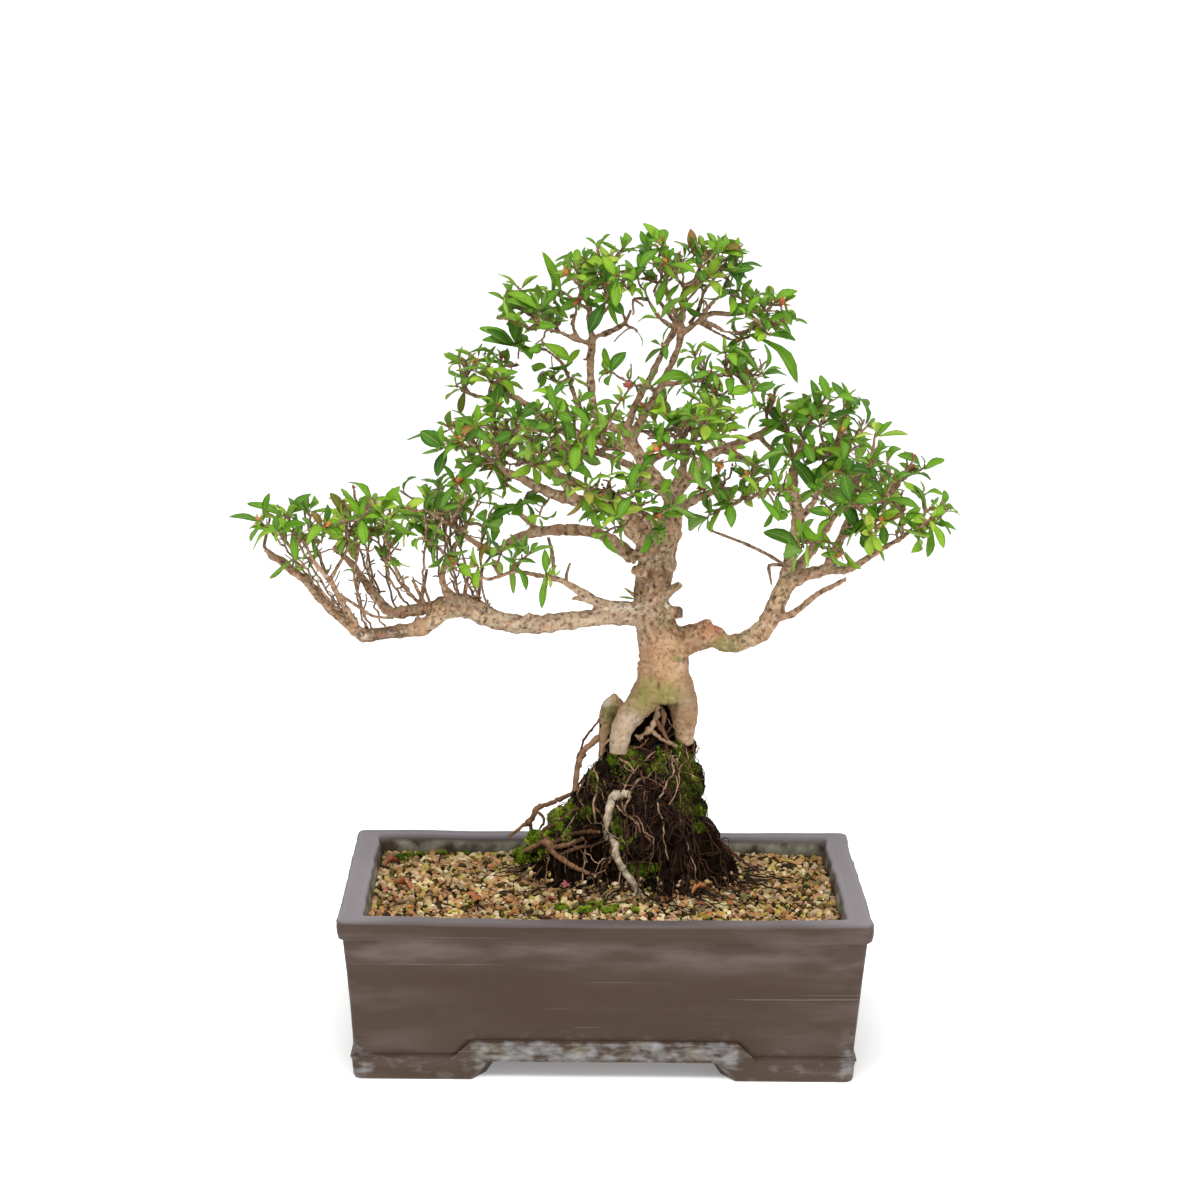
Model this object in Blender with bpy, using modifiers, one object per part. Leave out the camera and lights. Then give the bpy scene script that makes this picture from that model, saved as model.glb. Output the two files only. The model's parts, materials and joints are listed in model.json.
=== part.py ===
"""A satsuki azalea bonsai with bared roots, in its rectangular footed pot.

Units are metres, +Z is up and -Y is the show side. The origin is on the ground under the pot's middle.
Driving dimensions come first, then one function for each kind of piece.
"""

import math

import bmesh
import bpy
from mathutils import Vector, noise

MM = 0.001
GAP = 0.3 * MM  # clearance between pieces that touch

# Pot
POT_HALF = (140 * MM, 95 * MM)  # outside of the rim, half length and half depth
POT_HEIGHT = 89 * MM
RIM_WIDTH = 13 * MM
LIP_HEIGHT = 11.5 * MM
LIP_OVERHANG = 3 * MM
WALL_INSET_AT_GROUND = 9.6 * MM  # how far the outside leans in from rim to ground
CAVITY_TAPER = 8 * MM
FLOOR_TOP = 19 * MM
LIP_ROUNDING = 2 * MM

# Feet and the moulding that runs round the foot
FOOT_HEIGHT = 10.5 * MM
FOOT_WALL = 14 * MM
FRONT_CUT = (70 * MM, 61.5 * MM)  # half width of the cut-out at the ground and at its top
SIDE_CUT = (44 * MM, 38 * MM)
MOULDING_PROUD = 1.2 * MM
MOULDING_LOW = 13.5 * MM
MOULDING_HIGH = 22 * MM
MOULDING_SLOPE = 9 * MM
MOULDING_MARGIN = 8 * MM

# Drain holes, their screens and the wire clips that hold them
DRAIN_X = 62 * MM
DRAIN_RADIUS = 9 * MM
CUTTER_MARGIN = 5 * MM  # how far a cutter runs past the wall it opens
SCREEN_HALF = 17 * MM
SCREEN_THICKNESS = 1 * MM
SCREEN_HOLE = 4.4 * MM
SCREEN_PITCH = 7 * MM
CLIP_RADIUS = 0.75 * MM
CLIP_TOE = 18 * MM
CLIP_ROOM = (9 * MM, 1.2 * MM)  # half length and half width of the room the clip takes in the soil

# Soil bed
SOIL_EDGE_Z = 80 * MM
SOIL_RISE = 6 * MM
SOIL_CENTRE = (20 * MM, 12 * MM)
SOIL_SPREAD = (75 * MM, 52 * MM)

# Root mass, a lobed mound whose half widths are read every 45 degrees, from +X round towards +Y
MOUND_FOOT_Z = 84 * MM
MOUND_TOP_Z = 162 * MM
MOUND_BURIED_Z = 74 * MM
MOUND_CENTRE_FOOT = (22 * MM, 12 * MM)
MOUND_CENTRE_TOP = (24 * MM, 5 * MM)
MOUND_FOOT = (60, 54, 46, 68, 70, 40, 33, 44)
MOUND_TOP = (18, 15, 13, 15, 19, 18, 13, 15)
MOUND_POWER = (1.6, 1.4, 1.1, 0.9, 0.8, 0.8, 0.75, 1.2)

# The eye that the outlines were read from. A reading (x, z) is taken on the upright plane through
# the pot's middle, and seen() slides it along the line of sight to the depth that the piece has.
EYE = Vector((-0.022, -1.765, 0.578))

# Foliage extent, kept even about the pot's middle
LEAF_REACH = (194 * MM, 98 * MM)

PARTS = "satsuki_azalea_bonsai"


def seen(x, depth, z):
    """The point at this depth, in mm, that shows at (x, z) on the middle plane."""
    on_plane = Vector((x, 0, z)) * MM
    reach = (depth * MM - EYE.y) / -EYE.y
    return EYE + (on_plane - EYE) * reach


def lerp(a, b, t):
    return a + (b - a) * t


def around(values, angle):
    """Smoothly reads a list of values spaced evenly round a circle."""
    place = (angle / math.tau * len(values)) % len(values)
    first = int(place)
    t = place - first
    t = t * t * (3 - 2 * t)
    return lerp(values[first], values[(first + 1) % len(values)], t)


def mound_ring(z):
    """Centre and height fraction of the root mass at this height."""
    t = min(max((z - MOUND_FOOT_Z) / (MOUND_TOP_Z - MOUND_FOOT_Z), 0), 1)
    x = lerp(MOUND_CENTRE_FOOT[0], MOUND_CENTRE_TOP[0], t)
    y = lerp(MOUND_CENTRE_FOOT[1], MOUND_CENTRE_TOP[1], t)
    return x, y, t


def mound_point(angle, z, lift=0.0):
    """A point on the root mass at this angle and height, moved outwards by lift."""
    x, y, t = mound_ring(z)
    foot = around(MOUND_FOOT, angle) * MM
    top = around(MOUND_TOP, angle) * MM
    power = around(MOUND_POWER, angle)
    radius = lerp(top, foot, (1 - t) ** power) + lift
    return Vector((x + radius * math.cos(angle), y + radius * math.sin(angle), z))


def in_mound(point):
    x, y, _ = mound_ring(point.z)
    angle = math.atan2(point.y - y, point.x - x)
    edge = mound_point(angle, point.z)
    inside = math.hypot(point.x - x, point.y - y) < math.hypot(edge.x - x, edge.y - y)
    return inside and point.z < MOUND_TOP_Z


def soil_z(x, y):
    """Height of the soil surface, which rises gently towards the tree."""
    dx = (x - SOIL_CENTRE[0]) / SOIL_SPREAD[0]
    dy = (y - SOIL_CENTRE[1]) / SOIL_SPREAD[1]
    return SOIL_EDGE_Z + SOIL_RISE * math.exp(-dx * dx - dy * dy)


def on_ground(x, z, lift):
    """Follows the line of sight through a reading to the root mass or the soil, then comes back by lift mm."""
    for step in range(-90, 90):
        point = seen(x, step, z)
        if in_mound(point) or point.z < soil_z(point.x, point.y):
            return seen(x, step - lift, z)
    return seen(x, 0, z)


def material(name, colour, roughness, metallic=0.0):
    made = bpy.data.materials.new(name)
    made.use_nodes = True
    shader = made.node_tree.nodes["Principled BSDF"]
    shader.inputs["Base Color"].default_value = (*colour, 1)
    shader.inputs["Roughness"].default_value = roughness
    shader.inputs["Metallic"].default_value = metallic
    return made


def collection(name, hidden=False):
    made = bpy.data.collections.new(name)
    bpy.context.scene.collection.children.link(made)
    made.hide_render = hidden
    return made


def object_from(bm, name, home):
    mesh = bpy.data.meshes.new(name)
    bmesh.ops.recalc_face_normals(bm, faces=bm.faces)
    bm.to_mesh(mesh)
    bm.free()
    made = bpy.data.objects.new(name, mesh)
    home.objects.link(made)
    return made


def mesh_of(obj):
    """The object's mesh as its modifiers leave it."""
    graph = bpy.context.evaluated_depsgraph_get()
    return bpy.data.meshes.new_from_object(obj.evaluated_get(graph))


def apply_modifiers(obj):
    obj.data = mesh_of(obj)
    obj.modifiers.clear()


def boolean(obj, other, operation):
    modifier = obj.modifiers.new(f"{operation.lower()}_{other.name}", "BOOLEAN")
    modifier.operation = operation
    modifier.object = other


def triangulate(mesh):
    """Splits bent faces, so that a grown copy bends along the same edges."""
    bm = bmesh.new()
    bm.from_mesh(mesh)
    bmesh.ops.triangulate(bm, faces=bm.faces)
    bm.to_mesh(mesh)
    bm.free()


def largest_body(mesh):
    """Deletes what a cut leaves loose, so that only the largest body stays."""
    bm = bmesh.new()
    bm.from_mesh(mesh)
    left = set(bm.verts)
    bodies = []
    while left:
        stack = [left.pop()]
        body = list(stack)
        while stack:
            for edge in stack.pop().link_edges:
                for vert in edge.verts:
                    if vert in left:
                        left.remove(vert)
                        stack.append(vert)
                        body.append(vert)
        bodies.append(body)
    bodies.sort(key=len)
    for body in bodies[:-1]:
        bmesh.ops.delete(bm, geom=body, context="VERTS")
    bm.to_mesh(mesh)
    bm.free()


class Bench:
    """Holds the pieces made so far, each with the grown copies that later pieces are cut back from."""

    def __init__(self):
        self.parts = collection(PARTS)
        self.cutters = collection(PARTS + "_cutters", hidden=True)
        self.made = []

    def hide(self, obj):
        obj.hide_render = True
        obj.display_type = "WIRE"
        return obj

    def grown(self, obj, by=GAP):
        """A copy of the object that is larger all round by the clearance."""
        bm = bmesh.new()
        bm.from_mesh(obj.data)
        bm.normal_update()
        moves = [vert.normal * by for vert in bm.verts]
        for vert, move in zip(bm.verts, moves):
            vert.co += move
        return self.hide(object_from(bm, obj.name + "_clearance", self.cutters))

    def near(self, obj):
        """Clearance copies whose boxes meet this object's box."""
        low, high = box_of(obj)
        for other in self.made:
            other_low, other_high = box_of(other)
            if all(low[i] < other_high[i] and other_low[i] < high[i] for i in range(3)):
                yield other

    def finish(self, obj, finish, keep_clear=True):
        """Cuts the piece back from those made before it and gives it its material."""
        triangulate(obj.data)
        clearance = self.grown(obj)
        if keep_clear:
            for other in list(self.near(obj)):
                boolean(obj, other, "DIFFERENCE")
            apply_modifiers(obj)
            largest_body(obj.data)
        self.made.append(clearance)
        obj.data.materials.clear()
        obj.data.materials.append(finish)
        return obj


def box_of(obj):
    corners = [vert.co for vert in obj.data.vertices]
    low = [min(corner[i] for corner in corners) for i in range(3)]
    high = [max(corner[i] for corner in corners) for i in range(3)]
    return low, high


def tapered_block(name, home, low_half, high_half, z_low, z_high):
    """A block whose length and depth change evenly from bottom to top."""
    bm = bmesh.new()
    bmesh.ops.create_cube(bm, size=2)
    for vert in bm.verts:
        half = high_half if vert.co.z > 0 else low_half
        vert.co.x *= half[0]
        vert.co.y *= half[1]
        vert.co.z = z_high if vert.co.z > 0 else z_low
    return object_from(bm, name, home)


def prism(name, home, outline, half_depth, along_x=False):
    """An outline in (across, z), extruded both ways along Y, or along X."""
    bm = bmesh.new()
    sides = []
    for depth in (-half_depth, half_depth):
        spots = [(depth, a, z) if along_x else (a, depth, z) for a, z in outline]
        sides.append([bm.verts.new(spot) for spot in spots])
    bm.faces.new(sides[0])
    bm.faces.new(sides[1])
    for i in range(len(outline)):
        j = (i + 1) % len(outline)
        bm.faces.new((sides[0][i], sides[0][j], sides[1][j], sides[1][i]))
    return object_from(bm, name, home)


def wall_half(z):
    """Half length and half depth of the pot's outside wall at this height."""
    under_lip = POT_HEIGHT - LIP_HEIGHT
    lean = WALL_INSET_AT_GROUND - LIP_OVERHANG
    inset = lerp(WALL_INSET_AT_GROUND, WALL_INSET_AT_GROUND - lean, z / under_lip)
    return POT_HALF[0] - inset, POT_HALF[1] - inset


def moulding_outline(cut, half):
    """The moulding as seen on one side: low at the corners, raised over the cut-out."""
    raised = cut[0] - 1 * MM
    shoulder = raised + MOULDING_SLOPE
    return (
        (-half, -MOULDING_MARGIN),
        (half, -MOULDING_MARGIN),
        (half, MOULDING_LOW),
        (shoulder, MOULDING_LOW),
        (raised, MOULDING_HIGH),
        (-raised, MOULDING_HIGH),
        (-shoulder, MOULDING_LOW),
        (-half, MOULDING_LOW),
    )


def cut_outline(cut):
    """The opening between two feet, flared towards the ground."""
    flare = (cut[0] - cut[1]) / FOOT_HEIGHT * CUTTER_MARGIN
    return (
        (-cut[0] - flare, -CUTTER_MARGIN),
        (cut[0] + flare, -CUTTER_MARGIN),
        (cut[1], FOOT_HEIGHT),
        (-cut[1], FOOT_HEIGHT),
    )


def cavity_half(z):
    """Half length and half depth of the pot's inside at this height."""
    t = (POT_HEIGHT - z) / (POT_HEIGHT - FLOOR_TOP)
    return tuple(POT_HALF[i] - RIM_WIDTH - CAVITY_TAPER * t for i in range(2))


def moulding(bench):
    grown = [tuple(v + MOULDING_PROUD for v in wall_half(z)) for z in (0, MOULDING_HIGH)]
    band = tapered_block("moulding", bench.cutters, *grown, 0, MOULDING_HIGH)
    reach = POT_HALF[0]
    front = prism("moulding_front", bench.cutters, moulding_outline(FRONT_CUT, reach), reach)
    side = prism("moulding_side", bench.cutters, moulding_outline(SIDE_CUT, reach), reach, True)
    boolean(front, side, "UNION")
    apply_modifiers(front)
    boolean(band, front, "INTERSECT")
    apply_modifiers(band)
    return band


def drain_cutter(bench, x):
    bm = bmesh.new()
    bmesh.ops.create_cone(
        bm, cap_ends=True, segments=16, radius1=DRAIN_RADIUS, radius2=DRAIN_RADIUS, depth=2 * FLOOR_TOP
    )
    bmesh.ops.translate(bm, verts=bm.verts, vec=(x, 0, FLOOR_TOP - CUTTER_MARGIN))
    return object_from(bm, "drain", bench.cutters)


def pot(bench, finish):
    under_lip = POT_HEIGHT - LIP_HEIGHT
    made = tapered_block("pot", bench.parts, wall_half(0), wall_half(under_lip + MM), 0, under_lip + MM)
    lip = tapered_block("lip", bench.cutters, POT_HALF, POT_HALF, under_lip, POT_HEIGHT)
    rounding = lip.modifiers.new("rounding", "BEVEL")
    rounding.width = LIP_ROUNDING
    rounding.segments = 2
    apply_modifiers(lip)
    inner_foot = tuple(v - FOOT_WALL for v in wall_half(0))
    above = POT_HEIGHT + CUTTER_MARGIN
    cuts = (
        tapered_block(
            "cavity", bench.cutters, cavity_half(FLOOR_TOP), cavity_half(above), FLOOR_TOP, above
        ),
        tapered_block("under", bench.cutters, inner_foot, inner_foot, -CUTTER_MARGIN, FOOT_HEIGHT),
        prism("cut_front", bench.cutters, cut_outline(FRONT_CUT), POT_HALF[0]),
        prism("cut_side", bench.cutters, cut_outline(SIDE_CUT), POT_HALF[0] + CUTTER_MARGIN, True),
        drain_cutter(bench, -DRAIN_X),
        drain_cutter(bench, DRAIN_X),
    )
    for joined in (moulding(bench), lip):
        boolean(made, joined, "UNION")
    for cut in cuts:
        boolean(made, cut, "DIFFERENCE")
    apply_modifiers(made)
    made.data.materials.clear()
    made.data.materials.append(finish)
    return made


def screen(bench, name, x, finish):
    """A square plastic mesh over a drain hole."""
    edges = [-SCREEN_HALF]
    for row in (-1, 0, 1):
        edges += [row * SCREEN_PITCH - SCREEN_HOLE / 2, row * SCREEN_PITCH + SCREEN_HOLE / 2]
    edges.append(SCREEN_HALF)
    bm = bmesh.new()
    z = FLOOR_TOP + GAP
    grid = [[bm.verts.new((x + a, b, z)) for a in edges] for b in edges]
    for j in range(len(edges) - 1):
        for i in range(len(edges) - 1):
            if i % 2 and j % 2:
                continue
            bm.faces.new((grid[j][i], grid[j][i + 1], grid[j + 1][i + 1], grid[j + 1][i]))
    made = object_from(bm, name, bench.parts)
    sheet = made.modifiers.new("thickness", "SOLIDIFY")
    sheet.thickness = SCREEN_THICKNESS
    sheet.offset = 1
    apply_modifiers(made)
    made.data.materials.append(finish)
    return made


def tube_mesh(name, home, points, radii, sides=8):
    """A tapered round stem through the points, as a closed mesh."""
    curve = bpy.data.curves.new(name, "CURVE")
    curve.dimensions = "3D"
    curve.bevel_depth = 1
    curve.bevel_resolution = (sides - 4) // 2
    curve.use_fill_caps = True
    line = curve.splines.new("POLY")
    line.points.add(len(points) - 1)
    for spot, point, radius in zip(line.points, points, radii):
        spot.co = (*point, 1)
        spot.radius = radius
    guide = bpy.data.objects.new(name + "_guide", curve)
    home.objects.link(guide)
    bpy.context.view_layer.update()
    bm = bmesh.new()
    bm.from_mesh(mesh_of(guide))
    bmesh.ops.remove_doubles(bm, verts=bm.verts, dist=0.00001)
    bpy.data.objects.remove(guide)
    return object_from(bm, name, home)


def clip(bench, name, x, finish):
    """A wire staple that holds a screen down through its drain hole."""
    over = FLOOR_TOP + GAP + SCREEN_THICKNESS + GAP + CLIP_RADIUS
    under = FOOT_HEIGHT - GAP - CLIP_RADIUS
    leg = SCREEN_PITCH
    half = ((CLIP_TOE, under), (leg, under), (leg, over))
    route = [(-a, z) for a, z in half] + [(a, z) for a, z in reversed(half)]
    points = [Vector((x + a, 0, z)) for a, z in route]
    made = tube_mesh(name, bench.parts, points, [CLIP_RADIUS] * len(points))
    made.data.materials.append(finish)
    return made


def smooth_route(route, spacing):
    """Reads a smooth curve through (point, radius) pairs at about this spacing."""
    points = [point for point, _ in route]
    radii = [radius for _, radius in route]
    ends = [points[0] * 2 - points[1], *points, points[-1] * 2 - points[-2]]
    found = [(points[0], radii[0])]
    for i in range(1, len(ends) - 2):
        a, b, c, d = ends[i - 1 : i + 3]
        steps = max(1, round((c - b).length / spacing))
        for step in range(1, steps + 1):
            t = step / steps
            cubic = (3 * b - a - 3 * c + d) * t**3
            square = (2 * a - 5 * b + 4 * c - d) * t**2
            point = (2 * b + (c - a) * t + square + cubic) / 2
            found.append((point, lerp(radii[i - 1], radii[i], t)))
    return found


def read_route(route):
    """Turns (x, depth, z, radius) readings in mm into points and radii."""
    return [(seen(x, depth, z), radius * MM) for x, depth, z, radius in route]


STEM_SPACING = 9 * MM


def stem_mesh(name, home, route, spacing=STEM_SPACING):
    points = smooth_route(route, spacing)
    return tube_mesh(name, home, [p for p, _ in points], [r for _, r in points])


def branch(bench, name, routes, finish):
    """One limb with its side stems, joined into one body and cut back from what carries it."""
    made = stem_mesh(name, bench.parts, read_route(routes[0]))
    for number, route in enumerate(routes[1:]):
        side = stem_mesh(f"{name}_side_{number}", bench.cutters, read_route(route))
        bench.hide(side)
        boolean(made, side, "UNION")
    apply_modifiers(made)
    return bench.finish(made, finish)


# Trunk: torso, two thighs and the burl beside the left one, as (x, depth, z, radius) readings
TRUNK_ROUTES = (
    (
        (30, 5, 188, 14), (30.5, 5, 200, 14.5), (30, 5, 210, 13.8), (28, 5, 220, 12), (25.5, 4, 230, 10),
        (22.5, 4, 240, 9.6), (22.5, 4, 248, 9), (23, 4, 260, 9.8), (27, 4, 270, 8.6), (31, 4, 280, 7.4),
        (33, 4, 290, 5.9), (33.5, 4, 299, 4.6), (28, 4, 305, 4.2), (20, 3, 315, 4), (14, 3, 325, 3.5),
        (8, 3, 334, 3.2),
    ),
    ((25, 2, 197, 10.5), (18, 0, 187, 9.8), (12, -3, 180, 8), (7, -5, 172, 6.3), (6, -6, 163, 5), (5.5, -6, 152, 4.2)),
    ((37, 5, 196, 11), (40, 4, 187, 9), (41.5, 3, 180, 7.8), (41, 2, 170, 5.6), (41, 2, 160, 3.5), (41.5, 3, 150, 2.4)),
    ((8, 9, 186, 5), (2, 9, 181, 5.2), (0, 9, 172, 3.6), (-1, 8, 160, 2.8), (0, 8, 148, 2.4)),
)
TRUNK_VOXEL = 2.4 * MM
TRUNK_KEPT = 0.17


def trunk(bench, finish):
    made = stem_mesh("trunk", bench.parts, read_route(TRUNK_ROUTES[0]), 6 * MM)
    for number, route in enumerate(TRUNK_ROUTES[1:]):
        side = stem_mesh(f"trunk_side_{number}", bench.cutters, read_route(route), 6 * MM)
        bench.hide(side)
        boolean(made, side, "UNION")
    blend = made.modifiers.new("blend", "REMESH")
    blend.mode = "VOXEL"
    blend.voxel_size = TRUNK_VOXEL
    soften = made.modifiers.new("soften", "SMOOTH")
    soften.iterations = 2
    thin = made.modifiers.new("thin", "DECIMATE")
    thin.ratio = TRUNK_KEPT
    apply_modifiers(made)
    return bench.finish(made, finish, keep_clear=False)


# Limbs, each with its side stems, parents first. Depth is negative towards the show side.
LIMBS = {
    "limb_left_low": (
        (
            (19, 2, 234, 5), (0, 0, 233, 4.6), (-20, -3, 230.5, 4.7), (-45, -7, 228, 5), (-64, -9, 232, 5),
            (-76, -10, 237.5, 6), (-88, -10, 237, 6), (-93, -10, 231, 4.6), (-104, -10, 225, 4), (-117, -9, 223, 3.5),
            (-131, -8, 221.5, 3.2), (-141, -7, 229, 2.8), (-155, -5, 242, 2.5), (-169, -4, 256, 2.2),
            (-180, -4, 264, 1.8), (-185, -4, 272, 1.3),
        ),
        (
            (-86, -9, 238, 4), (-98, -4, 236.5, 3.2), (-112, 4, 234, 3), (-122.5, 9, 240, 2.5),
            (-133, 13, 254.5, 2), (-148, 16, 272, 1.5),
        ),
        ((-135, -8, 223, 2), (-143, -14, 240, 1.8), (-149, -19, 252, 1.5), (-160, -22, 270, 1.2)),
        ((-84, -11, 240, 3), (-90, -16, 252, 2), (-86, -20, 264, 1.6), (-80, -22, 276, 1.3)),
    ),
    "limb_left_stub": (
        (
            (18, 1, 237, 3.6), (0, -6, 238.5, 3.2), (-14, -12, 246, 2.4), (-30, -18, 254, 1.6),
            (-50, -22, 257, 1.4), (-63, -24, 254, 1.3), (-80, -26, 258, 1.2),
        ),
    ),
    "limb_left_back": (
        ((14, 8, 265, 4), (-6, 18, 279, 3), (-37, 34, 279, 2.8), (-58, 44, 270, 2.2), (-84, 52, 282, 1.6)),
    ),
    "limb_left_mid": (
        (
            (26, 4, 268, 4.4), (15, 0, 278, 4), (6, -4, 289, 3.6), (-8, -9, 296, 3.4), (-28, -13, 299, 3),
            (-47, -16, 308, 2.4), (-62, -17, 320, 1.6),
        ),
    ),
    "limb_left_upper": (
        (
            (14, 3, 325, 2.8), (-8, 5, 331, 2.4), (-28.5, 9, 335.5, 2.2), (-45.5, 12, 348.5, 1.8),
            (-64, 14, 352, 1.5), (-78, 14, 358, 1.2),
        ),
    ),
    "leader_left": (
        ((9, 3, 333, 3.2), (0, 2, 337, 3), (-7, 2, 343, 3), (-10, 3, 361, 3), (-9.5, 4, 380, 2.6), (-13, 4, 410, 1.6)),
        ((-9.5, 4, 380, 2.2), (-18.5, 3, 383, 1.8), (-27.5, 2, 386.5, 1.5), (-38, 1, 390, 1.2)),
        ((-7, 2, 342, 2), (-15, 8, 344, 1.9), (-20, 12, 356.5, 1.8), (-34, 18, 376, 1.3)),
    ),
    "leader_right": (
        ((13, 3, 331, 3), (18, 3, 341, 2.6), (26, 1, 356, 2.4), (32.5, -1, 369.5, 2.3), (36, -2, 386, 2.2), (28, -3, 414, 1.4)),
        ((9, 5, 335, 2.4), (14.5, 9, 349.5, 2.3), (22.5, 12, 364, 2.2), (29, 13, 379, 2), (38, 12, 402, 1.4)),
        ((36, -2, 386, 2), (53, -2, 396, 1.8), (66, 0, 397, 1.6), (84, 2, 400, 1.2)),
        ((28, 1, 358, 2), (44, -6, 360, 1.6), (62, -10, 366, 1.3)),
    ),
    "limb_right_mid": (
        ((33, 5, 297, 3.4), (43, 9, 309, 2.8), (54.6, 13, 322, 2.5), (66.8, 16, 327, 2.2), (80.5, 20, 333, 1.9), (97, 24, 348, 1.4)),
        ((60, 14, 324, 1.8), (72, 2, 320, 1.7), (84, -8, 314, 1.4)),
    ),
    "limb_right_low": (
        (
            (34, 4, 219, 9), (48, 2, 221.5, 6.8), (57, 0, 222.5, 6.2), (65, -2, 218.5, 4.9), (73, -3, 220, 4.8),
            (81, -4, 223.5, 5), (89, -5, 234, 5), (94.5, -5, 248, 4.8), (100, -5, 258, 4.5),
        ),
        ((97, -5, 256, 3.6), (99.5, 0, 272.5, 3.6), (102, 6, 288, 3.5), (98.5, 10, 303.5, 3.2), (104, 14, 332, 1.6)),
        ((98, -5, 254, 3.6), (108, -10, 258, 3.4), (118, -14, 262, 2.8), (123, -17, 272, 2.4), (130, -20, 290, 2), (134, -22, 308, 1.4)),
        ((118, -14, 261, 2.2), (129, -22, 260, 2), (146, -28, 270.5, 1.7), (164, -30, 284, 1.3)),
        ((98, -5, 255, 3), (108, 16, 268, 2.6), (118, 36, 284, 2.2), (128, 52, 300, 1.5)),
    ),
    "limb_centre_right": (
        ((35, 2, 288, 3), (46, -8, 297, 2.4), (58, -16, 302, 2), (76, -22, 304, 1.5)),
    ),
    "limb_centre_front": (
        ((27, -1, 278, 3), (22, -20, 286, 2.6), (14, -36, 293, 2.2), (4, -48, 299, 1.6)),
    ),
    "limb_middle_front": (
        ((32, 0, 298, 3), (26, -14, 305, 2.6), (14, -32, 314, 2.2), (-6, -44, 322, 1.7), (-26, -50, 326, 1.4)),
        ((16, -30, 313, 2), (30, -44, 322, 1.8), (44, -52, 328, 1.4)),
    ),
    "limb_back_left": (
        ((26, 9, 274, 3.4), (14, 28, 288, 3), (-8, 48, 301, 2.5), (-32, 62, 312, 2), (-52, 68, 320, 1.5)),
    ),
    "limb_back_middle": (
        ((32, 8, 290, 3.4), (36, 30, 304, 3), (40, 50, 318, 2.4), (38, 66, 334, 1.6)),
    ),
}

# Exposed roots. Those given by depth stand clear of the mass, and the others lie on it at a lift in mm.
ROOT_READINGS = {
    "root_arch_left": (
        ("depth", 8),
        ((0, 168, 1.8), (-8, 161.5, 1.7), (-13, 156.5, 1.7), (-15.5, 150, 1.6), (-16.5, 143, 1.6), (-15, 132, 1.5)),
    ),
    "root_crotch": (
        ("depth", -1),
        ((25, 184, 2.2), (24, 176, 2), (21, 168, 2), (21, 161, 1.8), (20, 153, 1.6)),
    ),
    "root_pale_upper": (
        ("lift", 1.2),
        ((14, 135, 2.2), (7, 133.5, 2.4), (3.8, 127, 2.3), (3, 119, 2), (2, 112, 1.7)),
    ),
    "root_pale_lower": (
        ("lift", 1.2),
        ((5, 109, 1.6), (7, 101, 1.9), (10.5, 92, 1.9), (15.5, 84.5, 1.9), (20.5, 76, 1.6)),
    ),
    "root_front_left": (
        ("lift", 1),
        ((-33, 107, 1.3), (-28, 101, 1.5), (-23, 97, 1.6), (-16.5, 93, 1.5), (-10, 90.5, 1.2)),
    ),
    "root_knuckle_left": (
        ("depth", 26),
        ((-49, 114, 1.1), (-40, 121.5, 1.3), (-37.5, 125.5, 1.3), (-31, 129, 1.3), (-22, 130, 1.2)),
    ),
    "root_right": (
        ("depth", 10),
        ((44, 127, 1.4), (50, 122.5, 1.5), (58, 117, 1.5), (63, 110, 1.4), (67, 103, 1.3), (80, 93, 1.1)),
    ),
}

# Foliage pads: (x, z) reading of the middle, depth, and half length, half depth and half height, in mm
PADS = {
    "foliage_left_tip": ((-172, -8, 283), (27, 28, 13)),
    "foliage_left_low": ((-132, -14, 287), (21, 30, 15)),
    "foliage_left_low_back": ((-132, 26, 283), (26, 20, 14)),
    "foliage_left_inner": ((-88, -24, 289), (30, 28, 17)),
    "foliage_left_stub": ((-60, -28, 263), (28, 15, 8)),
    "foliage_left_back": ((-92, 50, 292), (32, 28, 15)),
    "foliage_left_mid": ((-64, -16, 328), (31, 34, 23)),
    "foliage_left_ledge": ((-68, 14, 365), (26, 28, 14)),
    "foliage_left_crown": ((-41, 6, 395), (20, 28, 17)),
    "foliage_apex_left": ((-6, 4, 417), (30, 38, 17)),
    "foliage_apex_right": ((42, 2, 422), (34, 42, 21)),
    "foliage_right_shoulder": ((82, 2, 396), (20, 30, 18)),
    "foliage_right_upper": ((66, -12, 363), (24, 32, 17)),
    "foliage_middle_left": ((-18, -52, 330), (33, 30, 21)),
    "foliage_middle_right": ((44, -58, 332), (33, 30, 22)),
    "foliage_centre": ((10, -52, 294), (27, 24, 16)),
    "foliage_right_centre": ((72, -26, 303), (29, 28, 15)),
    "foliage_right_crown": ((114, 14, 334), (29, 34, 26)),
    "foliage_right_tip": ((154, -28, 297), (42, 32, 30)),
    "foliage_right_back": ((136, 62, 304), (34, 28, 24)),
    "foliage_back_left": ((-50, 72, 324), (38, 28, 20)),
    "foliage_back_middle": ((34, 72, 338), (40, 28, 20)),
}
PAD_LUMP = 0.3
PAD_LUMP_SIZE = 18 * MM


def pad(bench, name, place, half, finish):
    """One cloud of leaves, as a lumpy flattened solid."""
    centre = seen(*place)
    bm = bmesh.new()
    bmesh.ops.create_uvsphere(bm, u_segments=12, v_segments=7, radius=1)
    for vert in bm.verts:
        spot = Vector(vert.co[i] * half[i] * MM for i in range(3))
        bulge = 1 + PAD_LUMP * noise.noise((centre + spot) / PAD_LUMP_SIZE)
        vert.co = centre + spot * bulge
        for axis in range(2):
            vert.co[axis] = min(max(vert.co[axis], -LEAF_REACH[axis]), LEAF_REACH[axis])
    made = object_from(bm, name, bench.parts)
    return bench.finish(made, finish)


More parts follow.
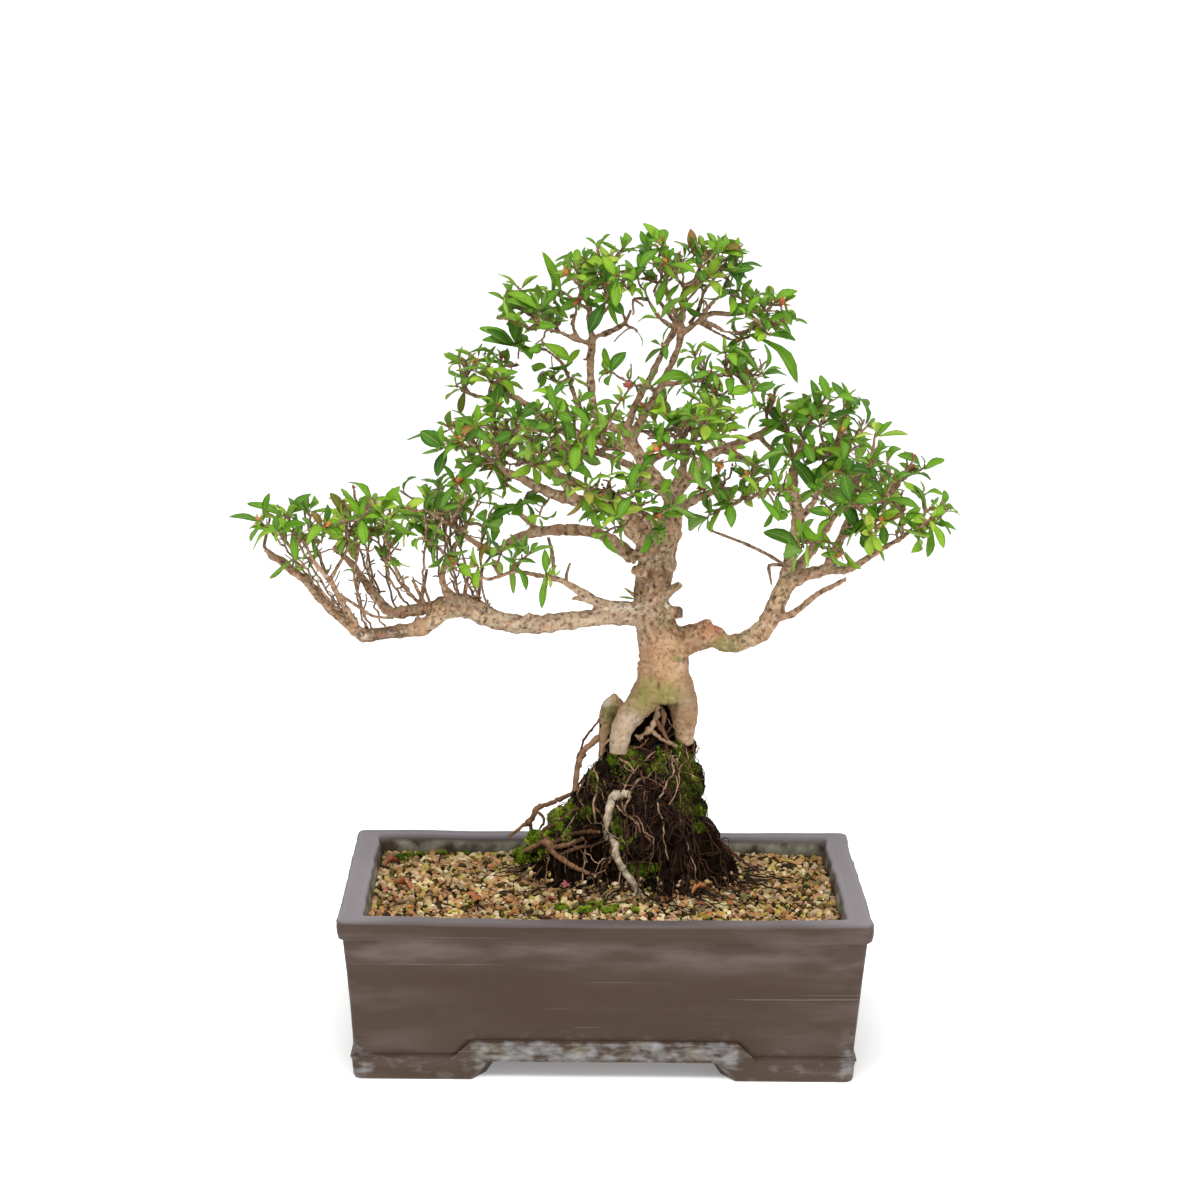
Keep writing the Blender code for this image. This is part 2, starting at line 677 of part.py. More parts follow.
def exposed_root(bench, name, reading, finish):
    (kind, amount), spots = reading
    if kind == "depth":
        route = [(seen(x, amount, z), r * MM) for x, z, r in spots]
    else:
        route = [(on_ground(x, z, amount), r * MM) for x, z, r in spots]
    made = stem_mesh(name, bench.parts, route, 6 * MM)
    return bench.finish(made, finish)


MOUND_SIDES = 20
MOUND_BUMP = 0.8 * MM
MOUND_RINGS = 9
MOUND_CREST = 4 * MM


def root_mass(bench, finish):
    """The bared clump of fine roots and old soil that the trunk stands on."""
    bm = bmesh.new()
    heights = [MOUND_BURIED_Z]
    heights += [lerp(MOUND_FOOT_Z, MOUND_TOP_Z, i / (MOUND_RINGS - 1)) for i in range(MOUND_RINGS)]
    rings = []
    for z in heights:
        ring = []
        for side in range(MOUND_SIDES):
            angle = math.tau * side / MOUND_SIDES
            spot = Vector((math.cos(angle) * 2, math.sin(angle) * 2, z / (12 * MM)))
            bump = MOUND_BUMP * noise.noise(spot)
            ring.append(bm.verts.new(mound_point(angle, z, bump)))
        rings.append(ring)
    for low, high in zip(rings, rings[1:]):
        for side in range(MOUND_SIDES):
            after = (side + 1) % MOUND_SIDES
            bm.faces.new((low[side], low[after], high[after], high[side]))
    bm.faces.new(rings[0])
    x, y, _ = mound_ring(MOUND_TOP_Z)
    crest = bm.verts.new((x, y, MOUND_TOP_Z + MOUND_CREST))
    for side in range(MOUND_SIDES):
        bm.faces.new((rings[-1][side], rings[-1][(side + 1) % MOUND_SIDES], crest))
    made = object_from(bm, "root_mass", bench.parts)
    return bench.finish(made, finish)


SOIL_CELLS = (14, 10)


def soil(bench, finish):
    """The bed of fired-clay grains, which fills the pot to just below its rim."""
    bm = bmesh.new()
    bmesh.ops.create_grid(bm, x_segments=SOIL_CELLS[0], y_segments=SOIL_CELLS[1], size=1)
    half = [v - GAP for v in cavity_half(SOIL_EDGE_Z)]
    for vert in bm.verts:
        vert.co.x *= half[0]
        vert.co.y *= half[1]
        vert.co.z = soil_z(vert.co.x, vert.co.y)
    rim = [edge for edge in bm.edges if edge.is_boundary]
    walls = bmesh.ops.extrude_edge_only(bm, edges=rim)["geom"]
    bottom = [v - GAP for v in cavity_half(FLOOR_TOP)]
    for vert in walls:
        if isinstance(vert, bmesh.types.BMVert):
            vert.co.x *= bottom[0] / half[0]
            vert.co.y *= bottom[1] / half[1]
            vert.co.z = FLOOR_TOP + GAP
    bmesh.ops.contextual_create(bm, geom=[e for e in walls if isinstance(e, bmesh.types.BMEdge)])
    made = object_from(bm, "soil", bench.parts)
    for x in (-DRAIN_X, DRAIN_X):
        plate = SCREEN_HALF + GAP
        top = FLOOR_TOP + GAP + SCREEN_THICKNESS + GAP
        over_clip = top + 2 * CLIP_RADIUS + 2 * GAP
        for cut_half, z in (((plate, plate), top), (CLIP_ROOM, over_clip)):
            room = tapered_block("screen_room", bench.cutters, cut_half, cut_half, 0, z)
            for vert in room.data.vertices:
                vert.co.x += x
            boolean(made, bench.hide(room), "DIFFERENCE")
    apply_modifiers(made)
    return bench.finish(made, finish)


# Moss on the root mass by angle range in degrees and height range in mm, and on the soil by
# middle and half size in mm
MOSS_ON_MASS = {
    "moss_left": ((150, 196), (90, 128)),
    "moss_right": ((-28, 22), (116, 150)),
    "moss_front": ((232, 262), (96, 122)),
}
MOSS_ON_SOIL = {
    "moss_soil_front": ((-12, -44), (15, 8)),
    "moss_soil_corner": ((-112, 66), (12, 8)),
}
MOSS_THICKNESS = 2.4 * MM
MOSS_SUNK = 0.5 * MM


def moss_on_mass(bench, name, angles, heights, finish):
    """A moss cushion on the flank of the root mass."""
    bm = bmesh.new()
    bmesh.ops.create_grid(bm, x_segments=7, y_segments=5, size=1)
    for vert in bm.verts:
        angle = math.radians(lerp(*angles, (vert.co.x + 1) / 2))
        z = lerp(*heights, (vert.co.y + 1) / 2) * MM
        vert.co = mound_point(angle, z, MOUND_BUMP + GAP + MOSS_THICKNESS / 2)
    return moss_sheet(bench, name, bm, finish)


def moss_on_soil(bench, name, middle, half, finish):
    bm = bmesh.new()
    bmesh.ops.create_circle(bm, cap_ends=True, segments=9, radius=1)
    for vert in bm.verts:
        vert.co.x = (middle[0] + vert.co.x * half[0]) * MM
        vert.co.y = (middle[1] + vert.co.y * half[1]) * MM
        vert.co.z = soil_z(vert.co.x, vert.co.y) + MOSS_SUNK
    return moss_sheet(bench, name, bm, finish)


def moss_sheet(bench, name, bm, finish):
    made = object_from(bm, name, bench.parts)
    sheet = made.modifiers.new("thickness", "SOLIDIFY")
    sheet.thickness = MOSS_THICKNESS
    sheet.offset = 0
    apply_modifiers(made)
    return bench.finish(made, finish)


# Fallen leaves: (x, z) reading, turn in degrees, half length and half width in mm
FALLEN_LEAVES = {
    "fallen_leaf_left": ((-109, 80, 120), (7, 2.4)),
    "fallen_leaf_corner": ((-116, 93, 60), (8, 2.4)),
    "fallen_leaf_front": ((-20, 81, 70), (5.5, 2.6)),
    "fallen_leaf_right": ((53, 79, 55), (8.5, 2.2)),
}
LEAF_THICKNESS = 0.7 * MM
LEAF_STEPS = 4


def fallen_leaf(bench, name, place, half, finish):
    """A dry leaf lying on the grains, pointed at both ends."""
    x, z, turn = place
    spot = on_ground(x, z, 0)
    bm = bmesh.new()
    outline = []
    for side in (1, -1):
        for i in range(LEAF_STEPS):
            t = i / LEAF_STEPS * 2 - 1
            outline.append((side * t * half[0] * MM, side * (1 - t * t) * half[1] * MM))
    turned = math.radians(turn)
    verts = []
    for a, b in outline:
        vx = spot.x + a * math.cos(turned) - b * math.sin(turned)
        vy = spot.y + a * math.sin(turned) + b * math.cos(turned)
        verts.append(bm.verts.new((vx, vy, soil_z(vx, vy) + 0.8 * MM)))
    bm.faces.new(verts)
    bmesh.ops.triangulate(bm, faces=bm.faces)
    made = object_from(bm, name, bench.parts)
    sheet = made.modifiers.new("thickness", "SOLIDIFY")
    sheet.thickness = LEAF_THICKNESS
    sheet.offset = 0
    apply_modifiers(made)
    return bench.finish(made, finish)


def clear_scene():
    for obj in list(bpy.data.objects):
        bpy.data.objects.remove(obj, do_unlink=True)


def main():
    clear_scene()
    bench = Bench()
    pot_clay = material("pot_clay", (0.101, 0.073, 0.056), 0.5)
    plastic = material("screen_plastic", (0.02, 0.02, 0.02), 0.6)
    wire = material("clip_wire", (0.55, 0.56, 0.58), 0.35, 1)
    bark = material("trunk_bark", (0.52, 0.37, 0.26), 0.8)
    limb_bark = material("limb_bark", (0.45, 0.32, 0.23), 0.85)
    root_bark = material("root_bark", (0.42, 0.32, 0.22), 0.8)
    root_soil = material("root_soil", (0.045, 0.03, 0.02), 0.95)
    grains = material("clay_grains", (0.42, 0.27, 0.15), 0.9)
    moss = material("moss", (0.12, 0.2, 0.02), 0.95)
    leaf = material("leaf", (0.09, 0.25, 0.03), 0.5)
    dead_leaf = material("dead_leaf", (0.35, 0.11, 0.03), 0.7)

    pot(bench, pot_clay)
    for side, x in (("left", -DRAIN_X), ("right", DRAIN_X)):
        screen(bench, f"drain_screen_{side}", x, plastic)
        clip(bench, f"screen_clip_{side}", x, wire)
    trunk(bench, bark)
    for name, routes in LIMBS.items():
        branch(bench, name, routes, limb_bark)
    for name, reading in ROOT_READINGS.items():
        exposed_root(bench, name, reading, root_bark)
    root_mass(bench, root_soil)
    soil(bench, grains)
    for name, (angles, heights) in MOSS_ON_MASS.items():
        moss_on_mass(bench, name, angles, heights, moss)
    for name, (middle, half) in MOSS_ON_SOIL.items():
        moss_on_soil(bench, name, middle, half, moss)
    for name, (place, half) in PADS.items():
        pad(bench, name, place, half, leaf)
    for name, (place, half) in FALLEN_LEAVES.items():
        fallen_leaf(bench, name, place, half, dead_leaf)


main()
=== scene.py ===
"""Looks of a potted satsuki azalea bonsai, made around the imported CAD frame.

The file is laid out as an add-on and run as a script. Units are metres, +Z is up and -Y is the show side.
A reading is (x, depth, z) in mm: x and z as seen on the upright plane through the pot's middle, and depth
the real distance behind that plane, negative towards the show side.
"""

import functools
import json
import math
import random

import bmesh
import bpy
import numpy as np
from mathutils import Matrix, Vector, bvhtree, kdtree, noise

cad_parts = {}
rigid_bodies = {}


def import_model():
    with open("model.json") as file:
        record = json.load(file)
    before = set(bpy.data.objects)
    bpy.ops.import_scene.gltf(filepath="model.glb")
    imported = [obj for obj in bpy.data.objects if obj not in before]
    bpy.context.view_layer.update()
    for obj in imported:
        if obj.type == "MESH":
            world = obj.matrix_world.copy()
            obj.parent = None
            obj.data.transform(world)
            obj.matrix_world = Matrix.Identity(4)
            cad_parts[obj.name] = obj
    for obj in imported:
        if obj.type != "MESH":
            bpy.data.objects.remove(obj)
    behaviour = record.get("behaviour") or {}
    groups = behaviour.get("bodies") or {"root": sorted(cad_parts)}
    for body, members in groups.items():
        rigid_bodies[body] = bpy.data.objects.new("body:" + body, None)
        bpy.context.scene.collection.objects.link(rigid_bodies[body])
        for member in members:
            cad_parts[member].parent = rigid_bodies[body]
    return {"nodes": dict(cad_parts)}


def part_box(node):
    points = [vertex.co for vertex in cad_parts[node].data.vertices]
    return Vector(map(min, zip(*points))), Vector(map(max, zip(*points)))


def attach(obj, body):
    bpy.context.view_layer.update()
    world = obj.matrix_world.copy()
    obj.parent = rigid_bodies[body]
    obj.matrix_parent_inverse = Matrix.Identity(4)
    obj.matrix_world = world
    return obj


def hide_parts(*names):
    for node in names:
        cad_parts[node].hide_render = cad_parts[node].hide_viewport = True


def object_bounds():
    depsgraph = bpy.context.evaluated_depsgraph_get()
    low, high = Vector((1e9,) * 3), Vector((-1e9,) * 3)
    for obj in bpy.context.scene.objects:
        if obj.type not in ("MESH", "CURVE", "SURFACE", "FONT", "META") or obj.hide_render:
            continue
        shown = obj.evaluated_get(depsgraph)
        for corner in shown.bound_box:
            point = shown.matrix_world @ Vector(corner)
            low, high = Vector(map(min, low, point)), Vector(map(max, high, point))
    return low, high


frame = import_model()
CAD_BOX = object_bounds()

bl_info = {
    "name": "Satsuki azalea bonsai looks",
    "version": (1, 0, 0),
    "blender": (4, 5, 0),
    "location": "3D View > Sidebar > Bonsai",
    "description": "Builds the finish of a potted azalea bonsai around its CAD frame",
    "category": "Object",
}

MM = 0.001
UP = Vector((0, 0, 1))
EYE = Vector((-0.022, -1.765, 0.578))
CAMERA_PITCH = math.radians(10.78)
CAMERA_YAW = math.radians(0.59)
CAMERA_ROLL = math.radians(0.65)
CAMERA_LENS = 100
CAMERA_SENSOR = 36

# Root mass and soil bed, as in the CAD
MOUND_BOTTOM_Z = 74
MOUND_FOOT_Z = 84
MOUND_TOP_Z = 162
MOUND_CENTRE_FOOT = (22, 12)
MOUND_CENTRE_TOP = (24, 5)
MOUND_FOOT = (58, 52, 46, 66, 66, 34, 30, 40)
MOUND_TOP = (18, 15, 13, 15, 19, 18, 13, 15)
MOUND_POWER = (1.6, 1.4, 1.1, 0.9, 0.8, 0.8, 0.75, 1.2)
SOIL_EDGE_Z = 80
SOIL_RISE = 6
SOIL_CENTRE = (20, 12)
SOIL_SPREAD = (75, 52)


def seen(x, depth, z):
    """The point at this depth that shows at (x, z) on the middle plane."""
    on_plane = Vector((x, 0, z)) * MM
    return EYE + (on_plane - EYE) * ((depth * MM - EYE.y) / -EYE.y)


def lerp(a, b, t):
    return a + (b - a) * t


def clamp(value, low=0.0, high=1.0):
    return min(max(value, low), high)


def around(values, angle):
    place = (angle / math.tau * len(values)) % len(values)
    first = int(place)
    t = place - first
    t = t * t * (3 - 2 * t)
    return lerp(values[first], values[(first + 1) % len(values)], t)


def mound_middle(z):
    t = clamp((z - MOUND_FOOT_Z) / (MOUND_TOP_Z - MOUND_FOOT_Z))
    return (
        lerp(MOUND_CENTRE_FOOT[0], MOUND_CENTRE_TOP[0], t),
        lerp(MOUND_CENTRE_FOOT[1], MOUND_CENTRE_TOP[1], t),
        t,
    )


def mound_point(angle, z, lift=0.0):
    """A point on the root mass at this angle and height, moved outwards by lift, all in mm."""
    x, y, t = mound_middle(z)
    power = around(MOUND_POWER, angle)
    radius = lerp(around(MOUND_TOP, angle), around(MOUND_FOOT, angle), (1 - t) ** power) + lift
    return Vector((x + radius * math.cos(angle), y + radius * math.sin(angle), z)) * MM


def mound_excess(point):
    """How far outside the root mass a point is, in metres; negative inside."""
    z = point.z / MM
    x, y, _ = mound_middle(z)
    dx, dy = point.x - x * MM, point.y - y * MM
    edge = mound_point(math.atan2(dy, dx), z)
    return math.hypot(dx, dy) - math.hypot(edge.x - x * MM, edge.y - y * MM)


def soil_z(x, y):
    dx = (x / MM - SOIL_CENTRE[0]) / SOIL_SPREAD[0]
    dy = (y / MM - SOIL_CENTRE[1]) / SOIL_SPREAD[1]
    return (SOIL_EDGE_Z + SOIL_RISE * math.exp(-dx * dx - dy * dy)) * MM


def on_ground(x, z, lift):
    """Follows the line of sight through a reading to the root mass or soil, then comes back by lift mm."""
    for step in range(-90, 90):
        point = seen(x, step, z)
        hit = point.z < MOUND_TOP_Z * MM and mound_excess(point) < 0
        if hit or point.z < soil_z(point.x, point.y):
            return seen(x, step - lift, z)
    return seen(x, 0, z)


def seeded(name):
    """A random source of its own for each use, so that one piece can change without the others."""
    return random.Random(f"satsuki {name}")


def jitter(source, spread):
    """A random shift, as great in every direction."""
    return Vector(source.gauss(0, spread) for _ in range(3))


def level_way(angle):
    return Vector((math.cos(angle), math.sin(angle), 0))


# Meshes and attributes


def object_of(name, mesh):
    made = bpy.data.objects.new(name, mesh)
    bpy.context.scene.collection.objects.link(made)
    return made


def object_from(bm, name, smooth=True):
    mesh = bpy.data.meshes.new(name)
    bm.to_mesh(mesh)
    bm.free()
    mesh.polygons.foreach_set("use_smooth", [smooth] * len(mesh.polygons))
    return object_of(name, mesh)


def give(mesh, name, values, kind="FLOAT", domain="POINT"):
    layer = mesh.attributes.new(name, kind, domain)
    field = "vector" if kind == "FLOAT_VECTOR" else "value"
    layer.data.foreach_set(field, np.ravel(values))


def outward_object(bm, name, smooth=True):
    """An object whose faces all look outwards."""
    bmesh.ops.recalc_face_normals(bm, faces=bm.faces)
    return object_from(bm, name, smooth)


def dress(obj, finish):
    """Gives the object this material and no other."""
    obj.data.materials.clear()
    obj.data.materials.append(finish)


def skin_over(obj, size):
    """Sets the object to be wrapped in one skin, made of cells of this size."""
    skin = obj.modifiers.new("skin", "REMESH")
    skin.mode = "VOXEL"
    skin.voxel_size = size


def settled(obj):
    """Puts the object's evaluated mesh in its place and clears its modifiers."""
    bpy.context.view_layer.update()
    graph = bpy.context.evaluated_depsgraph_get()
    mesh = bpy.data.meshes.new_from_object(obj.evaluated_get(graph))
    obj.modifiers.clear()
    if mesh.users == 0:
        old = obj.data
        obj.data = mesh
        bpy.data.meshes.remove(old)
    mesh.name = obj.name
    return obj


def grown(obj, tree, **values):
    """Runs a geometry tree on the object and keeps the result as a plain mesh."""
    modifier = obj.modifiers.new(tree.name, "NODES")
    modifier.node_group = tree
    for item in tree.interface.items_tree:
        if item.in_out == "INPUT" and item.name in values:
            modifier[item.identifier] = values[item.name]
    return settled(obj)


def remove(objects):
    for obj in list(objects):
        bpy.data.objects.remove(obj, do_unlink=True)


def place(obj, slot, *nodes):
    """Attaches a finished piece to the root body and hides the CAD nodes that it stands for; its finish, the
    slot, is not used.
    """
    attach(obj, "root")
    if nodes:
        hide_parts(*nodes)
    return obj


# Node trees


def node(tree, kind, inputs=None, **settings):
    """Adds a node, with its settings, and sets or links its inputs."""
    made = tree.nodes.new(kind)
    for name, value in settings.items():
        setattr(made, name, value)
    for key, value in (inputs or {}).items():
        if isinstance(value, bpy.types.NodeSocket):
            tree.links.new(value, made.inputs[key])
        else:
            made.inputs[key].default_value = value
    return made


def maths(tree, operation, *values):
    return node(tree, "ShaderNodeMath", dict(enumerate(values)), operation=operation).outputs[0]


def times(tree, first, second):
    return maths(tree, "MULTIPLY", first, second)


def vector_maths(tree, operation, *values):
    made = node(tree, "ShaderNodeVectorMath", dict(enumerate(values)), operation=operation)
    return made.outputs["Value" if operation in ("DISTANCE", "LENGTH") else "Vector"]


def tree_group(name, kind, inputs, outputs):
    """A new node group with named sockets, its input node and a function that closes it."""
    tree = bpy.data.node_groups.new(name, kind)
    for direction, sockets in (("INPUT", inputs), ("OUTPUT", outputs)):
        for label, (socket, default) in sockets.items():
            made = tree.interface.new_socket(label, in_out=direction, socket_type="NodeSocket" + socket)
            if default is not None:
                made.default_value = default
    start = tree.nodes.new("NodeGroupInput")

    def close(**results):
        end = tree.nodes.new("NodeGroupOutput")
        for label, socket in results.items():
            tree.links.new(socket, end.inputs[label])
        return tree

    return tree, start, close


def attribute(tree, name, kind="FLOAT"):
    made = node(tree, "GeometryNodeInputNamedAttribute", {"Name": name}, data_type=kind)
    return made.outputs["Attribute"]


def finish_tree(tree, close, geometry, finish, smooth=True):
    real = node(tree, "GeometryNodeRealizeInstances", {"Geometry": geometry})
    shaded = node(tree, "GeometryNodeSetShadeSmooth", {"Geometry": real.outputs[0], "Shade Smooth": smooth})
    done = node(tree, "GeometryNodeSetMaterial", {"Geometry": shaded.outputs[0], "Material": finish})
    return close(Geometry=done.outputs[0])


def stem_tree():
    """Lines with a girth at each point become tapered round stems."""
    tree, start, close = tree_group(
        "stems", "GeometryNodeTree",
        {"Geometry": ("Geometry", None), "Sides": ("Int", 6), "Material": ("Material", None)},
        {"Geometry": ("Geometry", None)},
    )
    line = node(tree, "GeometryNodeMeshToCurve", {"Mesh": start.outputs["Geometry"]})
    ring = node(tree, "GeometryNodeCurvePrimitiveCircle", {"Resolution": start.outputs["Sides"], "Radius": 1})
    skin = node(tree, "GeometryNodeCurveToMesh", {
        "Curve": line.outputs[0], "Profile Curve": ring.outputs["Curve"],
        "Scale": attribute(tree, "girth"), "Fill Caps": True,
    })
    return finish_tree(tree, close, skin.outputs[0], start.outputs["Material"])


def scatter_tree():
    """Each point carries the shape, turn and size of one copy."""
    tree, start, close = tree_group(
        "scatter", "GeometryNodeTree",
        {
            "Geometry": ("Geometry", None), "Shapes": ("Collection", None), "Size": ("Float", 1.0),
            "Material": ("Material", None),
        },
        {"Geometry": ("Geometry", None)},
    )
    shapes = node(tree, "GeometryNodeCollectionInfo", {
        "Collection": start.outputs["Shapes"], "Separate Children": True, "Reset Children": True,
    })
    turn = node(tree, "FunctionNodeEulerToRotation", {"Euler": attribute(tree, "turn", "FLOAT_VECTOR")})
    size = vector_maths(tree, "SCALE", attribute(tree, "size", "FLOAT_VECTOR"))
    tree.links.new(start.outputs["Size"], size.node.inputs["Scale"])
    copies = node(tree, "GeometryNodeInstanceOnPoints", {
        "Points": start.outputs["Geometry"], "Instance": shapes.outputs[0], "Pick Instance": True,
        "Instance Index": attribute(tree, "kind", "INT"), "Rotation": turn.outputs[0], "Scale": size,
    })
    return finish_tree(tree, close, copies.outputs[0], start.outputs["Material"])


def grain_tree():
    """Spreads stones over the upper faces of a bed, no two closer than the spacing."""
    tree, start, close = tree_group(
        "grains", "GeometryNodeTree",
        {
            "Geometry": ("Geometry", None), "Shapes": ("Collection", None), "Spacing": ("Float", 0.003),
            "Smallest": ("Float", 0.001), "Largest": ("Float", 0.002), "Sunk": ("Float", 0.0),
            "Seed": ("Int", 1), "Material": ("Material", None), "Density": ("Float", 400000.0),
        },
        {"Geometry": ("Geometry", None)},
    )
    value = start.outputs
    points = node(tree, "GeometryNodeDistributePointsOnFaces", {
        "Mesh": value["Geometry"], "Distance Min": value["Spacing"], "Density Max": value["Density"],
        "Density Factor": attribute(tree, "open"), "Seed": value["Seed"],
    }, distribute_method="POISSON")

    def chance(low, high, kind="FLOAT", shift=0):
        seed = maths(tree, "ADD", value["Seed"], shift)
        names = {
            "FLOAT": ("Min_001", "Max_001", 1), "FLOAT_VECTOR": ("Min", "Max", 0),
            "INT": ("Min_002", "Max_002", 2),
        }
        first, last, out = names[kind]
        made = node(tree, "FunctionNodeRandomValue", {"Seed": seed}, data_type=kind)
        for name, limit in ((first, low), (last, high)):
            socket = next(s for s in made.inputs if s.identifier == name)
            if isinstance(limit, bpy.types.NodeSocket):
                tree.links.new(limit, socket)
            else:
                socket.default_value = limit
        return made.outputs[out]

    sink = node(tree, "ShaderNodeCombineXYZ", {"Z": times(tree, chance(-1.0, 0.35, shift=1), value["Sunk"])})
    lowered = node(tree, "GeometryNodeSetPosition", {
        "Geometry": points.outputs[0], "Offset": sink.outputs[0],
    })
    shapes = node(tree, "GeometryNodeCollectionInfo", {
        "Collection": value["Shapes"], "Separate Children": True, "Reset Children": True,
    })
    turn = node(tree, "FunctionNodeEulerToRotation", {
        "Euler": chance((0, 0, 0), (math.tau,) * 3, "FLOAT_VECTOR", 2),
    })
    squash = chance((0.75, 0.75, 0.6), (1.2, 1.2, 1.0), "FLOAT_VECTOR", 3)
    size = vector_maths(tree, "SCALE", squash)
    tree.links.new(chance(value["Smallest"], value["Largest"], shift=4), size.node.inputs["Scale"])
    copies = node(tree, "GeometryNodeInstanceOnPoints", {
        "Points": lowered.outputs[0], "Instance": shapes.outputs[0], "Pick Instance": True,
        "Instance Index": chance(0, 5, "INT", 5), "Rotation": turn.outputs[0], "Scale": size,
    })
    coloured = node(tree, "GeometryNodeStoreNamedAttribute", {
        "Geometry": copies.outputs[0], "Name": "tone", "Value": chance(0.0, 1.0, shift=6),
    }, domain="INSTANCE")
    return finish_tree(tree, close, coloured.outputs[0], value["Material"], smooth=False)


def hidden_shapes(name, objects):
    """A collection of shapes for a scatter, in order of name."""
    shapes = bpy.data.collections.new(name)
    bpy.context.scene.collection.children.link(shapes)
    for obj in objects:
        bpy.context.scene.collection.objects.unlink(obj)
        shapes.objects.link(obj)
    return shapes


def clear_shapes(shapes):
    remove(shapes.objects)
    bpy.data.collections.remove(shapes)


class Lines:
    """Lines with a girth and an age at each point, gathered for the stem tree."""

    def __init__(self):
        self.points = []
        self.edges = []
        self.girth = []
        self.age = []

    def add(self, points, girths, ages):
        first = len(self.points)
        self.points += points
        self.girth += girths
        self.age += ages
        self.edges += [(first + i, first + i + 1) for i in range(len(points) - 1)]

    def stems(self, name, sides, finish):
        mesh = bpy.data.meshes.new(name)
        mesh.from_pydata(self.points, self.edges, [])
        give(mesh, "girth", self.girth)
        give(mesh, "age", self.age)
        return grown(object_of(name, mesh), shared("stems"), Sides=sides, Material=finish)


class Copies:
    """Points that each carry one copy of a shape, gathered for the scatter tree."""

    def __init__(self):
        self.points = []
        self.turns = []
        self.sizes = []
        self.kinds = []
        self.tones = []
        self.ages = []

    def add(self, point, along, normal, size, kind, tone=0.5, age=0.0):
        """Sets a copy with its X along one direction and its Z as near as can be to another."""
        x = along.normalized()
        z = normal - x * normal.dot(x)
        if z.length < 1e-4:
            z = x.orthogonal()
        z.normalize()
        y = z.cross(x)
        turn = Matrix((x, y, z)).transposed().to_euler()
        self.points.append(point)
        self.turns.append(tuple(turn))
        self.sizes.append(size)
        self.kinds.append(kind)
        self.tones.append(tone)
        self.ages.append(age)

    def scatter(self, name, shapes, finish, size=1.0):
        mesh = bpy.data.meshes.new(name)
        mesh.from_pydata(self.points, [], [])
        give(mesh, "turn", self.turns, "FLOAT_VECTOR")
        give(mesh, "size", self.sizes, "FLOAT_VECTOR")
        give(mesh, "kind", self.kinds, "INT")
        give(mesh, "tone", self.tones)
        give(mesh, "age", self.ages)
        return grown(object_of(name, mesh), shared("scatter"), Shapes=shapes, Size=size, Material=finish)


# Finishes


def srgb(red, green, blue):
    """A colour given as 0 to 255 values, as light."""
    steps = [v / 255 for v in (red, green, blue)]
    return tuple(v / 12.92 if v <= 0.04045 else ((v + 0.055) / 1.055) ** 2.4 for v in steps) + (1.0,)


def blend(tree, factor, first, second):
    """Mixes two colours, which may be sockets."""
    return node(tree, "ShaderNodeMix", {0: factor, 6: first, 7: second}, data_type="RGBA").outputs[2]


def tinted(tree, colour, tint, mask, strength):
    """Lays a tint over a colour where the mask is, at this strength."""
    return blend(tree, times(tree, mask, strength), colour, tint)

def remap(tree, value, low, high, to_low=0.0, to_high=1.0):
    return node(tree, "ShaderNodeMapRange", {0: value, 1: low, 2: high, 3: to_low, 4: to_high}).outputs[0]


def ramp(tree, value, stops):
    """A colour ramp through (position, colour) stops."""
    made = node(tree, "ShaderNodeValToRGB", {"Fac": value})
    points = made.color_ramp.elements
    while len(points) < len(stops):
        points.new(0.5)
    for point, (spot, colour) in zip(points, stops):
        point.position = spot
        point.color = colour
    return made.outputs["Color"]


def mottle_group():
    """Cloudy variation fixed to the piece: a mask from 0 to 1, stretched along chosen directions."""
    tree, start, close = tree_group(
        "mottle", "ShaderNodeTree",
        {
            "Scale": ("Float", 100.0), "Stretch": ("Vector", (1, 1, 1)), "Detail": ("Float", 4.0),
            "Low": ("Float", 0.35), "High": ("Float", 0.65),
        },
        {"Mask": ("Float", None)},
    )
    value = start.outputs
    where = node(tree, "ShaderNodeTexCoord").outputs["Object"]
    moved = vector_maths(tree, "MULTIPLY", where, value["Stretch"])
    cloud = node(tree, "ShaderNodeTexNoise", {
        "Vector": moved, "Scale": value["Scale"], "Detail": value["Detail"],
    })
    return close(Mask=remap(tree, cloud.outputs["Fac"], value["Low"], value["High"]))


def patch_group():
    """A ragged spot round a point of the piece: 1 inside, 0 outside."""
    tree, start, close = tree_group(
        "patch", "ShaderNodeTree",
        {
            "Centre": ("Vector", (0, 0, 0)), "Radius": ("Float", 0.01), "Ragged": ("Float", 0.5),
            "Grain": ("Float", 300.0), "Flatten": ("Vector", (1, 1, 1)),
        },
        {"Mask": ("Float", None)},
    )
    value = start.outputs
    where = node(tree, "ShaderNodeTexCoord").outputs["Object"]
    offset = vector_maths(tree, "SUBTRACT", where, value["Centre"])
    away = vector_maths(tree, "LENGTH", vector_maths(tree, "MULTIPLY", offset, value["Flatten"]))
    cloud = node(tree, "ShaderNodeTexNoise", {"Vector": where, "Scale": value["Grain"], "Detail": 5.0})
    wobble = times(tree, maths(tree, "SUBTRACT", cloud.outputs["Fac"], 0.5), value["Ragged"])
    reach = maths(tree, "ADD", maths(tree, "DIVIDE", away, value["Radius"]), times(tree, wobble, 3.0))
    return close(Mask=remap(tree, reach, 1.2, 0.45))


TREE_MAKERS = {
    "stems": stem_tree, "scatter": scatter_tree, "grains": grain_tree, "mottle": mottle_group,
    "patch": patch_group,
}


def shared(name):
    """The node group of this name, built the first time that it is wanted."""
    return bpy.data.node_groups.get(name) or TREE_MAKERS[name]()


def group(tree, name, **values):
    """Adds a shared group with its inputs set, and gives its mask."""
    inputs = {key.capitalize(): value for key, value in values.items()}
    return node(tree, "ShaderNodeGroup", inputs, node_tree=shared(name)).outputs[0]


def mottle(tree, **values):
    return group(tree, "mottle", **values)


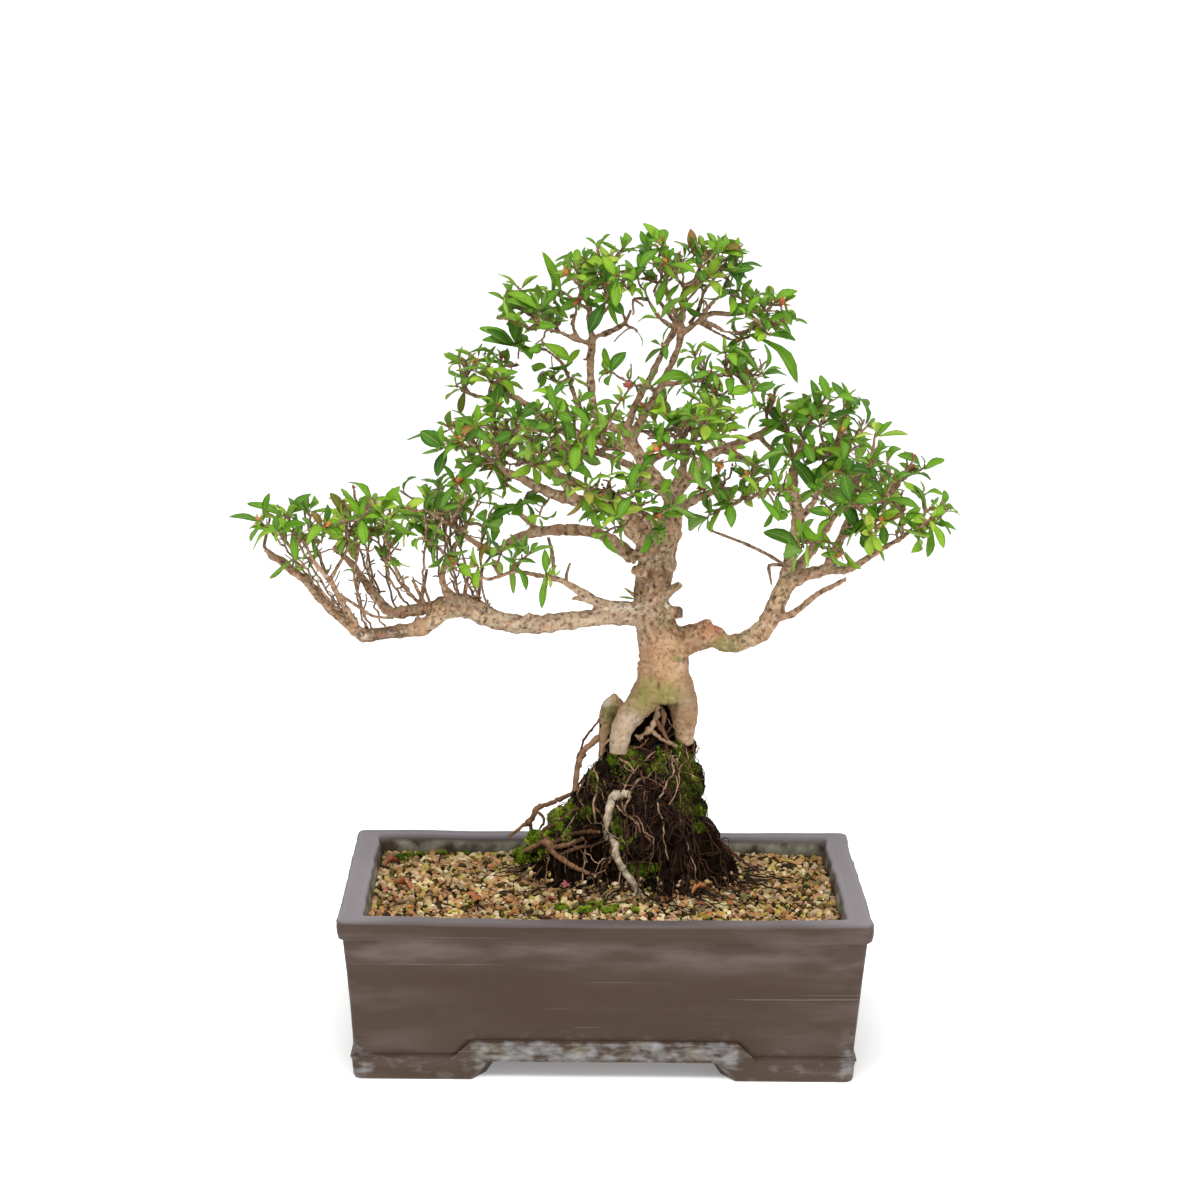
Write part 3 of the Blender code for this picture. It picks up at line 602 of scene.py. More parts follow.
def read(tree, name):
    return node(tree, "ShaderNodeAttribute", attribute_name=name).outputs["Fac"]


def new_finish(name, roughness=0.6, **sockets):
    """A material and its node tree, with plain values set on the shader."""
    made = bpy.data.materials.new(name)
    made.use_nodes = True
    shader = made.node_tree.nodes["Principled BSDF"]
    shader.inputs["Roughness"].default_value = roughness
    for key, value in sockets.items():
        shader.inputs[key.replace("_", " ")].default_value = value
    return made, made.node_tree, shader


def wire_up(tree, shader, colour, height=None, depth=0.0003, strength=1.0, roughness=None):
    tree.links.new(colour, shader.inputs["Base Color"])
    if roughness is not None:
        tree.links.new(roughness, shader.inputs["Roughness"])
    if height is not None:
        bump = node(tree, "ShaderNodeBump", {"Height": height, "Distance": depth, "Strength": strength})
        tree.links.new(bump.outputs[0], shader.inputs["Normal"])


def patched(tree, colour, spots):
    """Lays soft ragged patches over a colour.

    Each is (colour, reading, radius in mm, raggedness, flattening, strength).
    """
    for tint, reading, radius, ragged, flatten, strength in spots:
        mask = group(tree, "patch", centre=seen(*reading), radius=radius * MM, ragged=ragged, flatten=flatten)
        colour = tinted(tree, colour, tint, mask, strength)
    return colour


ROUND = (1, 1, 1)
WIDE = (0.45, 0.45, 1.4)

ALGAE = srgb(124, 128, 62)
RUST = srgb(184, 120, 78)
PALE_WOOD = srgb(206, 198, 180)
# Near black: painted shade in a hole in the trunk, and the dark end of a stub and a dark stretch on the low
# left limb
PAINTED_DARK = srgb(60, 50, 40)
# Mid-brown painted shade, laid in the folds, forks and crotch of the trunk and along the low left limb
PAINTED_SHADE = srgb(84, 62, 42)
# Ragged patches on the bark; the mid-brown ones are painted shade
BARK_PATCHES = (
    (srgb(124, 90, 62), (30, 0, 204), 46, 0.25, ROUND, 0.62),
    (srgb(176, 118, 88), (22, -8, 222), 9, 0.7, WIDE, 0.45),
    (srgb(206, 190, 168), (40, -8, 206), 6, 1.0, ROUND, 0.45),
    (srgb(204, 188, 170), (20, -8, 205), 4, 1.0, (1, 1, 0.5), 0.45),
    (srgb(196, 180, 168), (13, -10, 176), 7, 0.9, ROUND, 0.45),
    (srgb(152, 140, 108), (43, -6, 187), 8, 0.4, ROUND, 0.5),
    (PAINTED_SHADE, (38, -4, 181), 3, 0.4, (1.4, 1, 0.45), 0.6),
    (PAINTED_SHADE, (34.5, -5, 181), 4, 0.5, (1.3, 1, 0.5), 0.6),
    (srgb(206, 166, 122), (29, -8, 208), 17, 0.5, (1, 1, 0.8), 0.6),
    (ALGAE, (23.5, -8, 191.5), 7.6, 0.4, (0.9, 0.6, 0.8), 0.66),
    (ALGAE, (33.5, -8, 190), 6.6, 0.4, (0.9, 0.6, 0.75), 0.6),
    (ALGAE, (17, -8, 184), 7, 0.4, (0.9, 1, 0.9), 0.45),
    (PAINTED_SHADE, (28.4, -9, 194.6), 1.4, 0.3, (1.3, 0.3, 0.6), 0.8),
    (PAINTED_SHADE, (42, -6, 209), 3.4, 0.5, (0.55, 0.5, 2.6), 0.75),
    (ALGAE, (37, -6, 210.4), 2.6, 0.5, (0.7, 1, 1.4), 0.8),
    (ALGAE, (34, -7, 229), 4, 0.7, ROUND, 0.6),
    (RUST, (20, -8, 213), 6, 0.5, (1, 1, 0.7), 0.45),
    (RUST, (56, -4, 226), 8, 0.6, (0.8, 1, 1.3), 0.5),
    (srgb(160, 96, 80), (60, -4, 228), 4, 0.5, ROUND, 0.6),
    (ALGAE, (65, -4, 218), 8, 0.5, (0.8, 1, 1.3), 0.6),
    (PAINTED_DARK, (40.6, -8, 235.6), 4.6, 0.3, ROUND, 0.85),
    (PAINTED_DARK, (23.2, -6, 256.6), 2.2, 0.3, (1, 0.3, 1), 0.95),
    (PALE_WOOD, (32.4, -9, 239.4), 1.8, 0.3, (1, 0.3, 1), 0.8),
    (PALE_WOOD, (39.6, -7, 251.4), 1.5, 0.3, ROUND, 0.7),
    (srgb(70, 92, 40), (30, -8, 231), 3, 0.8, ROUND, 0.6),
    (PAINTED_DARK, (-120, -10, 222), 12, 0.75, (0.8, 1, 1.2), 0.75),
    (PAINTED_SHADE, (-80, -10, 240), 11, 0.8, (0.7, 1, 1.3), 0.5),
    (PAINTED_SHADE, (-60, -9, 226), 14, 0.7, (0.4, 1, 2.2), 0.5),
    (PAINTED_SHADE, (12, 0, 228), 13, 0.7, (0.5, 1, 1.8), 0.35),
    (PAINTED_SHADE, (30, 2, 180), 7, 0.6, (1, 1, 0.9), 0.7),
    (srgb(178, 164, 142), (8, -8, 159), 12, 0.4, (1, 1, 0.6), 0.6),
    (PALE_WOOD, (-131, -12, 221), 2.6, 0.3, ROUND, 0.9),
    (srgb(84, 96, 44), (1, 2, 180), 9, 0.6, ROUND, 0.75),
    (PALE_WOOD, (0, 4, 187), 4, 0.6, (1, 0.5, 1), 0.7),
    (srgb(222, 208, 190), (8, -6, 238), 8, 0.8, (0.5, 1, 2.4), 0.5),
    (srgb(218, 198, 172), (-25, -6, 229), 44, 0.7, (0.8, 1, 2), 0.42),
    (PAINTED_SHADE, (28, 0, 262), 12, 0.9, (1, 1, 0.7), 0.4),
)


# Heights between which the bark turns from smooth to rough
ROUGH_FROM_Z, ROUGH_TO_Z = 0.2, 0.232


def bark_finish(name, dark, middle, pale, patches=(), scale=1.0, young=None):
    """Thin smooth bark: broad tone changes, pits, pale scurf and rings across, with ragged patches, some of
    them painted shade.
    """
    made, tree, shader = new_finish(name, 0.75, Specular_IOR_Level=0.16)
    broad = mottle(tree, scale=70.0 * scale, detail=6.0, low=0.36, high=0.66)
    fine = mottle(tree, scale=420.0 * scale, detail=5.0, low=0.4, high=0.66)
    streak = mottle(tree, scale=160.0 * scale, stretch=(1, 1, 0.35), detail=4.0, low=0.45, high=0.7)
    colour = blend(tree, broad, middle, pale)
    colour = tinted(tree, colour, dark, streak, 0.45)
    colour = tinted(tree, colour, dark, fine, 0.5)
    if young is not None:
        colour = blend(tree, read(tree, "age"), young, colour)
    colour = patched(tree, colour, patches)
    where = node(tree, "ShaderNodeTexCoord").outputs["Object"]
    up = node(tree, "ShaderNodeSeparateXYZ", {0: where}).outputs["Z"]
    rough = remap(tree, up, ROUGH_FROM_Z, ROUGH_TO_Z, 0.3, 1.0)
    flesh = mottle(tree, scale=190.0 * scale, detail=6.0, low=0.52, high=0.62)
    colour = tinted(tree, colour, srgb(178, 124, 98), times(tree, flesh, rough), 0.45)
    dark_speck = mottle(tree, scale=380.0 * scale, detail=10.0, low=0.53, high=0.63)
    speck = times(tree, dark_speck, rough)
    colour = tinted(tree, colour, srgb(84, 60, 42), speck, 0.66)
    holes = node(tree, "ShaderNodeTexVoronoi", {"Vector": where, "Scale": 230.0 * scale, "Randomness": 1.0})
    few = mottle(tree, scale=130.0 * scale, detail=3.0, low=0.42, high=0.54)
    hole = times(tree, times(tree, remap(tree, holes.outputs["Distance"], 0.3, 0.2), few), rough)
    colour = tinted(tree, colour, srgb(62, 44, 30), hole, 0.75)
    pits = node(tree, "ShaderNodeTexVoronoi", {"Vector": where, "Scale": 460.0 * scale})
    pit = remap(tree, pits.outputs["Distance"], 0.12, 0.3)
    colour = tinted(tree, colour, dark, maths(tree, "SUBTRACT", 1.0, pit), 0.2)
    scurf = mottle(tree, scale=360.0 * scale, detail=9.0, low=0.54, high=0.68)
    colour = tinted(tree, colour, srgb(218, 196, 172), times(tree, scurf, rough), 0.5)
    height = maths(tree, "ADD", times(tree, fine, 0.5), times(tree, pit, 0.35))
    height = maths(tree, "SUBTRACT", height, maths(tree, "ADD", times(tree, speck, 0.6), hole))
    wire_up(tree, shader, colour, height, 0.0008, 0.9)
    return made


# The turn, over a leaf's length, of the wave that draws its side veins
VEIN_TURN = 62.0


def leaf_finish(settings):
    """Leaves: tone runs from deep to yellow green, age turns them brown, with pale midribs and undersides."""
    made, tree, shader = new_finish("azalea leaf", 0.42, Specular_IOR_Level=0.2)
    shape = node(tree, "ShaderNodeUVMap", uv_map="leaf").outputs[0]
    axes = node(tree, "ShaderNodeSeparateXYZ", {0: shape})
    along = axes.outputs["X"]
    side = maths(tree, "ABSOLUTE", maths(tree, "SUBTRACT", axes.outputs["Y"], 0.5))
    green = ramp(tree, read(tree, "tone"), (
        (0.0, settings.old_leaf), (0.3, srgb(78, 130, 30)), (0.55, srgb(116, 168, 32)),
        (0.8, srgb(162, 204, 48)),
        (1.0, settings.young_leaf),
    ))
    cloud = mottle(tree, scale=120.0, detail=3.0, low=0.3, high=0.7)
    green = tinted(tree, green, srgb(74, 124, 34), cloud, 0.3)
    old = ramp(tree, cloud, (
        (0.0, srgb(150, 74, 40)), (0.5, srgb(176, 100, 60)), (1.0, srgb(120, 92, 92)),
    ))
    colour = blend(tree, read(tree, "age"), green, old)
    rib = remap(tree, side, 0.05, 0.015)
    slant = maths(tree, "SUBTRACT", along, times(tree, side, 0.55))
    wave = maths(tree, "SINE", times(tree, slant, VEIN_TURN))
    veins = remap(tree, wave, 0.72, 1.0)
    pale = blend(tree, 0.5, colour, srgb(214, 228, 146))
    colour = tinted(tree, colour, pale, rib, 0.75)
    colour = tinted(tree, colour, pale, veins, 0.22)
    under = read(tree, "under")
    colour = tinted(tree, colour, srgb(156, 190, 92), under, 0.5)
    height = maths(tree, "ADD", times(tree, veins, -0.5), times(tree, rib, -1.0))
    rough = remap(tree, under, 0.0, 1.0, 0.4, 0.62)
    wire_up(tree, shader, colour, height, 0.00025, 0.7, rough)
    through = node(tree, "ShaderNodeBsdfTranslucent", {
        "Color": blend(tree, 0.55, colour, srgb(190, 226, 62))
    })
    both = node(tree, "ShaderNodeMixShader", {0: 0.3, 1: shader.outputs[0], 2: through.outputs[0]})
    tree.links.new(both.outputs[0], tree.nodes["Material Output"].inputs["Surface"])
    return made


def bud_finish():
    made, tree, shader = new_finish("bud scales", 0.55)
    colour = ramp(tree, read(tree, "tone"), (
        (0.0, srgb(96, 62, 40)), (0.35, srgb(150, 84, 48)), (0.6, srgb(196, 96, 52)),
        (0.8, srgb(206, 150, 70)),
        (1.0, srgb(196, 84, 84)),
    ))
    spots = mottle(tree, scale=600.0, low=0.4, high=0.6)
    wire_up(tree, shader, tinted(tree, colour, srgb(92, 54, 34), spots, 0.35), spots, 0.0001)
    return made


def pot_finish(settings):
    """Brown clay with a satin skin: a grey film near the lip and ends, scratches, and lime on the base."""
    made, tree, shader = new_finish("pot clay", 0.5, Specular_IOR_Level=0.14)
    cloud = mottle(tree, scale=16.0, stretch=(0.6, 0.6, 1.6), detail=5.0, low=0.3, high=0.72)
    streak = mottle(tree, scale=30.0, stretch=(0.6, 0.6, 2.6), detail=12.0, low=0.42, high=0.7)
    grit = mottle(tree, scale=1400.0, detail=3.0, low=0.4, high=0.7)
    colour = tinted(tree, settings.clay, srgb(62, 50, 41), cloud, 0.5)
    colour = tinted(tree, colour, srgb(98, 85, 78), streak, 0.12)
    film = times(tree, read(tree, "film"), remap(tree, streak, 0.1, 0.9, 0.12, 0.75))
    colour = blend(tree, film, colour, srgb(100, 89, 85))
    scratch = mottle(tree, scale=44.0, stretch=(0.16, 0.16, 22.0), detail=3.0, low=0.7, high=0.74)
    colour = tinted(tree, colour, srgb(150, 142, 136), scratch, 0.35)
    worn = tinted(tree, settings.rim, srgb(114, 107, 111), cloud, 0.5)
    colour = tinted(tree, colour, worn, read(tree, "rim"), 0.85)
    crust = mottle(tree, scale=240.0, stretch=(0.5, 0.5, 1.0), detail=12.0, low=0.0, high=1.0)
    lime = remap(tree, maths(tree, "ADD", crust, times(tree, read(tree, "lime"), 0.22)), 0.56, 0.94)
    lime = times(tree, lime, maths(tree, "MINIMUM", times(tree, read(tree, "lime"), 2.0), 1.0))
    yellow = mottle(tree, scale=90.0, detail=6.0, low=0.52, high=0.72)
    colour = tinted(tree, colour, blend(tree, yellow, settings.lime, srgb(150, 144, 108)), lime, 0.75)
    crusty = mottle(tree, scale=60.0, detail=9.0, low=0.42, high=0.58)
    inside = times(tree, read(tree, "inside"), crusty)
    colour = tinted(tree, colour, srgb(168, 166, 148), inside, 0.75)
    colour = tinted(tree, colour, srgb(52, 50, 30), read(tree, "damp"), 0.7)
    height = maths(tree, "ADD", times(tree, streak, 0.35), times(tree, grit, 0.1))
    height = maths(tree, "ADD", height, times(tree, lime, 0.8))
    rough = remap(tree, maths(tree, "ADD", lime, inside), 0.0, 1.0, 0.47, 0.85)
    wire_up(tree, shader, colour, height, 0.0003, 0.5, rough)
    return made


def grain_finish(name, dust):
    """Fired-clay grains, each with its own tone."""
    made, tree, shader = new_finish(name, 0.9, Specular_IOR_Level=0.12)
    made_of = ramp(tree, read(tree, "tone"), (
        (0.0, srgb(24, 24, 14)), (0.12, srgb(52, 42, 26)), (0.2, srgb(150, 104, 66)),
        (0.32, srgb(214, 164, 118)), (0.44, srgb(186, 136, 84)), (0.56, srgb(240, 216, 170)),
        (0.68, srgb(190, 170, 70)), (0.78, srgb(246, 230, 192)), (0.88, srgb(168, 112, 78)),
        (0.94, srgb(214, 176, 150)), (1.0, srgb(104, 108, 70)),
    ))
    grit = mottle(tree, scale=900.0, detail=4.0, low=0.35, high=0.68)
    colour = tinted(tree, made_of, srgb(96, 64, 38), grit, 0.34)
    colour = blend(tree, dust, colour, srgb(120, 98, 72))
    stain = mottle(tree, scale=320.0, detail=4.0, low=0.52, high=0.64)
    colour = tinted(tree, colour, srgb(150, 144, 40), stain, 0.4)
    moist = mottle(tree, scale=42.0, detail=5.0, low=0.48, high=0.66)
    colour = tinted(tree, colour, srgb(66, 54, 28), moist, 0.42)
    wire_up(tree, shader, colour, grit, 0.0003, 0.7)
    return made


def earth_finish(name, dark, light, moss=None):
    """Dark crumbly earth, green where the piece is marked as mossy."""
    made, tree, shader = new_finish(name, 0.95, Specular_IOR_Level=0.01)
    clods = mottle(tree, scale=260.0, detail=8.0, low=0.35, high=0.75)
    colour = blend(tree, clods, dark, light)
    if moss is not None:
        tips = mottle(tree, scale=900.0, detail=4.0, low=0.35, high=0.65)
        patches = mottle(tree, scale=90.0, detail=4.0, low=0.35, high=0.65)
        green = blend(tree, tips, srgb(34, 44, 10), blend(tree, patches, srgb(74, 96, 20), moss))
        colour = blend(tree, read(tree, "mossy"), colour, green)
    wire_up(tree, shader, colour, clods, 0.0008, 0.9)
    return made


def root_finish(name, stops):
    made, tree, shader = new_finish(name, 0.78, Specular_IOR_Level=0.14)
    streak = mottle(tree, scale=420.0, stretch=(1, 1, 0.5), detail=7.0, low=0.42, high=0.62)
    colour = ramp(tree, read(tree, "age"), stops)
    wire_up(tree, shader, tinted(tree, colour, srgb(48, 34, 24), streak, 0.55), streak, 0.0004)
    return made


def moss_finish(bright):
    made, tree, shader = new_finish("moss", 0.85, Specular_IOR_Level=0.08)
    green = ramp(tree, read(tree, "tone"), (
        (0.0, srgb(40, 54, 12)), (0.35, srgb(84, 112, 20)), (0.65, bright), (1.0, srgb(176, 196, 60)),
    ))
    cloud = mottle(tree, scale=140.0, detail=5.0, low=0.4, high=0.6)
    wire_up(tree, shader, tinted(tree, green, srgb(74, 84, 24), cloud, 0.45), cloud, 0.0006)
    return made


def litter_finish():
    made, tree, shader = new_finish("dry leaf", 0.6)
    colour = ramp(tree, read(tree, "tone"), (
        (0.0, srgb(70, 40, 30)), (0.3, srgb(132, 70, 36)), (0.6, srgb(178, 100, 46)),
        (0.85, srgb(196, 138, 84)),
        (1.0, srgb(176, 82, 90)),
    ))
    spots = mottle(tree, scale=400.0, detail=6.0, low=0.45, high=0.62)
    wire_up(tree, shader, tinted(tree, colour, srgb(84, 52, 38), spots, 0.4), spots, 0.0002)
    return made


def plastic_finish():
    made, tree, shader = new_finish("screen plastic", 0.55)
    dust = mottle(tree, scale=300.0, detail=6.0, low=0.45, high=0.62)
    wire_up(tree, shader, tinted(tree, srgb(30, 30, 30), srgb(98, 84, 66), dust, 0.4), dust, 0.0001)
    return made


def wire_finish():
    made, tree, shader = new_finish("clip wire", 0.4, Metallic=1.0)
    dull = mottle(tree, scale=500.0, detail=6.0, low=0.4, high=0.62)
    rough = remap(tree, dull, 0.0, 1.0, 0.3, 0.6)
    wire_up(
        tree, shader, blend(tree, dull, srgb(196, 198, 200), srgb(150, 150, 146)), dull, 0.00005, 0.5, rough,
    )
    return made


# Wood, as readings with a radius: (x, depth, z, radius). The first route of each carries the others.
WOOD = {
    "trunk": (
        (
            (30.4, 5, 188, 14), (31, 5, 200, 14), (31, 5, 210, 13.8), (29.4, 5, 220, 12.4),
            (26, 4, 230, 10.6), (23.6, 4, 240, 9.6), (24.4, 4, 250, 10), (25.2, 4, 258, 9.9),
            (26.4, 4, 264, 9.6), (28.6, 4, 270, 8.6), (32.4, 4, 280, 7.1), (34.4, 4, 290, 5.7),
            (34, 4, 299, 4.6), (28, 4, 305, 4.1), (20, 3, 315, 3.7), (14, 3, 325, 3.2), (8, 3, 334, 2.8),
        ),
        (
            (27, 2, 196, 10), (20.6, 0, 187.6, 8.5), (14, -3, 179.8, 7.2), (9.8, -5, 172.5, 6.4),
            (7.8, -6, 165, 5.6), (7.2, -6, 159.6, 5.1), (7, -6, 156.8, 4.7),
        ),
        (
            (37, 5, 196, 10.2), (41.2, 4, 187, 8.3), (42.4, 4, 179, 7.3), (43, 4.5, 171, 5.8),
            (43.2, 6, 165, 5), (43, 8, 159, 4), (42, 11, 151, 3),
        ),
        ((8, 9, 187, 5.2), (2, 9, 181, 5.2), (0, 9, 173, 3.6), (-1, 8, 161, 2.6), (0, 8, 148, 2.2)),
        ((26, -1, 236, 6), (35, -5, 235.6, 3.8), (40, -7, 235.4, 3.4)),
        ((27, -3, 243, 4.4), (34, -5, 247.4, 2.7), (39.4, -6, 251, 2.4)),
        ((22, -2, 257, 6), (16, -4, 258, 2.8), (13, -4, 258.8, 2.1)),
        ((28, -2, 239, 4), (32.2, -8, 239.4, 2.4)),
        ((19, 0, 268, 5), (14.4, -3, 266, 2.4), (13.4, -4, 262.6, 1.5)),
        ((30, 4, 262, 6), (37, 2, 261, 2.6)),
        ((37, 4, 206, 6), (41.4, 4, 199, 4.4)),
        ((30, -4, 215, 8), (28, -8, 208, 4.5), (28, -8, 200, 3)),
        ((29, -3, 226, 6), (33, -7, 221, 3.6), (38, -7, 216, 3)),
        ((24, -2, 246, 5), (22, -6.5, 250, 2.4), (24, -7, 254, 1.6)),
    ),
    "limb_left_low": (
        (
            (19, 2, 234, 5.4), (9, 1, 233.4, 4.9), (0, 0, 233, 4.5), (-20, -3, 230.5, 4.7),
            (-33, -5, 228.6, 4.9), (-45, -7, 228, 5), (-56, -8, 229.5, 4.8), (-64, -9, 232, 5),
            (-73, -10, 237, 5.9), (-81, -10, 238, 6.4), (-88, -10, 236.6, 5.8), (-92.5, -10, 231, 4.6),
            (-100, -10, 226, 4.2), (-109, -10, 224, 3.8), (-117, -9, 223, 3.5), (-126, -8, 221.6, 3.2),
            (-131, -8, 221.4, 3.5), (-136, -8, 224.5, 3), (-141, -7, 229, 2.8), (-148, -6, 235, 2.6),
            (-155, -5, 242, 2.5), (-162, -5, 251, 2.3), (-169, -4, 256, 2.2), (-175, -4, 261.5, 2.1),
            (-180, -4, 264, 1.8), (-184, -4, 268.5, 1.2),
        ),
        (
            (-86, -9, 238.4, 4), (-98, -4, 236.5, 3.2), (-112, 4, 234, 3), (-117.5, 7, 234.5, 2.8),
            (-122.5, 9, 240, 2.5), (-128, 11, 247, 2.2), (-133, 13, 254.5, 2), (-138, 14, 261, 1.8),
            (-148, 16, 270, 1.4),
        ),
        (
            (-134, -8, 224, 2.4), (-143, -14, 240, 1.7), (-148, -18, 249.5, 1.4), (-157, -21, 260, 1.2),
            (-162, -22, 270, 1),
        ),
        (
            (-82, -10, 240, 3.4), (-87, -14, 247, 2), (-89, -17, 255, 1.6), (-84, -20, 265, 1.3),
            (-80, -22, 275, 1.1),
        ),
        ((-131, -8, 221.4, 3), (-133.5, -9, 218.6, 2.6)),
        ((-45, -7, 229, 3), (-41, -9, 234, 1.5)),
        ((-100, -10, 227, 2.5), (-103, -13, 232, 1.4)),
    ),
    "limb_left_stub": (
        (
            (17, 1, 237, 4), (8, -3, 238, 3.4), (0, -6, 238.5, 3.2), (-8, -9, 242, 2.9), (-14, -12, 246, 2.4),
            (-22, -15, 251, 1.8), (-30, -18, 254, 1.5), (-40, -20, 255.5, 1.3), (-50, -22, 257, 1.2),
            (-63, -24, 253, 1.1), (-72, -25, 255, 1.1), (-81, -26, 257, 1),
        ),
        ((-8, -9, 242, 2), (-16, -10, 242.6, 1.3), (-19, -10, 243, 1)),
        ((-2, -6, 238, 2), (-8, -7, 235.6, 1.2)),
    ),
    "limb_left_back": (
        (
            (14, 8, 265, 4), (4, 13, 273, 3.2), (-6, 18, 278.6, 3), (-22, 26, 280, 3), (-37, 34, 279, 2.8),
            (-50, 40, 275, 2.4), (-58, 44, 269, 2), (-67, 47, 270, 1.7), (-84, 52, 282, 1.3),
        ),
        ((-37, 34, 279, 2), (-44, 38, 286, 1.5), (-56, 44, 294, 1.1)),
    ),
    "limb_left_mid": (
        (
            (26, 4, 267, 4.6), (15, 0, 278, 4), (10, -2, 284, 3.7), (6, -4, 289, 3.6), (-2, -7, 294, 3.5),
            (-8, -9, 296, 3.3), (-16.5, -11, 296, 3.2), (-28, -13, 299, 2.9), (-37, -15, 303, 2.6),
            (-47, -16, 308, 2.2), (-56, -17, 312, 1.8), (-60, -17, 318, 1.3),
        ),
        ((-16, -11, 296.5, 2), (-24, -16, 305, 1.6), (-30, -20, 316, 1.1)),
    ),
    "limb_left_upper": (
        (
            (14, 3, 325, 2.8), (4, 4, 326.4, 2.6), (-8, 5, 329, 2.4), (-18, 7, 332, 2.3),
            (-28.5, 9, 335.5, 2.2), (-37, 10, 342, 2), (-45.5, 12, 348.5, 1.8), (-54, 13, 352.5, 1.5),
            (-64, 14, 351, 1.3), (-72, 14, 352.4, 1.1), (-80, 14, 355, 0.9),
        ),
        ((-37, 10, 342, 1.8), (-42, 6, 335, 1.5), (-52, 2, 333, 1.1)),
    ),
    "leader_left": (
        (
            (9, 3, 333, 2.4), (0, 2, 337, 2.2), (-7, 2, 343, 2.2), (-9, 2, 350, 2.1), (-10, 3, 361, 2.1),
            (-10.4, 4, 371, 2), (-9.5, 4, 380, 1.9), (-11, 4, 391, 1.6), (-11, 4, 401, 1.4), (-13, 4, 410, 1),
        ),
        ((-9.5, 4, 380, 1.6), (-18.5, 3, 383, 1.3), (-27.5, 2, 386.5, 1.1), (-38, 1, 389, 0.8)),
        (
            (-7, 2, 342, 1.5), (-15, 8, 343, 1.4), (-20, 12, 356.5, 1.3), (-25.5, 15, 370, 1.1),
            (-34, 18, 377, 0.9),
        ),
        ((-9.5, 4, 383, 1.5), (0, 2, 388, 1)),
        ((-3.6, 4, 384.6, 1.6), (2, 2, 388, 1.4), (8, 0, 392, 1.2), (11, -1, 399, 1)),
        ((-17, 3, 383, 1.3), (-20, 0, 391, 1.1), (-18, -3, 399, 1), (-22, -5, 406, 0.9)),
        ((-10, 4, 392, 1.5), (-3, 0, 398, 1.1), (2, -3, 404, 1)),
        ((-10.4, 4, 398, 1.4), (-17, 5, 402, 1.1), (-24, 6, 407, 0.9)),
    ),
    "leader_right": (
        (
            (13, 3, 331, 2.4), (18, 3, 341, 2.1), (26, 1, 356, 1.9), (32.5, -1, 369.5, 1.8),
            (37, -2, 382, 1.8), (36, -2, 392, 1.5), (31, -3, 405, 1.3), (27, -3, 415, 1),
        ),
        (
            (9, 5, 335, 1.9), (14.5, 9, 349.5, 1.8), (22.5, 12, 364, 1.8), (29, 13, 379, 1.6),
            (34, 13, 389, 1.4), (40, 12, 402, 1),
        ),
        (
            (37, -2, 385, 1.6), (44, -2, 391, 1.4), (53, -2, 397, 1.4), (66, 0, 397, 1.2), (76, 1, 398.5, 1),
            (88, 2, 399, 0.8),
        ),
        ((47, -2, 392, 1.1), (56.5, -4, 387, 1), (65, -6, 383, 0.8)),
        ((28, 1, 359, 1.6), (36, -3, 360, 1.4), (48, -7, 362, 1.1), (62, -10, 366, 0.9)),
        ((37, -2, 388, 1.6), (31, -4, 391, 1.4), (25, -5, 396, 1.1), (20, -5, 404, 1)),
        ((37, -2, 390, 1.6), (38.6, -5, 397, 1.3), (37, -8, 404, 1.1), (40, -10, 412, 1)),
        ((42, 4, 391, 1.5), (47, 3, 400, 1.2), (49, 2, 408, 1.1), (55, 1, 416, 0.9)),
        ((46, -2, 392, 1.4), (53, -7, 402, 1.1), (60, -9, 408, 0.9)),
        ((48, -2, 393, 1.3), (55, -6, 391, 1.2), (60, -8, 388, 1), (66, -9, 387, 0.9)),
        ((35, 13, 391, 1.5), (29, 15, 399, 1.2), (23, 17, 408, 1)),
    ),
    "limb_right_mid": (
        (
            (33, 5, 297, 3.6), (38, 7, 303, 3.1), (43, 9, 309, 2.8), (49, 11, 315.6, 2.6),
            (54.6, 13, 322, 2.5), (66.8, 16, 327, 2.2), (80.5, 20, 333, 1.8), (90, 22, 341, 1.5),
            (96, 24, 347, 1.2),
        ),
        ((60, 14, 324, 1.9), (66.8, 8, 322, 1.8), (79, -4, 316, 1.6), (84, -8, 311.5, 1.2)),
        ((80, 20, 332, 1.6), (88, 14, 324.5, 1.4), (100, 8, 321, 1.2), (116, 4, 322.5, 1)),
    ),
    "limb_right_low": (
        (
            (34, 4, 219, 9), (42, 3, 220.6, 7.8), (48, 2, 221.5, 6.9), (54, 1, 223, 6.6), (58, 0, 223, 6),
            (62, -1, 220, 5), (66, -2, 218.5, 4.7), (73, -3, 220, 4.8), (81, -4, 223.5, 5), (86, -5, 229, 5),
            (89.6, -5, 236, 5), (94.5, -5, 248, 4.8), (99, -5, 256, 4.6),
        ),
        (
            (96, -5, 252, 3.8), (98, -2, 264, 3.7), (99.5, 0, 272.5, 3.6), (102, 6, 288, 3.5),
            (98.5, 10, 303.5, 3.2), (100, 12, 318, 2.2), (104, 14, 331, 1.3),
        ),
        (
            (97, -5, 252, 3.8), (107, -10, 257, 3.4), (118, -14, 260.5, 2.8), (123, -17, 272, 2.4),
            (127, -19, 281, 2.2), (130, -20, 290, 2), (132, -21, 303, 1.5), (134, -22, 309, 1.1),
        ),
        (
            (116, -13, 259, 2.2), (129, -22, 260, 2), (136, -25, 263.5, 1.8), (146, -28, 270.5, 1.6),
            (158, -30, 277.5, 1.3), (164, -30, 283, 1),
        ),
        ((97, -5, 254, 3.2), (108, 16, 268, 2.6), (118, 36, 284, 2.2), (128, 52, 300, 1.4)),
        (
            (88, -5, 233, 3), (96, -10, 234, 2), (102, -12, 236.4, 1.8), (112, -16, 245.5, 1.6),
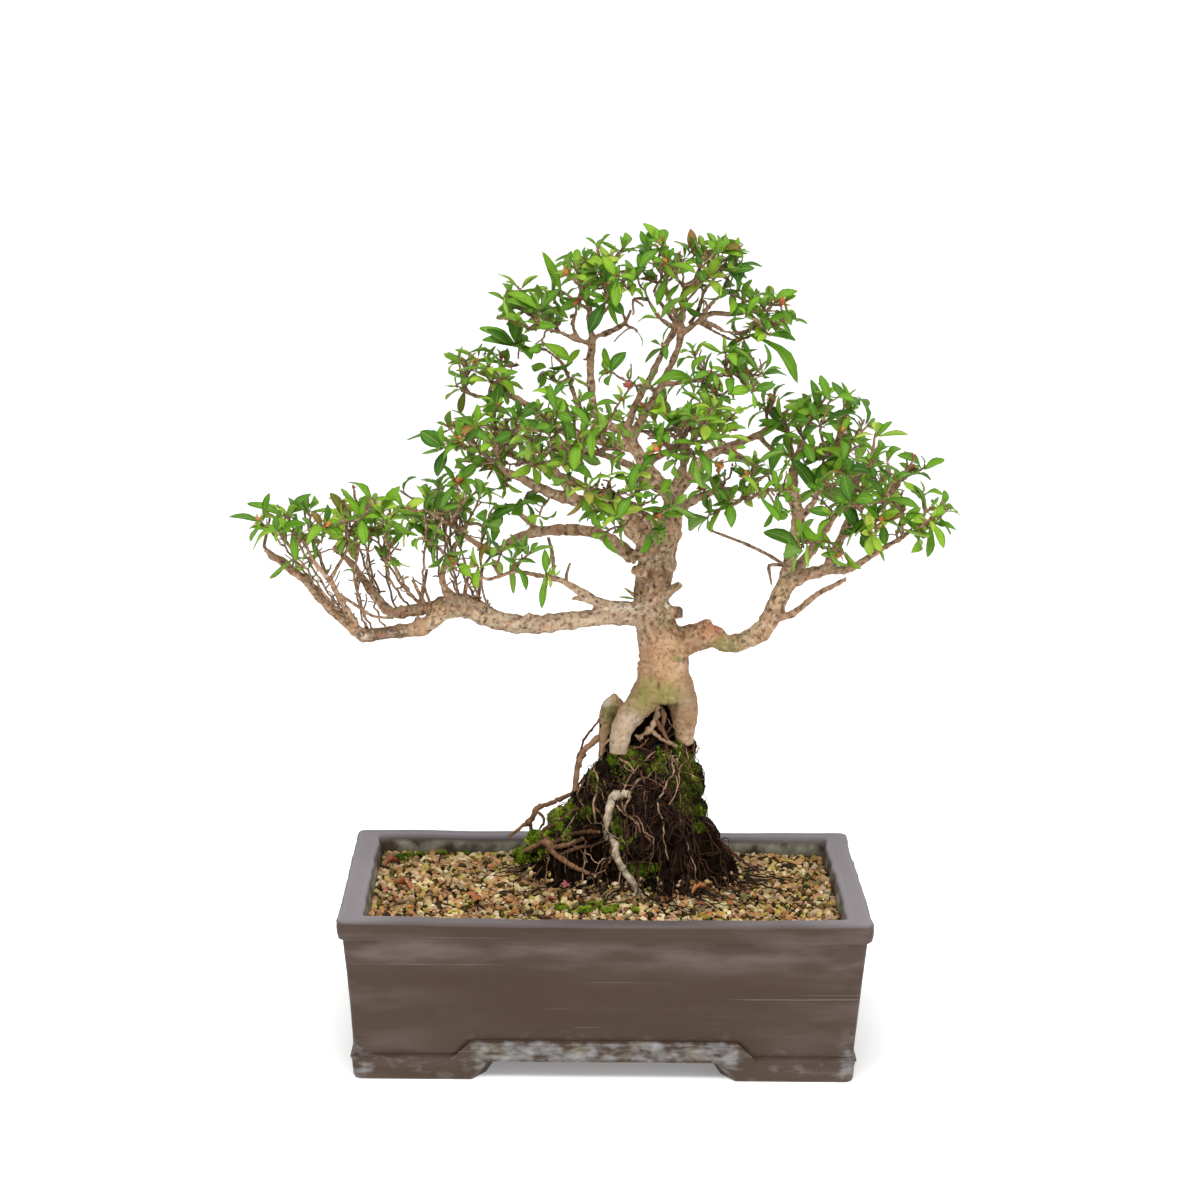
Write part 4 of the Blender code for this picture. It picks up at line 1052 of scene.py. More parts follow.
            (122, -20, 251, 1.4), (129, -23, 255, 1.1),
        ),
        ((124, -17, 276, 1.8), (134, -18, 283, 1.6), (146, -20, 292, 1.3), (152, -22, 302, 1)),
        ((102, 4, 286, 2.2), (110, 4, 296, 1.8), (114, 6, 306, 1.4), (124, 8, 318, 1.1)),
        ((50, 0, 224, 6), (54, -3, 229, 3), (56, -4, 231, 1.6)),
    ),
    "limb_centre_right": (
        (
            (35, 2, 287, 3.2), (40, -3, 292.6, 2.8), (46, -8, 297, 2.4), (58, -16, 302, 1.9),
            (67, -19, 303, 1.6), (76, -22, 304, 1.3),
        ),
    ),
    "limb_centre_front": (
        (
            (27, -1, 277, 3.2), (25, -11, 282, 2.8), (22, -20, 286, 2.5), (14, -36, 293, 2),
            (9, -43, 296, 1.7), (4, -48, 299, 1.4),
        ),
    ),
    "limb_middle_front": (
        (
            (32, 0, 298, 3.2), (30, -7, 301, 2.8), (26, -14, 305, 2.6), (20, -24, 309.6, 2.3),
            (14, -32, 314, 2.1), (4, -39, 318.6, 1.8), (-6, -44, 322, 1.6), (-26, -50, 326, 1.2),
        ),
        ((16, -30, 313, 2), (24, -38, 318.6, 1.8), (30, -44, 322, 1.6), (44, -52, 328, 1.2)),
    ),
    "limb_back_left": (
        (
            (26, 9, 274, 3.6), (20, 18, 280.6, 3.2), (14, 28, 288, 3), (3, 39, 295.4, 2.7),
            (-8, 48, 301, 2.4), (-20, 56, 307, 2.1), (-32, 62, 312, 1.8), (-52, 68, 320, 1.3),
        ),
    ),
    "limb_back_middle": (
        (
            (32, 8, 289, 3.6), (34, 19, 297, 3.1), (36, 30, 304, 2.9), (39, 41, 311.6, 2.5),
            (40, 50, 318, 2.2), (38, 66, 334, 1.4),
        ),
    ),
}

# Thin bare twigs that the photo shows in the open, thinner than the wood that is modelled as one skin
BARE_TWIGS = (
    ((-143, -14, 243, 0.8), (-134, -15, 237, 0.8), (-126, -17, 232, 0.8), (-115, -18, 231, 0.6)),
    ((-32, -17, 276, 0.9), (-29.5, -17, 266, 0.9), (-29, -17, 256, 1)),
    ((-20, -14, 262, 0.7), (-22, -14, 256, 0.8), (-22, -14, 250, 0.9)),
    ((-35, -18, 249, 0.5), (-33, -18, 252, 0.6), (-31, -18, 254, 0.7)),
    ((54, -12, 281, 0.6), (62, -11, 278, 0.7), (75, -9, 273, 0.8), (88, -7, 266.6, 0.9), (98, -5, 260, 1)),
    ((88.6, -8, 251, 0.5), (87.4, -7, 257, 0.8), (87, -6, 261.6, 1), (92, -5, 262, 1), (98, -4, 262, 1.1)),
    ((45.6, 0, 229, 0.5), (44, 0, 226, 0.9), (43, 1, 222, 1.1)),
    ((11, -5, 247, 0.6), (15, -3, 245, 0.9), (19, -1, 243, 1.2)),
    ((30, -8, 236, 0.6), (28, -6, 233, 0.8), (26, -4, 230, 1)),
    ((-105, -14, 252, 0.8), (-101, -12, 244, 1), (-98, -8, 237.6, 1.2)),
    ((-97, -2, 258, 0.8), (-99, -3, 247, 1), (-101, -3, 237, 1.2)),
    ((-74, -14, 258, 0.8), (-76, -12, 249, 1), (-77, -11, 241, 1.3)),
    ((-70, -6, 256, 0.8), (-69, -8, 246, 1), (-71, -9, 239, 1.3)),
)

SAMPLE_STEP = 2.6 * MM


def smooth_route(route, spacing=SAMPLE_STEP):
    """Reads a smooth curve through (point, radius) pairs at about this spacing."""
    points = [point for point, _ in route]
    ends = [points[0] * 2 - points[1], *points, points[-1] * 2 - points[-2]]
    found = [route[0]]
    for i in range(1, len(ends) - 2):
        a, b, c, d = ends[i - 1 : i + 3]
        steps = max(1, round((c - b).length / spacing))
        for step in range(1, steps + 1):
            t = step / steps
            cubic = (3 * b - a - 3 * c + d) * t**3
            square = (2 * a - 5 * b + 4 * c - d) * t**2
            point = (2 * b + (c - a) * t + square + cubic) / 2
            found.append((point, lerp(route[i - 1][1], route[i][1], t)))
    return found


def read_route(route):
    return smooth_route([(seen(x, depth, z), radius * MM) for x, depth, z, radius in route])


def knotted(samples, amount, name):
    """Swells a stem a little at its old leaf scars and forks."""
    source = seeded(name)
    travelled = 0.0
    knot = source.uniform(4, 9) * MM
    swell = 0.0
    found = []
    last = samples[0][0]
    for point, radius in samples:
        travelled += (point - last).length
        last = point
        if travelled > knot:
            swell = source.uniform(0.5, 1.0)
            knot += source.uniform(6, 15) * MM
        found.append((point, radius * (1 + amount * swell)))
        swell *= 0.35
    return found


class Skeleton:
    """Samples of the wood's centre lines, with their radius and the way they run."""

    def __init__(self):
        self.routes = []
        for name, routes in WOOD.items():
            amount = 0.04 if name == "trunk" else 0.26
            for number, route in enumerate(routes):
                self.routes.append((name, knotted(read_route(route), amount, f"{name}{number}")))
        self.spots = []
        for name, samples in self.routes:
            for i, (point, radius) in enumerate(samples):
                before = samples[max(i - 1, 0)][0]
                after = samples[min(i + 1, len(samples) - 1)][0]
                self.spots.append((point, radius, (after - before).normalized(), name))
        self.tree = kdtree.KDTree(len(self.spots))
        for i, spot in enumerate(self.spots):
            self.tree.insert(spot[0], i)
        self.tree.balance()

    def nearest(self, point):
        _, index, _ = self.tree.find(point)
        return self.spots[index]


WOOD_SIDES = 14
WOOD_VOXEL = 1.12 * MM
FLUTE_DEPTH = 1.3 * MM
FLUTE_SIZE = 9 * MM
LUMP_DEPTH = 0.72 * MM
LUMP_SIZE = 4.2 * MM
PIT_DEPTH = 0.3 * MM
PIT_SIZE = 1.7 * MM


def bark_relief(mesh, skeleton):
    """Moves each point of the wood along its normal: long flutes on the trunk, lumps and pits all over."""
    ages = []
    normals = [vert.normal.copy() for vert in mesh.vertices]
    for vert, normal in zip(mesh.vertices, normals):
        co = vert.co
        _, radius, along, _ = skeleton.nearest(co)
        share = clamp((radius / MM - 1.5) / 8)
        across = co - along * co.dot(along) * 0.72
        flute = noise.noise(across / FLUTE_SIZE) * FLUTE_DEPTH * share
        lump = noise.noise(co / LUMP_SIZE) * LUMP_DEPTH * lerp(0.6, 1.0, share)
        pit = noise.turbulence(co / PIT_SIZE, 2, False) * PIT_DEPTH
        vert.co = co + normal * (flute + lump - pit)
        ages.append(clamp((radius / MM - 1) / 4))
    give(mesh, "age", ages)


def wood(skeleton, finish):
    """The trunk, its legs and all limbs, grown together in one skin."""
    lines = Lines()
    for _, samples in skeleton.routes:
        lines.add([p for p, _ in samples], [r for _, r in samples], [1.0] * len(samples))
    made = lines.stems("trunk_and_limbs", WOOD_SIDES, finish)
    skin_over(made, WOOD_VOXEL)
    soften = made.modifiers.new("soften", "SMOOTH")
    soften.iterations = 2
    soften.factor = 0.4
    settled(made)
    made.data.shade_smooth()
    bark_relief(made.data, skeleton)
    dress(made, finish)
    return made


# Leaf clusters that the photo shows, as (x, z) readings for each pad. A letter says what is seen there:
# g green, y yellow green, d dark, o orange bud, p pink bud, b big leaves, s bright star of young leaves.
CLUSTERS = {
    "left_tip": (
        (-186, 283, "p"), (-171, 286, "g"), (-166, 276, "g"), (-157, 276, "g"), (-168, 262, "g"),
        (-152, 281, "o"), (-178, 278, "g"), (-160, 290, "g"),
    ),
    "left_low": (
        (-141, 285, "s"), (-134, 288, "g"), (-121, 289, "y"), (-115, 264, "g"), (-140, 274, "y"),
        (-128, 279, "o"), (-126, 295, "g"), (-118, 277, "g"),
    ),
    "left_inner": (
        (-110, 291, "s"), (-97, 297, "y"), (-91, 279, "b"), (-87, 265, "g"), (-81, 305, "o"), (-69, 296, "g"),
        (-98, 286, "g"), (-75, 284, "g"), (-84, 293, "g"), (-102, 275, "g"), (-66, 282, "b"),
    ),
    "left_stub": (
        (-70, 260, "s"), (-49, 262, "g"), (-32, 256, "s"), (-57, 268, "g"), (-81, 262, "o"), (-42, 267, "g"),
    ),
    "left_mid": (
        (-55, 305, "g"), (-37, 287, "g"), (-79, 328, "p"), (-71, 336, "g"), (-53, 324, "o"), (-49, 340, "b"),
        (-32, 328, "g"), (-88, 324, "b"), (-62, 316, "g"), (-40, 315, "y"), (-60, 346, "g"), (-76, 312, "g"),
        (-45, 296, "b"),
    ),
    "left_ledge": (
        (-76, 363, "g"), (-80, 356, "y"), (-65, 367, "g"), (-47, 377, "y"), (-50, 380, "b"), (-58, 372, "o"),
        (-70, 372, "g"), (-56, 360, "g"),
    ),
    "left_crown": (
        (-36, 364, "g"), (-37, 397, "b"), (-36, 380, "g"), (-47, 399, "b"), (-28, 392, "g"), (-30, 406, "g"),
        (-42, 388, "g"), (-27, 359, "g"), (-23, 369, "t"), (-33, 366, "g"), (-14, 372, "t"), (-20, 362, "g"),
    ),
    "apex_left": (
        (-23, 417, "p"), (-7, 419, "s"), (6, 431, "g"), (9, 410, "y"), (-14, 425, "g"), (-2, 405, "g"),
        (-16, 404, "o"), (0, 424, "y"), (14, 421, "g"), (-28, 408, "g"), (-7, 432, "g"), (-2, 404, "d"),
        (6, 398, "t"), (-20, 396, "t"), (12, 404, "t"),
    ),
    "apex_right": (
        (27, 433, "o"), (30, 424, "o"), (43, 430, "p"), (47, 421, "g"), (54, 422, "o"), (58, 430, "g"),
        (60, 410, "d"), (36, 414, "g"), (22, 414, "g"), (48, 405, "g"), (64, 419, "g"), (38, 400, "g"),
        (20, 430, "b"), (66, 407, "g"),
    ),
    "right_shoulder": (
        (75, 404, "g"), (82, 402, "g"), (90, 402, "o"), (70, 384, "o"), (72, 396, "g"), (82, 392, "g"),
        (94, 396, "g"),
    ),
    "right_upper": (
        (27, 380, "d"), (14, 388, "t"), (25, 395, "g"), (34, 386, "t"), (12, 396, "t"), (0, 365, "g"),
        (12, 359, "p"), (21, 358, "g"), (45, 375, "g"), (61, 377, "g"), (70, 374, "g"), (72, 364, "o"),
        (64, 364, "g"), (57, 352, "g"), (44, 362, "g"), (82, 366, "b"), (50, 366, "g"), (76, 356, "g"),
    ),
    "middle_left": (
        (-23, 316, "g"), (-15, 329, "g"), (-28, 343, "g"), (-9, 336, "g"), (-10, 301, "s"), (-13, 345, "g"),
        (-15, 320, "o"), (2, 342, "g"), (-34, 333, "b"), (-2, 324, "g"), (-22, 306, "g"), (-38, 322, "g"),
        (6, 350, "g"), (-16, 350, "g"), (-30, 352, "g"),
    ),
    "middle_right": (
        (11, 331, "g"), (8, 322, "g"), (27, 324, "o"), (57, 317, "o"), (44, 342, "g"), (67, 344, "g"),
        (36, 337, "b"), (47, 328, "g"), (60, 332, "y"), (24, 340, "g"), (36, 318, "g"), (66, 324, "g"),
        (52, 348, "g"), (20, 313, "g"),
    ),
    "centre": (
        (-12, 303, "s"), (15, 310, "y"), (5, 288, "y"), (9, 283, "g"), (17, 293, "g"), (25, 287, "o"),
        (-1, 279, "g"), (24, 279, "g"), (35, 294, "b"), (-6, 290, "g"), (12, 300, "g"), (28, 300, "g"),
        (2, 296, "s"),
    ),
    "right_centre": (
        (57, 302, "g"), (74, 309, "o"), (73, 298, "g"), (82, 301, "g"), (91, 292, "g"), (87, 312, "g"),
        (78, 317, "g"), (53, 287, "b"), (66, 294, "g"), (97, 303, "g"), (60, 292, "g"),
    ),
    "right_crown": (
        (82, 347, "g"), (88, 351, "o"), (95, 335, "b"), (112, 339, "d"), (110, 325, "g"), (115, 318, "g"),
        (128, 345, "g"), (133, 327, "g"), (112, 304, "b"), (100, 347, "g"), (118, 351, "g"), (124, 334, "o"),
        (104, 330, "g"), (96, 321, "g"), (138, 338, "g"), (121, 312, "g"),
    ),
    "right_tip": (
        (143, 334, "y"), (162, 314, "o"), (149, 319, "g"), (137, 304, "g"), (158, 291, "g"), (158, 284, "g"),
        (166, 279, "g"), (175, 286, "g"), (135, 281, "d"), (121, 289, "g"), (126, 269, "o"), (117, 275, "g"),
        (105, 275, "y"), (104, 270, "b"), (148, 299, "g"), (168, 300, "g"), (145, 274, "g"), (153, 309, "g"),
        (140, 318, "g"), (130, 296, "b"), (172, 293, "g"), (148, 286, "o"),
    ),
}

# The sprout on the trunk's left side grows from its bark: the reading and the depth there
SPROUT = (15.4, 242.6)
SPROUT_DEPTH = 3.0

# Leaves drawn one by one, since the photo shows them clear of the rest: the pad, base and tip
# readings, width in mm and tone from 0, dark, to 1, yellow green. A tone under 0 is an aged leaf.
DRAWN_LEAVES = (
    ("apex_right", (28, 432), (17, 445), 6.4, 0.7), ("apex_right", (43, 429), (42, 441.5), 5.6, -0.8),
    ("apex_right", (54, 425), (62, 437), 5.8, 0.55), ("apex_right", (58, 428), (69, 433), 4.8, -0.5),
    ("apex_right", (62, 418), (75, 423), 6, 0.2), ("right_shoulder", (86, 402), (98, 411), 4.6, 0.55),
    ("right_upper", (76, 383), (103, 363), 4.8, 0.55), ("right_crown", (110, 349), (108, 362), 5.6, 0.3),
    ("right_crown", (129, 343), (126, 355), 5.6, 0.5), ("right_crown", (98, 338), (120, 349), 8, 0.5),
    ("apex_left", (-26, 414), (-37, 429), 6.4, 0.6), ("left_crown", (-39, 397), (-56, 403), 5.8, 0.5),
    ("left_crown", (-39, 398), (-54, 408.5), 5.6, 0.6), ("left_crown", (-36, 398), (-28, 410), 6.6, 0.4),
    ("left_ledge", (-50, 377), (-68, 382), 6.4, 0.4), ("left_ledge", (-50, 380), (-69, 389.5), 6, 0.55),
    ("left_ledge", (-49, 380), (-52, 398), 7, 0.35), ("left_mid", (-66, 341), (-62, 355), 7, 0.3),
    ("left_mid", (-88, 327), (-108, 331), 5.4, 0.35), ("left_tip", (-188, 286), (-203, 286), 4.6, 0.35),
    ("left_tip", (-176, 287), (-193, 294), 5, 0.45), ("left_tip", (-168, 278), (-191, 279), 5.8, 0.6),
    ("left_tip", (-170, 286), (-160, 299), 6.2, 0.4), ("left_low", (-140, 287), (-156, 272), 6.4, 0.95),
    ("left_inner", (-65, 281), (-47, 295), 7.6, 0.2), ("left_mid", (-47, 290), (-32, 296), 6, 0.45),
    ("right_crown", (110, 300), (98, 320), 8.6, 0.2), ("right_crown", (112, 300), (120, 321), 8.8, 0.15),
    ("right_tip", (101, 271), (84.5, 281.5), 8, 0.25), ("right_tip", (131, 283), (124, 297), 7.2, 0.25),
    ("apex_left", (0, 365), (8, 377), 7, 0.25), ("right_upper", (23, 361), (44, 365), 6, 0.5),
    ("left_low", (-141, 289), (-149, 299), 5.4, -0.4), ("left_tip", (-152, 279), (-159, 289), 4.6, -0.6),
    ("left_stub", (-35, 249), (-35.4, 237), 4, 0.5), ("left_ledge", (-74, 352), (-80, 342), 4.2, -0.3),
    ("middle_left", (-20, 316), (-8, 309), 6.4, 0.6), ("centre", (22, 287), (40, 291), 7, 0.5),
    ("right_tip", (173, 285), (188, 283), 4.4, 0.5), ("right_tip", (160, 289), (170, 277), 5.4, 0.5),
    ("right_tip", (121, 289), (108, 293), 6.8, 0.25), ("left_low", (-122, 290), (-112, 303), 5.6, 0.6),
    ("centre", SPROUT, (9.5, 249), 1.8, 1.0), ("centre", SPROUT, (14.5, 250), 1.8, 1.0),
    ("centre", SPROUT, (6, 243.5), 1.6, 1.0), ("right_tip", (140, 312), (146, 327), 5.4, 0.45),
    ("right_crown", (90, 330), (80, 341), 6.4, 0.4), ("right_centre", (84, 316), (92, 328), 6, 0.35),
)

# How many more clusters fill each pad out, in depth and at the back
FILL = {
    "left_tip": 6, "left_low": 9, "left_low_back": 12, "left_inner": 11, "left_stub": 4, "left_back": 16,
    "left_mid": 20, "left_ledge": 11, "left_crown": 14, "apex_left": 22, "apex_right": 30,
    "right_shoulder": 12, "right_upper": 18, "middle_left": 19, "middle_right": 20, "centre": 11,
    "right_centre": 14, "right_crown": 24, "right_tip": 22, "right_back": 26, "back_left": 28,
    "back_middle": 30,
}
CLUSTER_GAP = 7 * MM
FILL_LOOKS = "ggggggyydostttttttttttt"
MOST_TRIES = 4000


class Pad:
    """One cloud of leaves, in the room of its CAD solid."""

    def __init__(self, name):
        self.name = name
        self.node = "foliage_" + name
        self.low, self.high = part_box(self.node)
        self.middle = (self.low + self.high) / 2
        self.half = (self.high - self.low) / 2
        self.clusters = []

    def outward(self, point):
        """The way leaves face there: out of the pad, and always somewhat up."""
        offset = point - self.middle
        out = Vector(offset[i] / self.half[i] for i in range(3))
        return (out + UP * 0.5).normalized()

    def depth_at(self, x, z, source):
        """A depth inside the pad for a cluster seen at this reading, nearer its front than its back."""
        across = (x * MM - self.middle.x) / self.half.x
        rise = (z * MM - self.middle.z) / self.half.z
        room = math.sqrt(clamp(1 - 0.8 * (across * across + rise * rise), 0.06, 1.0))
        return (self.middle.y + self.half.y * room * source.uniform(-0.95, 0.35)) / MM

    def fill(self):
        source = seeded(self.name)
        for x, z, look in CLUSTERS.get(self.name, ()):
            self.clusters.append((seen(x, self.depth_at(x, z, source), z), look))
        wanted = len(self.clusters) + FILL[self.name]
        tries = 0
        while len(self.clusters) < wanted and tries < MOST_TRIES:
            tries += 1
            way = jitter(source, 1).normalized()
            way.z = way.z * 0.85 + 0.12
            reach = source.uniform(0.35, 0.92)
            point = self.middle + Vector(way[i] * self.half[i] * reach for i in range(3))
            if all((point - other).length > CLUSTER_GAP for other, _ in self.clusters):
                self.clusters.append((point, source.choice(FILL_LOOKS)))


TWIG_STEP = 2.6 * MM
TWIG_KINK = 0.42 * MM
TIP_GIRTH = 0.58 * MM
MOST_GIRTH = 1.9 * MM
GIRTH_POWER = 0.4
TWIG_SIDES = 5
SPUR_SHARE = 0.34
LONG_SPURS = 0.36

# Pads whose twigs rise straight from the low left limb, and the share of their twigs that do
RISER_PADS = ("left_tip", "left_low", "left_inner", "left_low_back")
RISER_SHARE = 0.3
RISER_SPAN = (-127, -60)
RISER_LEAN = (2, 28)

# Heights under which the trunk and the low left limb's end carry no twigs or risers, and the thickest
# wood that carries twigs
TWIG_FREE_TRUNK_Z = 0.262
RISER_WOOD_Z = 0.24
THICKEST_WITH_TWIGS = 0.0066

# The effort of a twig: its length, less what going ahead or rising saves, and a part of the way to its start
LENGTH_EFFORT = 1.5
AHEAD_SAVES = 0.3
RISE_SAVES = 0.32
WAY_EFFORT = 0.4
LEAST_TWIG = 3.5 * MM
SHUT_EFFORT = 1e3
CROWDED_EFFORT = 1e2


class Crown:
    """The twigs that join each leaf cluster to the nearest wood."""

    def __init__(self, skeleton, pads):
        self.spots = [tuple(spot[0]) for spot in skeleton.spots]
        self.aims = [tuple(spot[2]) for spot in skeleton.spots]
        self.room = [spot[1] for spot in skeleton.spots]
        self.cost = [0.0] * len(self.spots)
        self.flow = [0.0] * len(self.spots)
        self.parent = [-1] * len(self.spots)
        self.wood = len(self.spots)
        self.runs = []
        self.source = seeded("twigs")
        usable = [spot[3] != "trunk" or spot[0].z > TWIG_FREE_TRUNK_Z for spot in skeleton.spots]
        self.limb = [
            i for i, spot in enumerate(skeleton.spots)
            if spot[3] == "limb_left_low" and spot[0].z < RISER_WOOD_Z
        ]
        self.open = [use and spot[1] < THICKEST_WITH_TWIGS for use, spot in zip(usable, skeleton.spots)]
        self.grow([(point, pad.outward(point), pad.name) for pad in pads for point, _ in pad.clusters])
        self.thicken()

    def scores(self, first, targets):
        """The effort of reaching each target from each spot added since the first."""
        spots = np.array(self.spots[first:])[None, :, :]
        aims = np.array(self.aims[first:])[None, :, :]
        way = targets[:, None, :] - spots
        reach = np.linalg.norm(way, axis=2) + 1e-9
        along = (way * aims).sum(axis=2) / reach
        rise = way[:, :, 2] / reach
        effort = reach * (LENGTH_EFFORT - AHEAD_SAVES * along - RISE_SAVES * rise)
        effort += WAY_EFFORT * np.array(self.cost[first:])[None, :]
        effort[:, ~np.array(self.open[first:])] = SHUT_EFFORT
        effort[reach < LEAST_TWIG] = CROWDED_EFFORT
        return effort

    def grow(self, wanted):
        targets = np.array([tuple(point) for point, _, _ in wanted])
        left = np.ones(len(wanted), bool)
        for index, (point, axis, name) in enumerate(wanted):
            if name in RISER_PADS and self.source.random() < RISER_SHARE:
                from_x = clamp(point.x / MM + self.source.uniform(*RISER_LEAN), *RISER_SPAN) * MM
                start = min(self.limb, key=lambda i: abs(self.spots[i][0] - from_x))
                self.reach(start, point, axis, name)
                left[index] = False
        effort = self.scores(0, targets)
        best = effort.argmin(axis=1)
        least = effort.min(axis=1)
        while left.any():
            pick = int(np.where(left, least, 1e9).argmin())
            left[pick] = False
            first = len(self.spots)
            point, axis, name = wanted[pick]
            self.reach(int(best[pick]), point, axis, name)
            effort = self.scores(first, targets)
            nearer = effort.min(axis=1)
            better = nearer < least
            best[better] = effort.argmin(axis=1)[better] + first
            least[better] = nearer[better]

    def reach(self, start, target, axis, name):
        """Grows one twig from a spot to a cluster along a bent, slightly kinked way."""
        here = Vector(self.spots[start])
        way = target - here
        length = way.length
        leave = Vector(self.aims[start]) * 0.55 + way.normalized() * 0.6 + UP * 0.12
        leave = leave.normalized() * length * 0.9
        arrive = (axis * 0.6 + way.normalized() * 0.7).normalized() * length * 0.8
        steps = max(2, round(length / TWIG_STEP))
        run = [start]
        last = here
        for step in range(1, steps + 1):
            t = step / steps
            spot = (
                here * (2 * t**3 - 3 * t**2 + 1) + leave * (t**3 - 2 * t**2 + t)
                + target * (3 * t**2 - 2 * t**3) + arrive * (t**3 - t**2)
            )
            if step < steps:
                spot += jitter(self.source, TWIG_KINK)
            self.spots.append(tuple(spot))
            self.aims.append(tuple((spot - last).normalized()))
            self.room.append(MOST_GIRTH)
            self.cost.append(self.cost[run[-1]] + (spot - last).length)
            self.flow.append(0.0)
            self.parent.append(run[-1])
            self.open.append(True)
            run.append(len(self.spots) - 1)
            last = spot
        self.runs.append((run, name))

    def thicken(self):
        """Each stretch is as thick as the clusters it feeds need."""
        for run, _ in self.runs:
            self.flow[run[-1]] += 1.0
        for i in range(len(self.spots) - 1, self.wood - 1, -1):
            parent = self.parent[i]
            if parent >= self.wood:
                self.flow[parent] += self.flow[i]

    def girth(self, index):
        return min(TIP_GIRTH * self.flow[index] ** GIRTH_POWER + 0.05 * MM, self.room[index])

    def region_lines(self):
        """Lines for each region of the tree: its twigs and the dry spurs on them."""
        source = seeded("spurs")
        regions = {name: Lines() for name in ("left", "crown", "middle", "right", "back")}
        for run, name in self.runs:
            lines = regions[region_of(name)]
            girths = [self.girth(i) for i in run[1:]]
            start = min(girths[0] * 1.15, self.room[run[0]])
            knots = [1 + (0.4 * source.random() if source.random() < 0.3 else 0) for _ in run]
            girths = [g * k for g, k in zip([start, *girths], knots)]
            ages = [clamp(g / MOST_GIRTH) for g in girths]
            lines.add([self.spots[i] for i in run], girths, ages)
            for i in run[1:-1]:
                if source.random() < SPUR_SHARE:
                    self.spur(lines, i, source)
        for number, route in enumerate(BARE_TWIGS):
            samples = knotted(read_route(route), 0.3, f"bare{number}")
            side = "left" if route[0][0] < 0 else "right"
            regions[side].add([tuple(p) for p, _ in samples], [r for _, r in samples], [0.6] * len(samples))
        return regions

    def spur(self, lines, index, source):
        here = Vector(self.spots[index])
        aim = Vector(self.aims[index])
        side = aim.cross(jitter(source, 1)).normalized()
        way = (side + aim * source.uniform(-0.1, 0.8) + UP * 0.25).normalized()
        longer = source.random() < LONG_SPURS
        length = keep_in_box(here, way, (source.uniform(6, 14) if longer else source.uniform(1.6, 5.5)) * MM)
        girth = self.girth(index) * source.uniform(0.5, 0.8)
        points = [here]
        joints = 4 if longer else 2
        for _ in range(joints):
            way = (way + jitter(source, 0.3) + UP * 0.08).normalized()
            points.append(points[-1] + way * length / joints)
        girths = [girth * (1.2 - 0.35 * i / len(points)) for i in range(len(points))]
        lines.add([tuple(p) for p in points], girths, [0.5] * len(points))


def region_of(pad_name):
    if pad_name.startswith("back") or pad_name in ("left_back", "left_low_back", "right_back"):
        return "back"
    if pad_name in ("left_crown", "apex_left", "apex_right", "right_shoulder", "right_upper", "left_ledge"):
        return "crown"
    if pad_name in ("middle_left", "middle_right", "centre", "right_centre"):
        return "middle"
    return "left" if pad_name.startswith("left") else "right"


# Leaf shapes: arch, fold, twist in radians and wave, the others as shares of the length
LEAF_FORMS = (
    (0.05, 0.16, 0.05, 0.01), (0.12, 0.1, -0.12, 0.015), (-0.04, 0.22, 0.1, 0.01),
    (0.17, 0.14, 0.16, 0.02), (0.08, 0.05, -0.06, 0.025), (0.02, 0.28, 0.0, 0.008),
)
LEAF_STATIONS = (0.0, 0.08, 0.23, 0.42, 0.61, 0.79, 0.93, 1.0)
LEAF_ACROSS = (-1.0, -0.5, 0.0, 0.5, 1.0)
LEAF_SKIN = 0.022


def leaf_shape(name, form):
    """A broad pointed oval leaf of length 1 and width 1 along X, closed, with its underside marked."""
    arch, fold, twist, wave = form
    bm = bmesh.new()
    sheet = bm.loops.layers.uv.new("leaf")
    under = bm.faces.layers.float.new("under")
    rows = []
    for t in LEAF_STATIONS:
        half = max(0.5 * math.sin(math.pi * t**1.22) ** 0.74, 0.05 if t < 0.5 else 0.02)
        turn = twist * (t - 0.3) * 2
        row = []
        for v in LEAF_ACROSS:
            y = v * half
            z = arch * math.sin(math.pi * t) - arch * t * t * 1.2
            z += fold * abs(v) * half + wave * math.sin(9 * t + 2 * v) * abs(v)
            top = Vector((t, y * math.cos(turn), z + y * math.sin(turn)))
            edge = abs(v) == 1.0 or t in (0.0, 1.0)
            skin = 0.0 if edge else LEAF_SKIN * (0.6 + 0.8 * (v == 0.0))
            upper = bm.verts.new(top)
            lower = upper if edge else bm.verts.new(top - Vector((0, 0, skin)))
            row.append((upper, lower, t, (v + 1) / 2))
        rows.append(row)
    for side in (0, 1):
        for low, high in zip(rows, rows[1:]):
            for a, b, c, d in zip(low, high, high[1:], low[1:]):
                corners = [a, b, c, d] if side else [a, d, c, b]
                face = bm.faces.new([corner[side] for corner in corners])
                face[under] = float(side)
                face.smooth = True
                for loop, corner in zip(face.loops, corners):
                    loop[sheet].uv = corner[2:]
    return object_from(bm, name)


# A rosette: the length and width in mm of its outer and inner leaves, and the angle from leaf to leaf
BIG, SMALL = (16.0, 5.9), (7.6, 2.7)
LEAF_TURN = 2.4

# What each letter stands for: how many leaves, their tone and their size
LOOKS = {
    "g": (4, 0.5, 0.97), "y": (5, 0.84, 0.92), "d": (4, 0.14, 1.1), "o": (5, 0.42, 0.9), "p": (5, 0.45, 0.95),
    "b": (5, 0.3, 1.28), "s": (6, 0.86, 0.95), "t": (0, 0.5, 1.0),
}


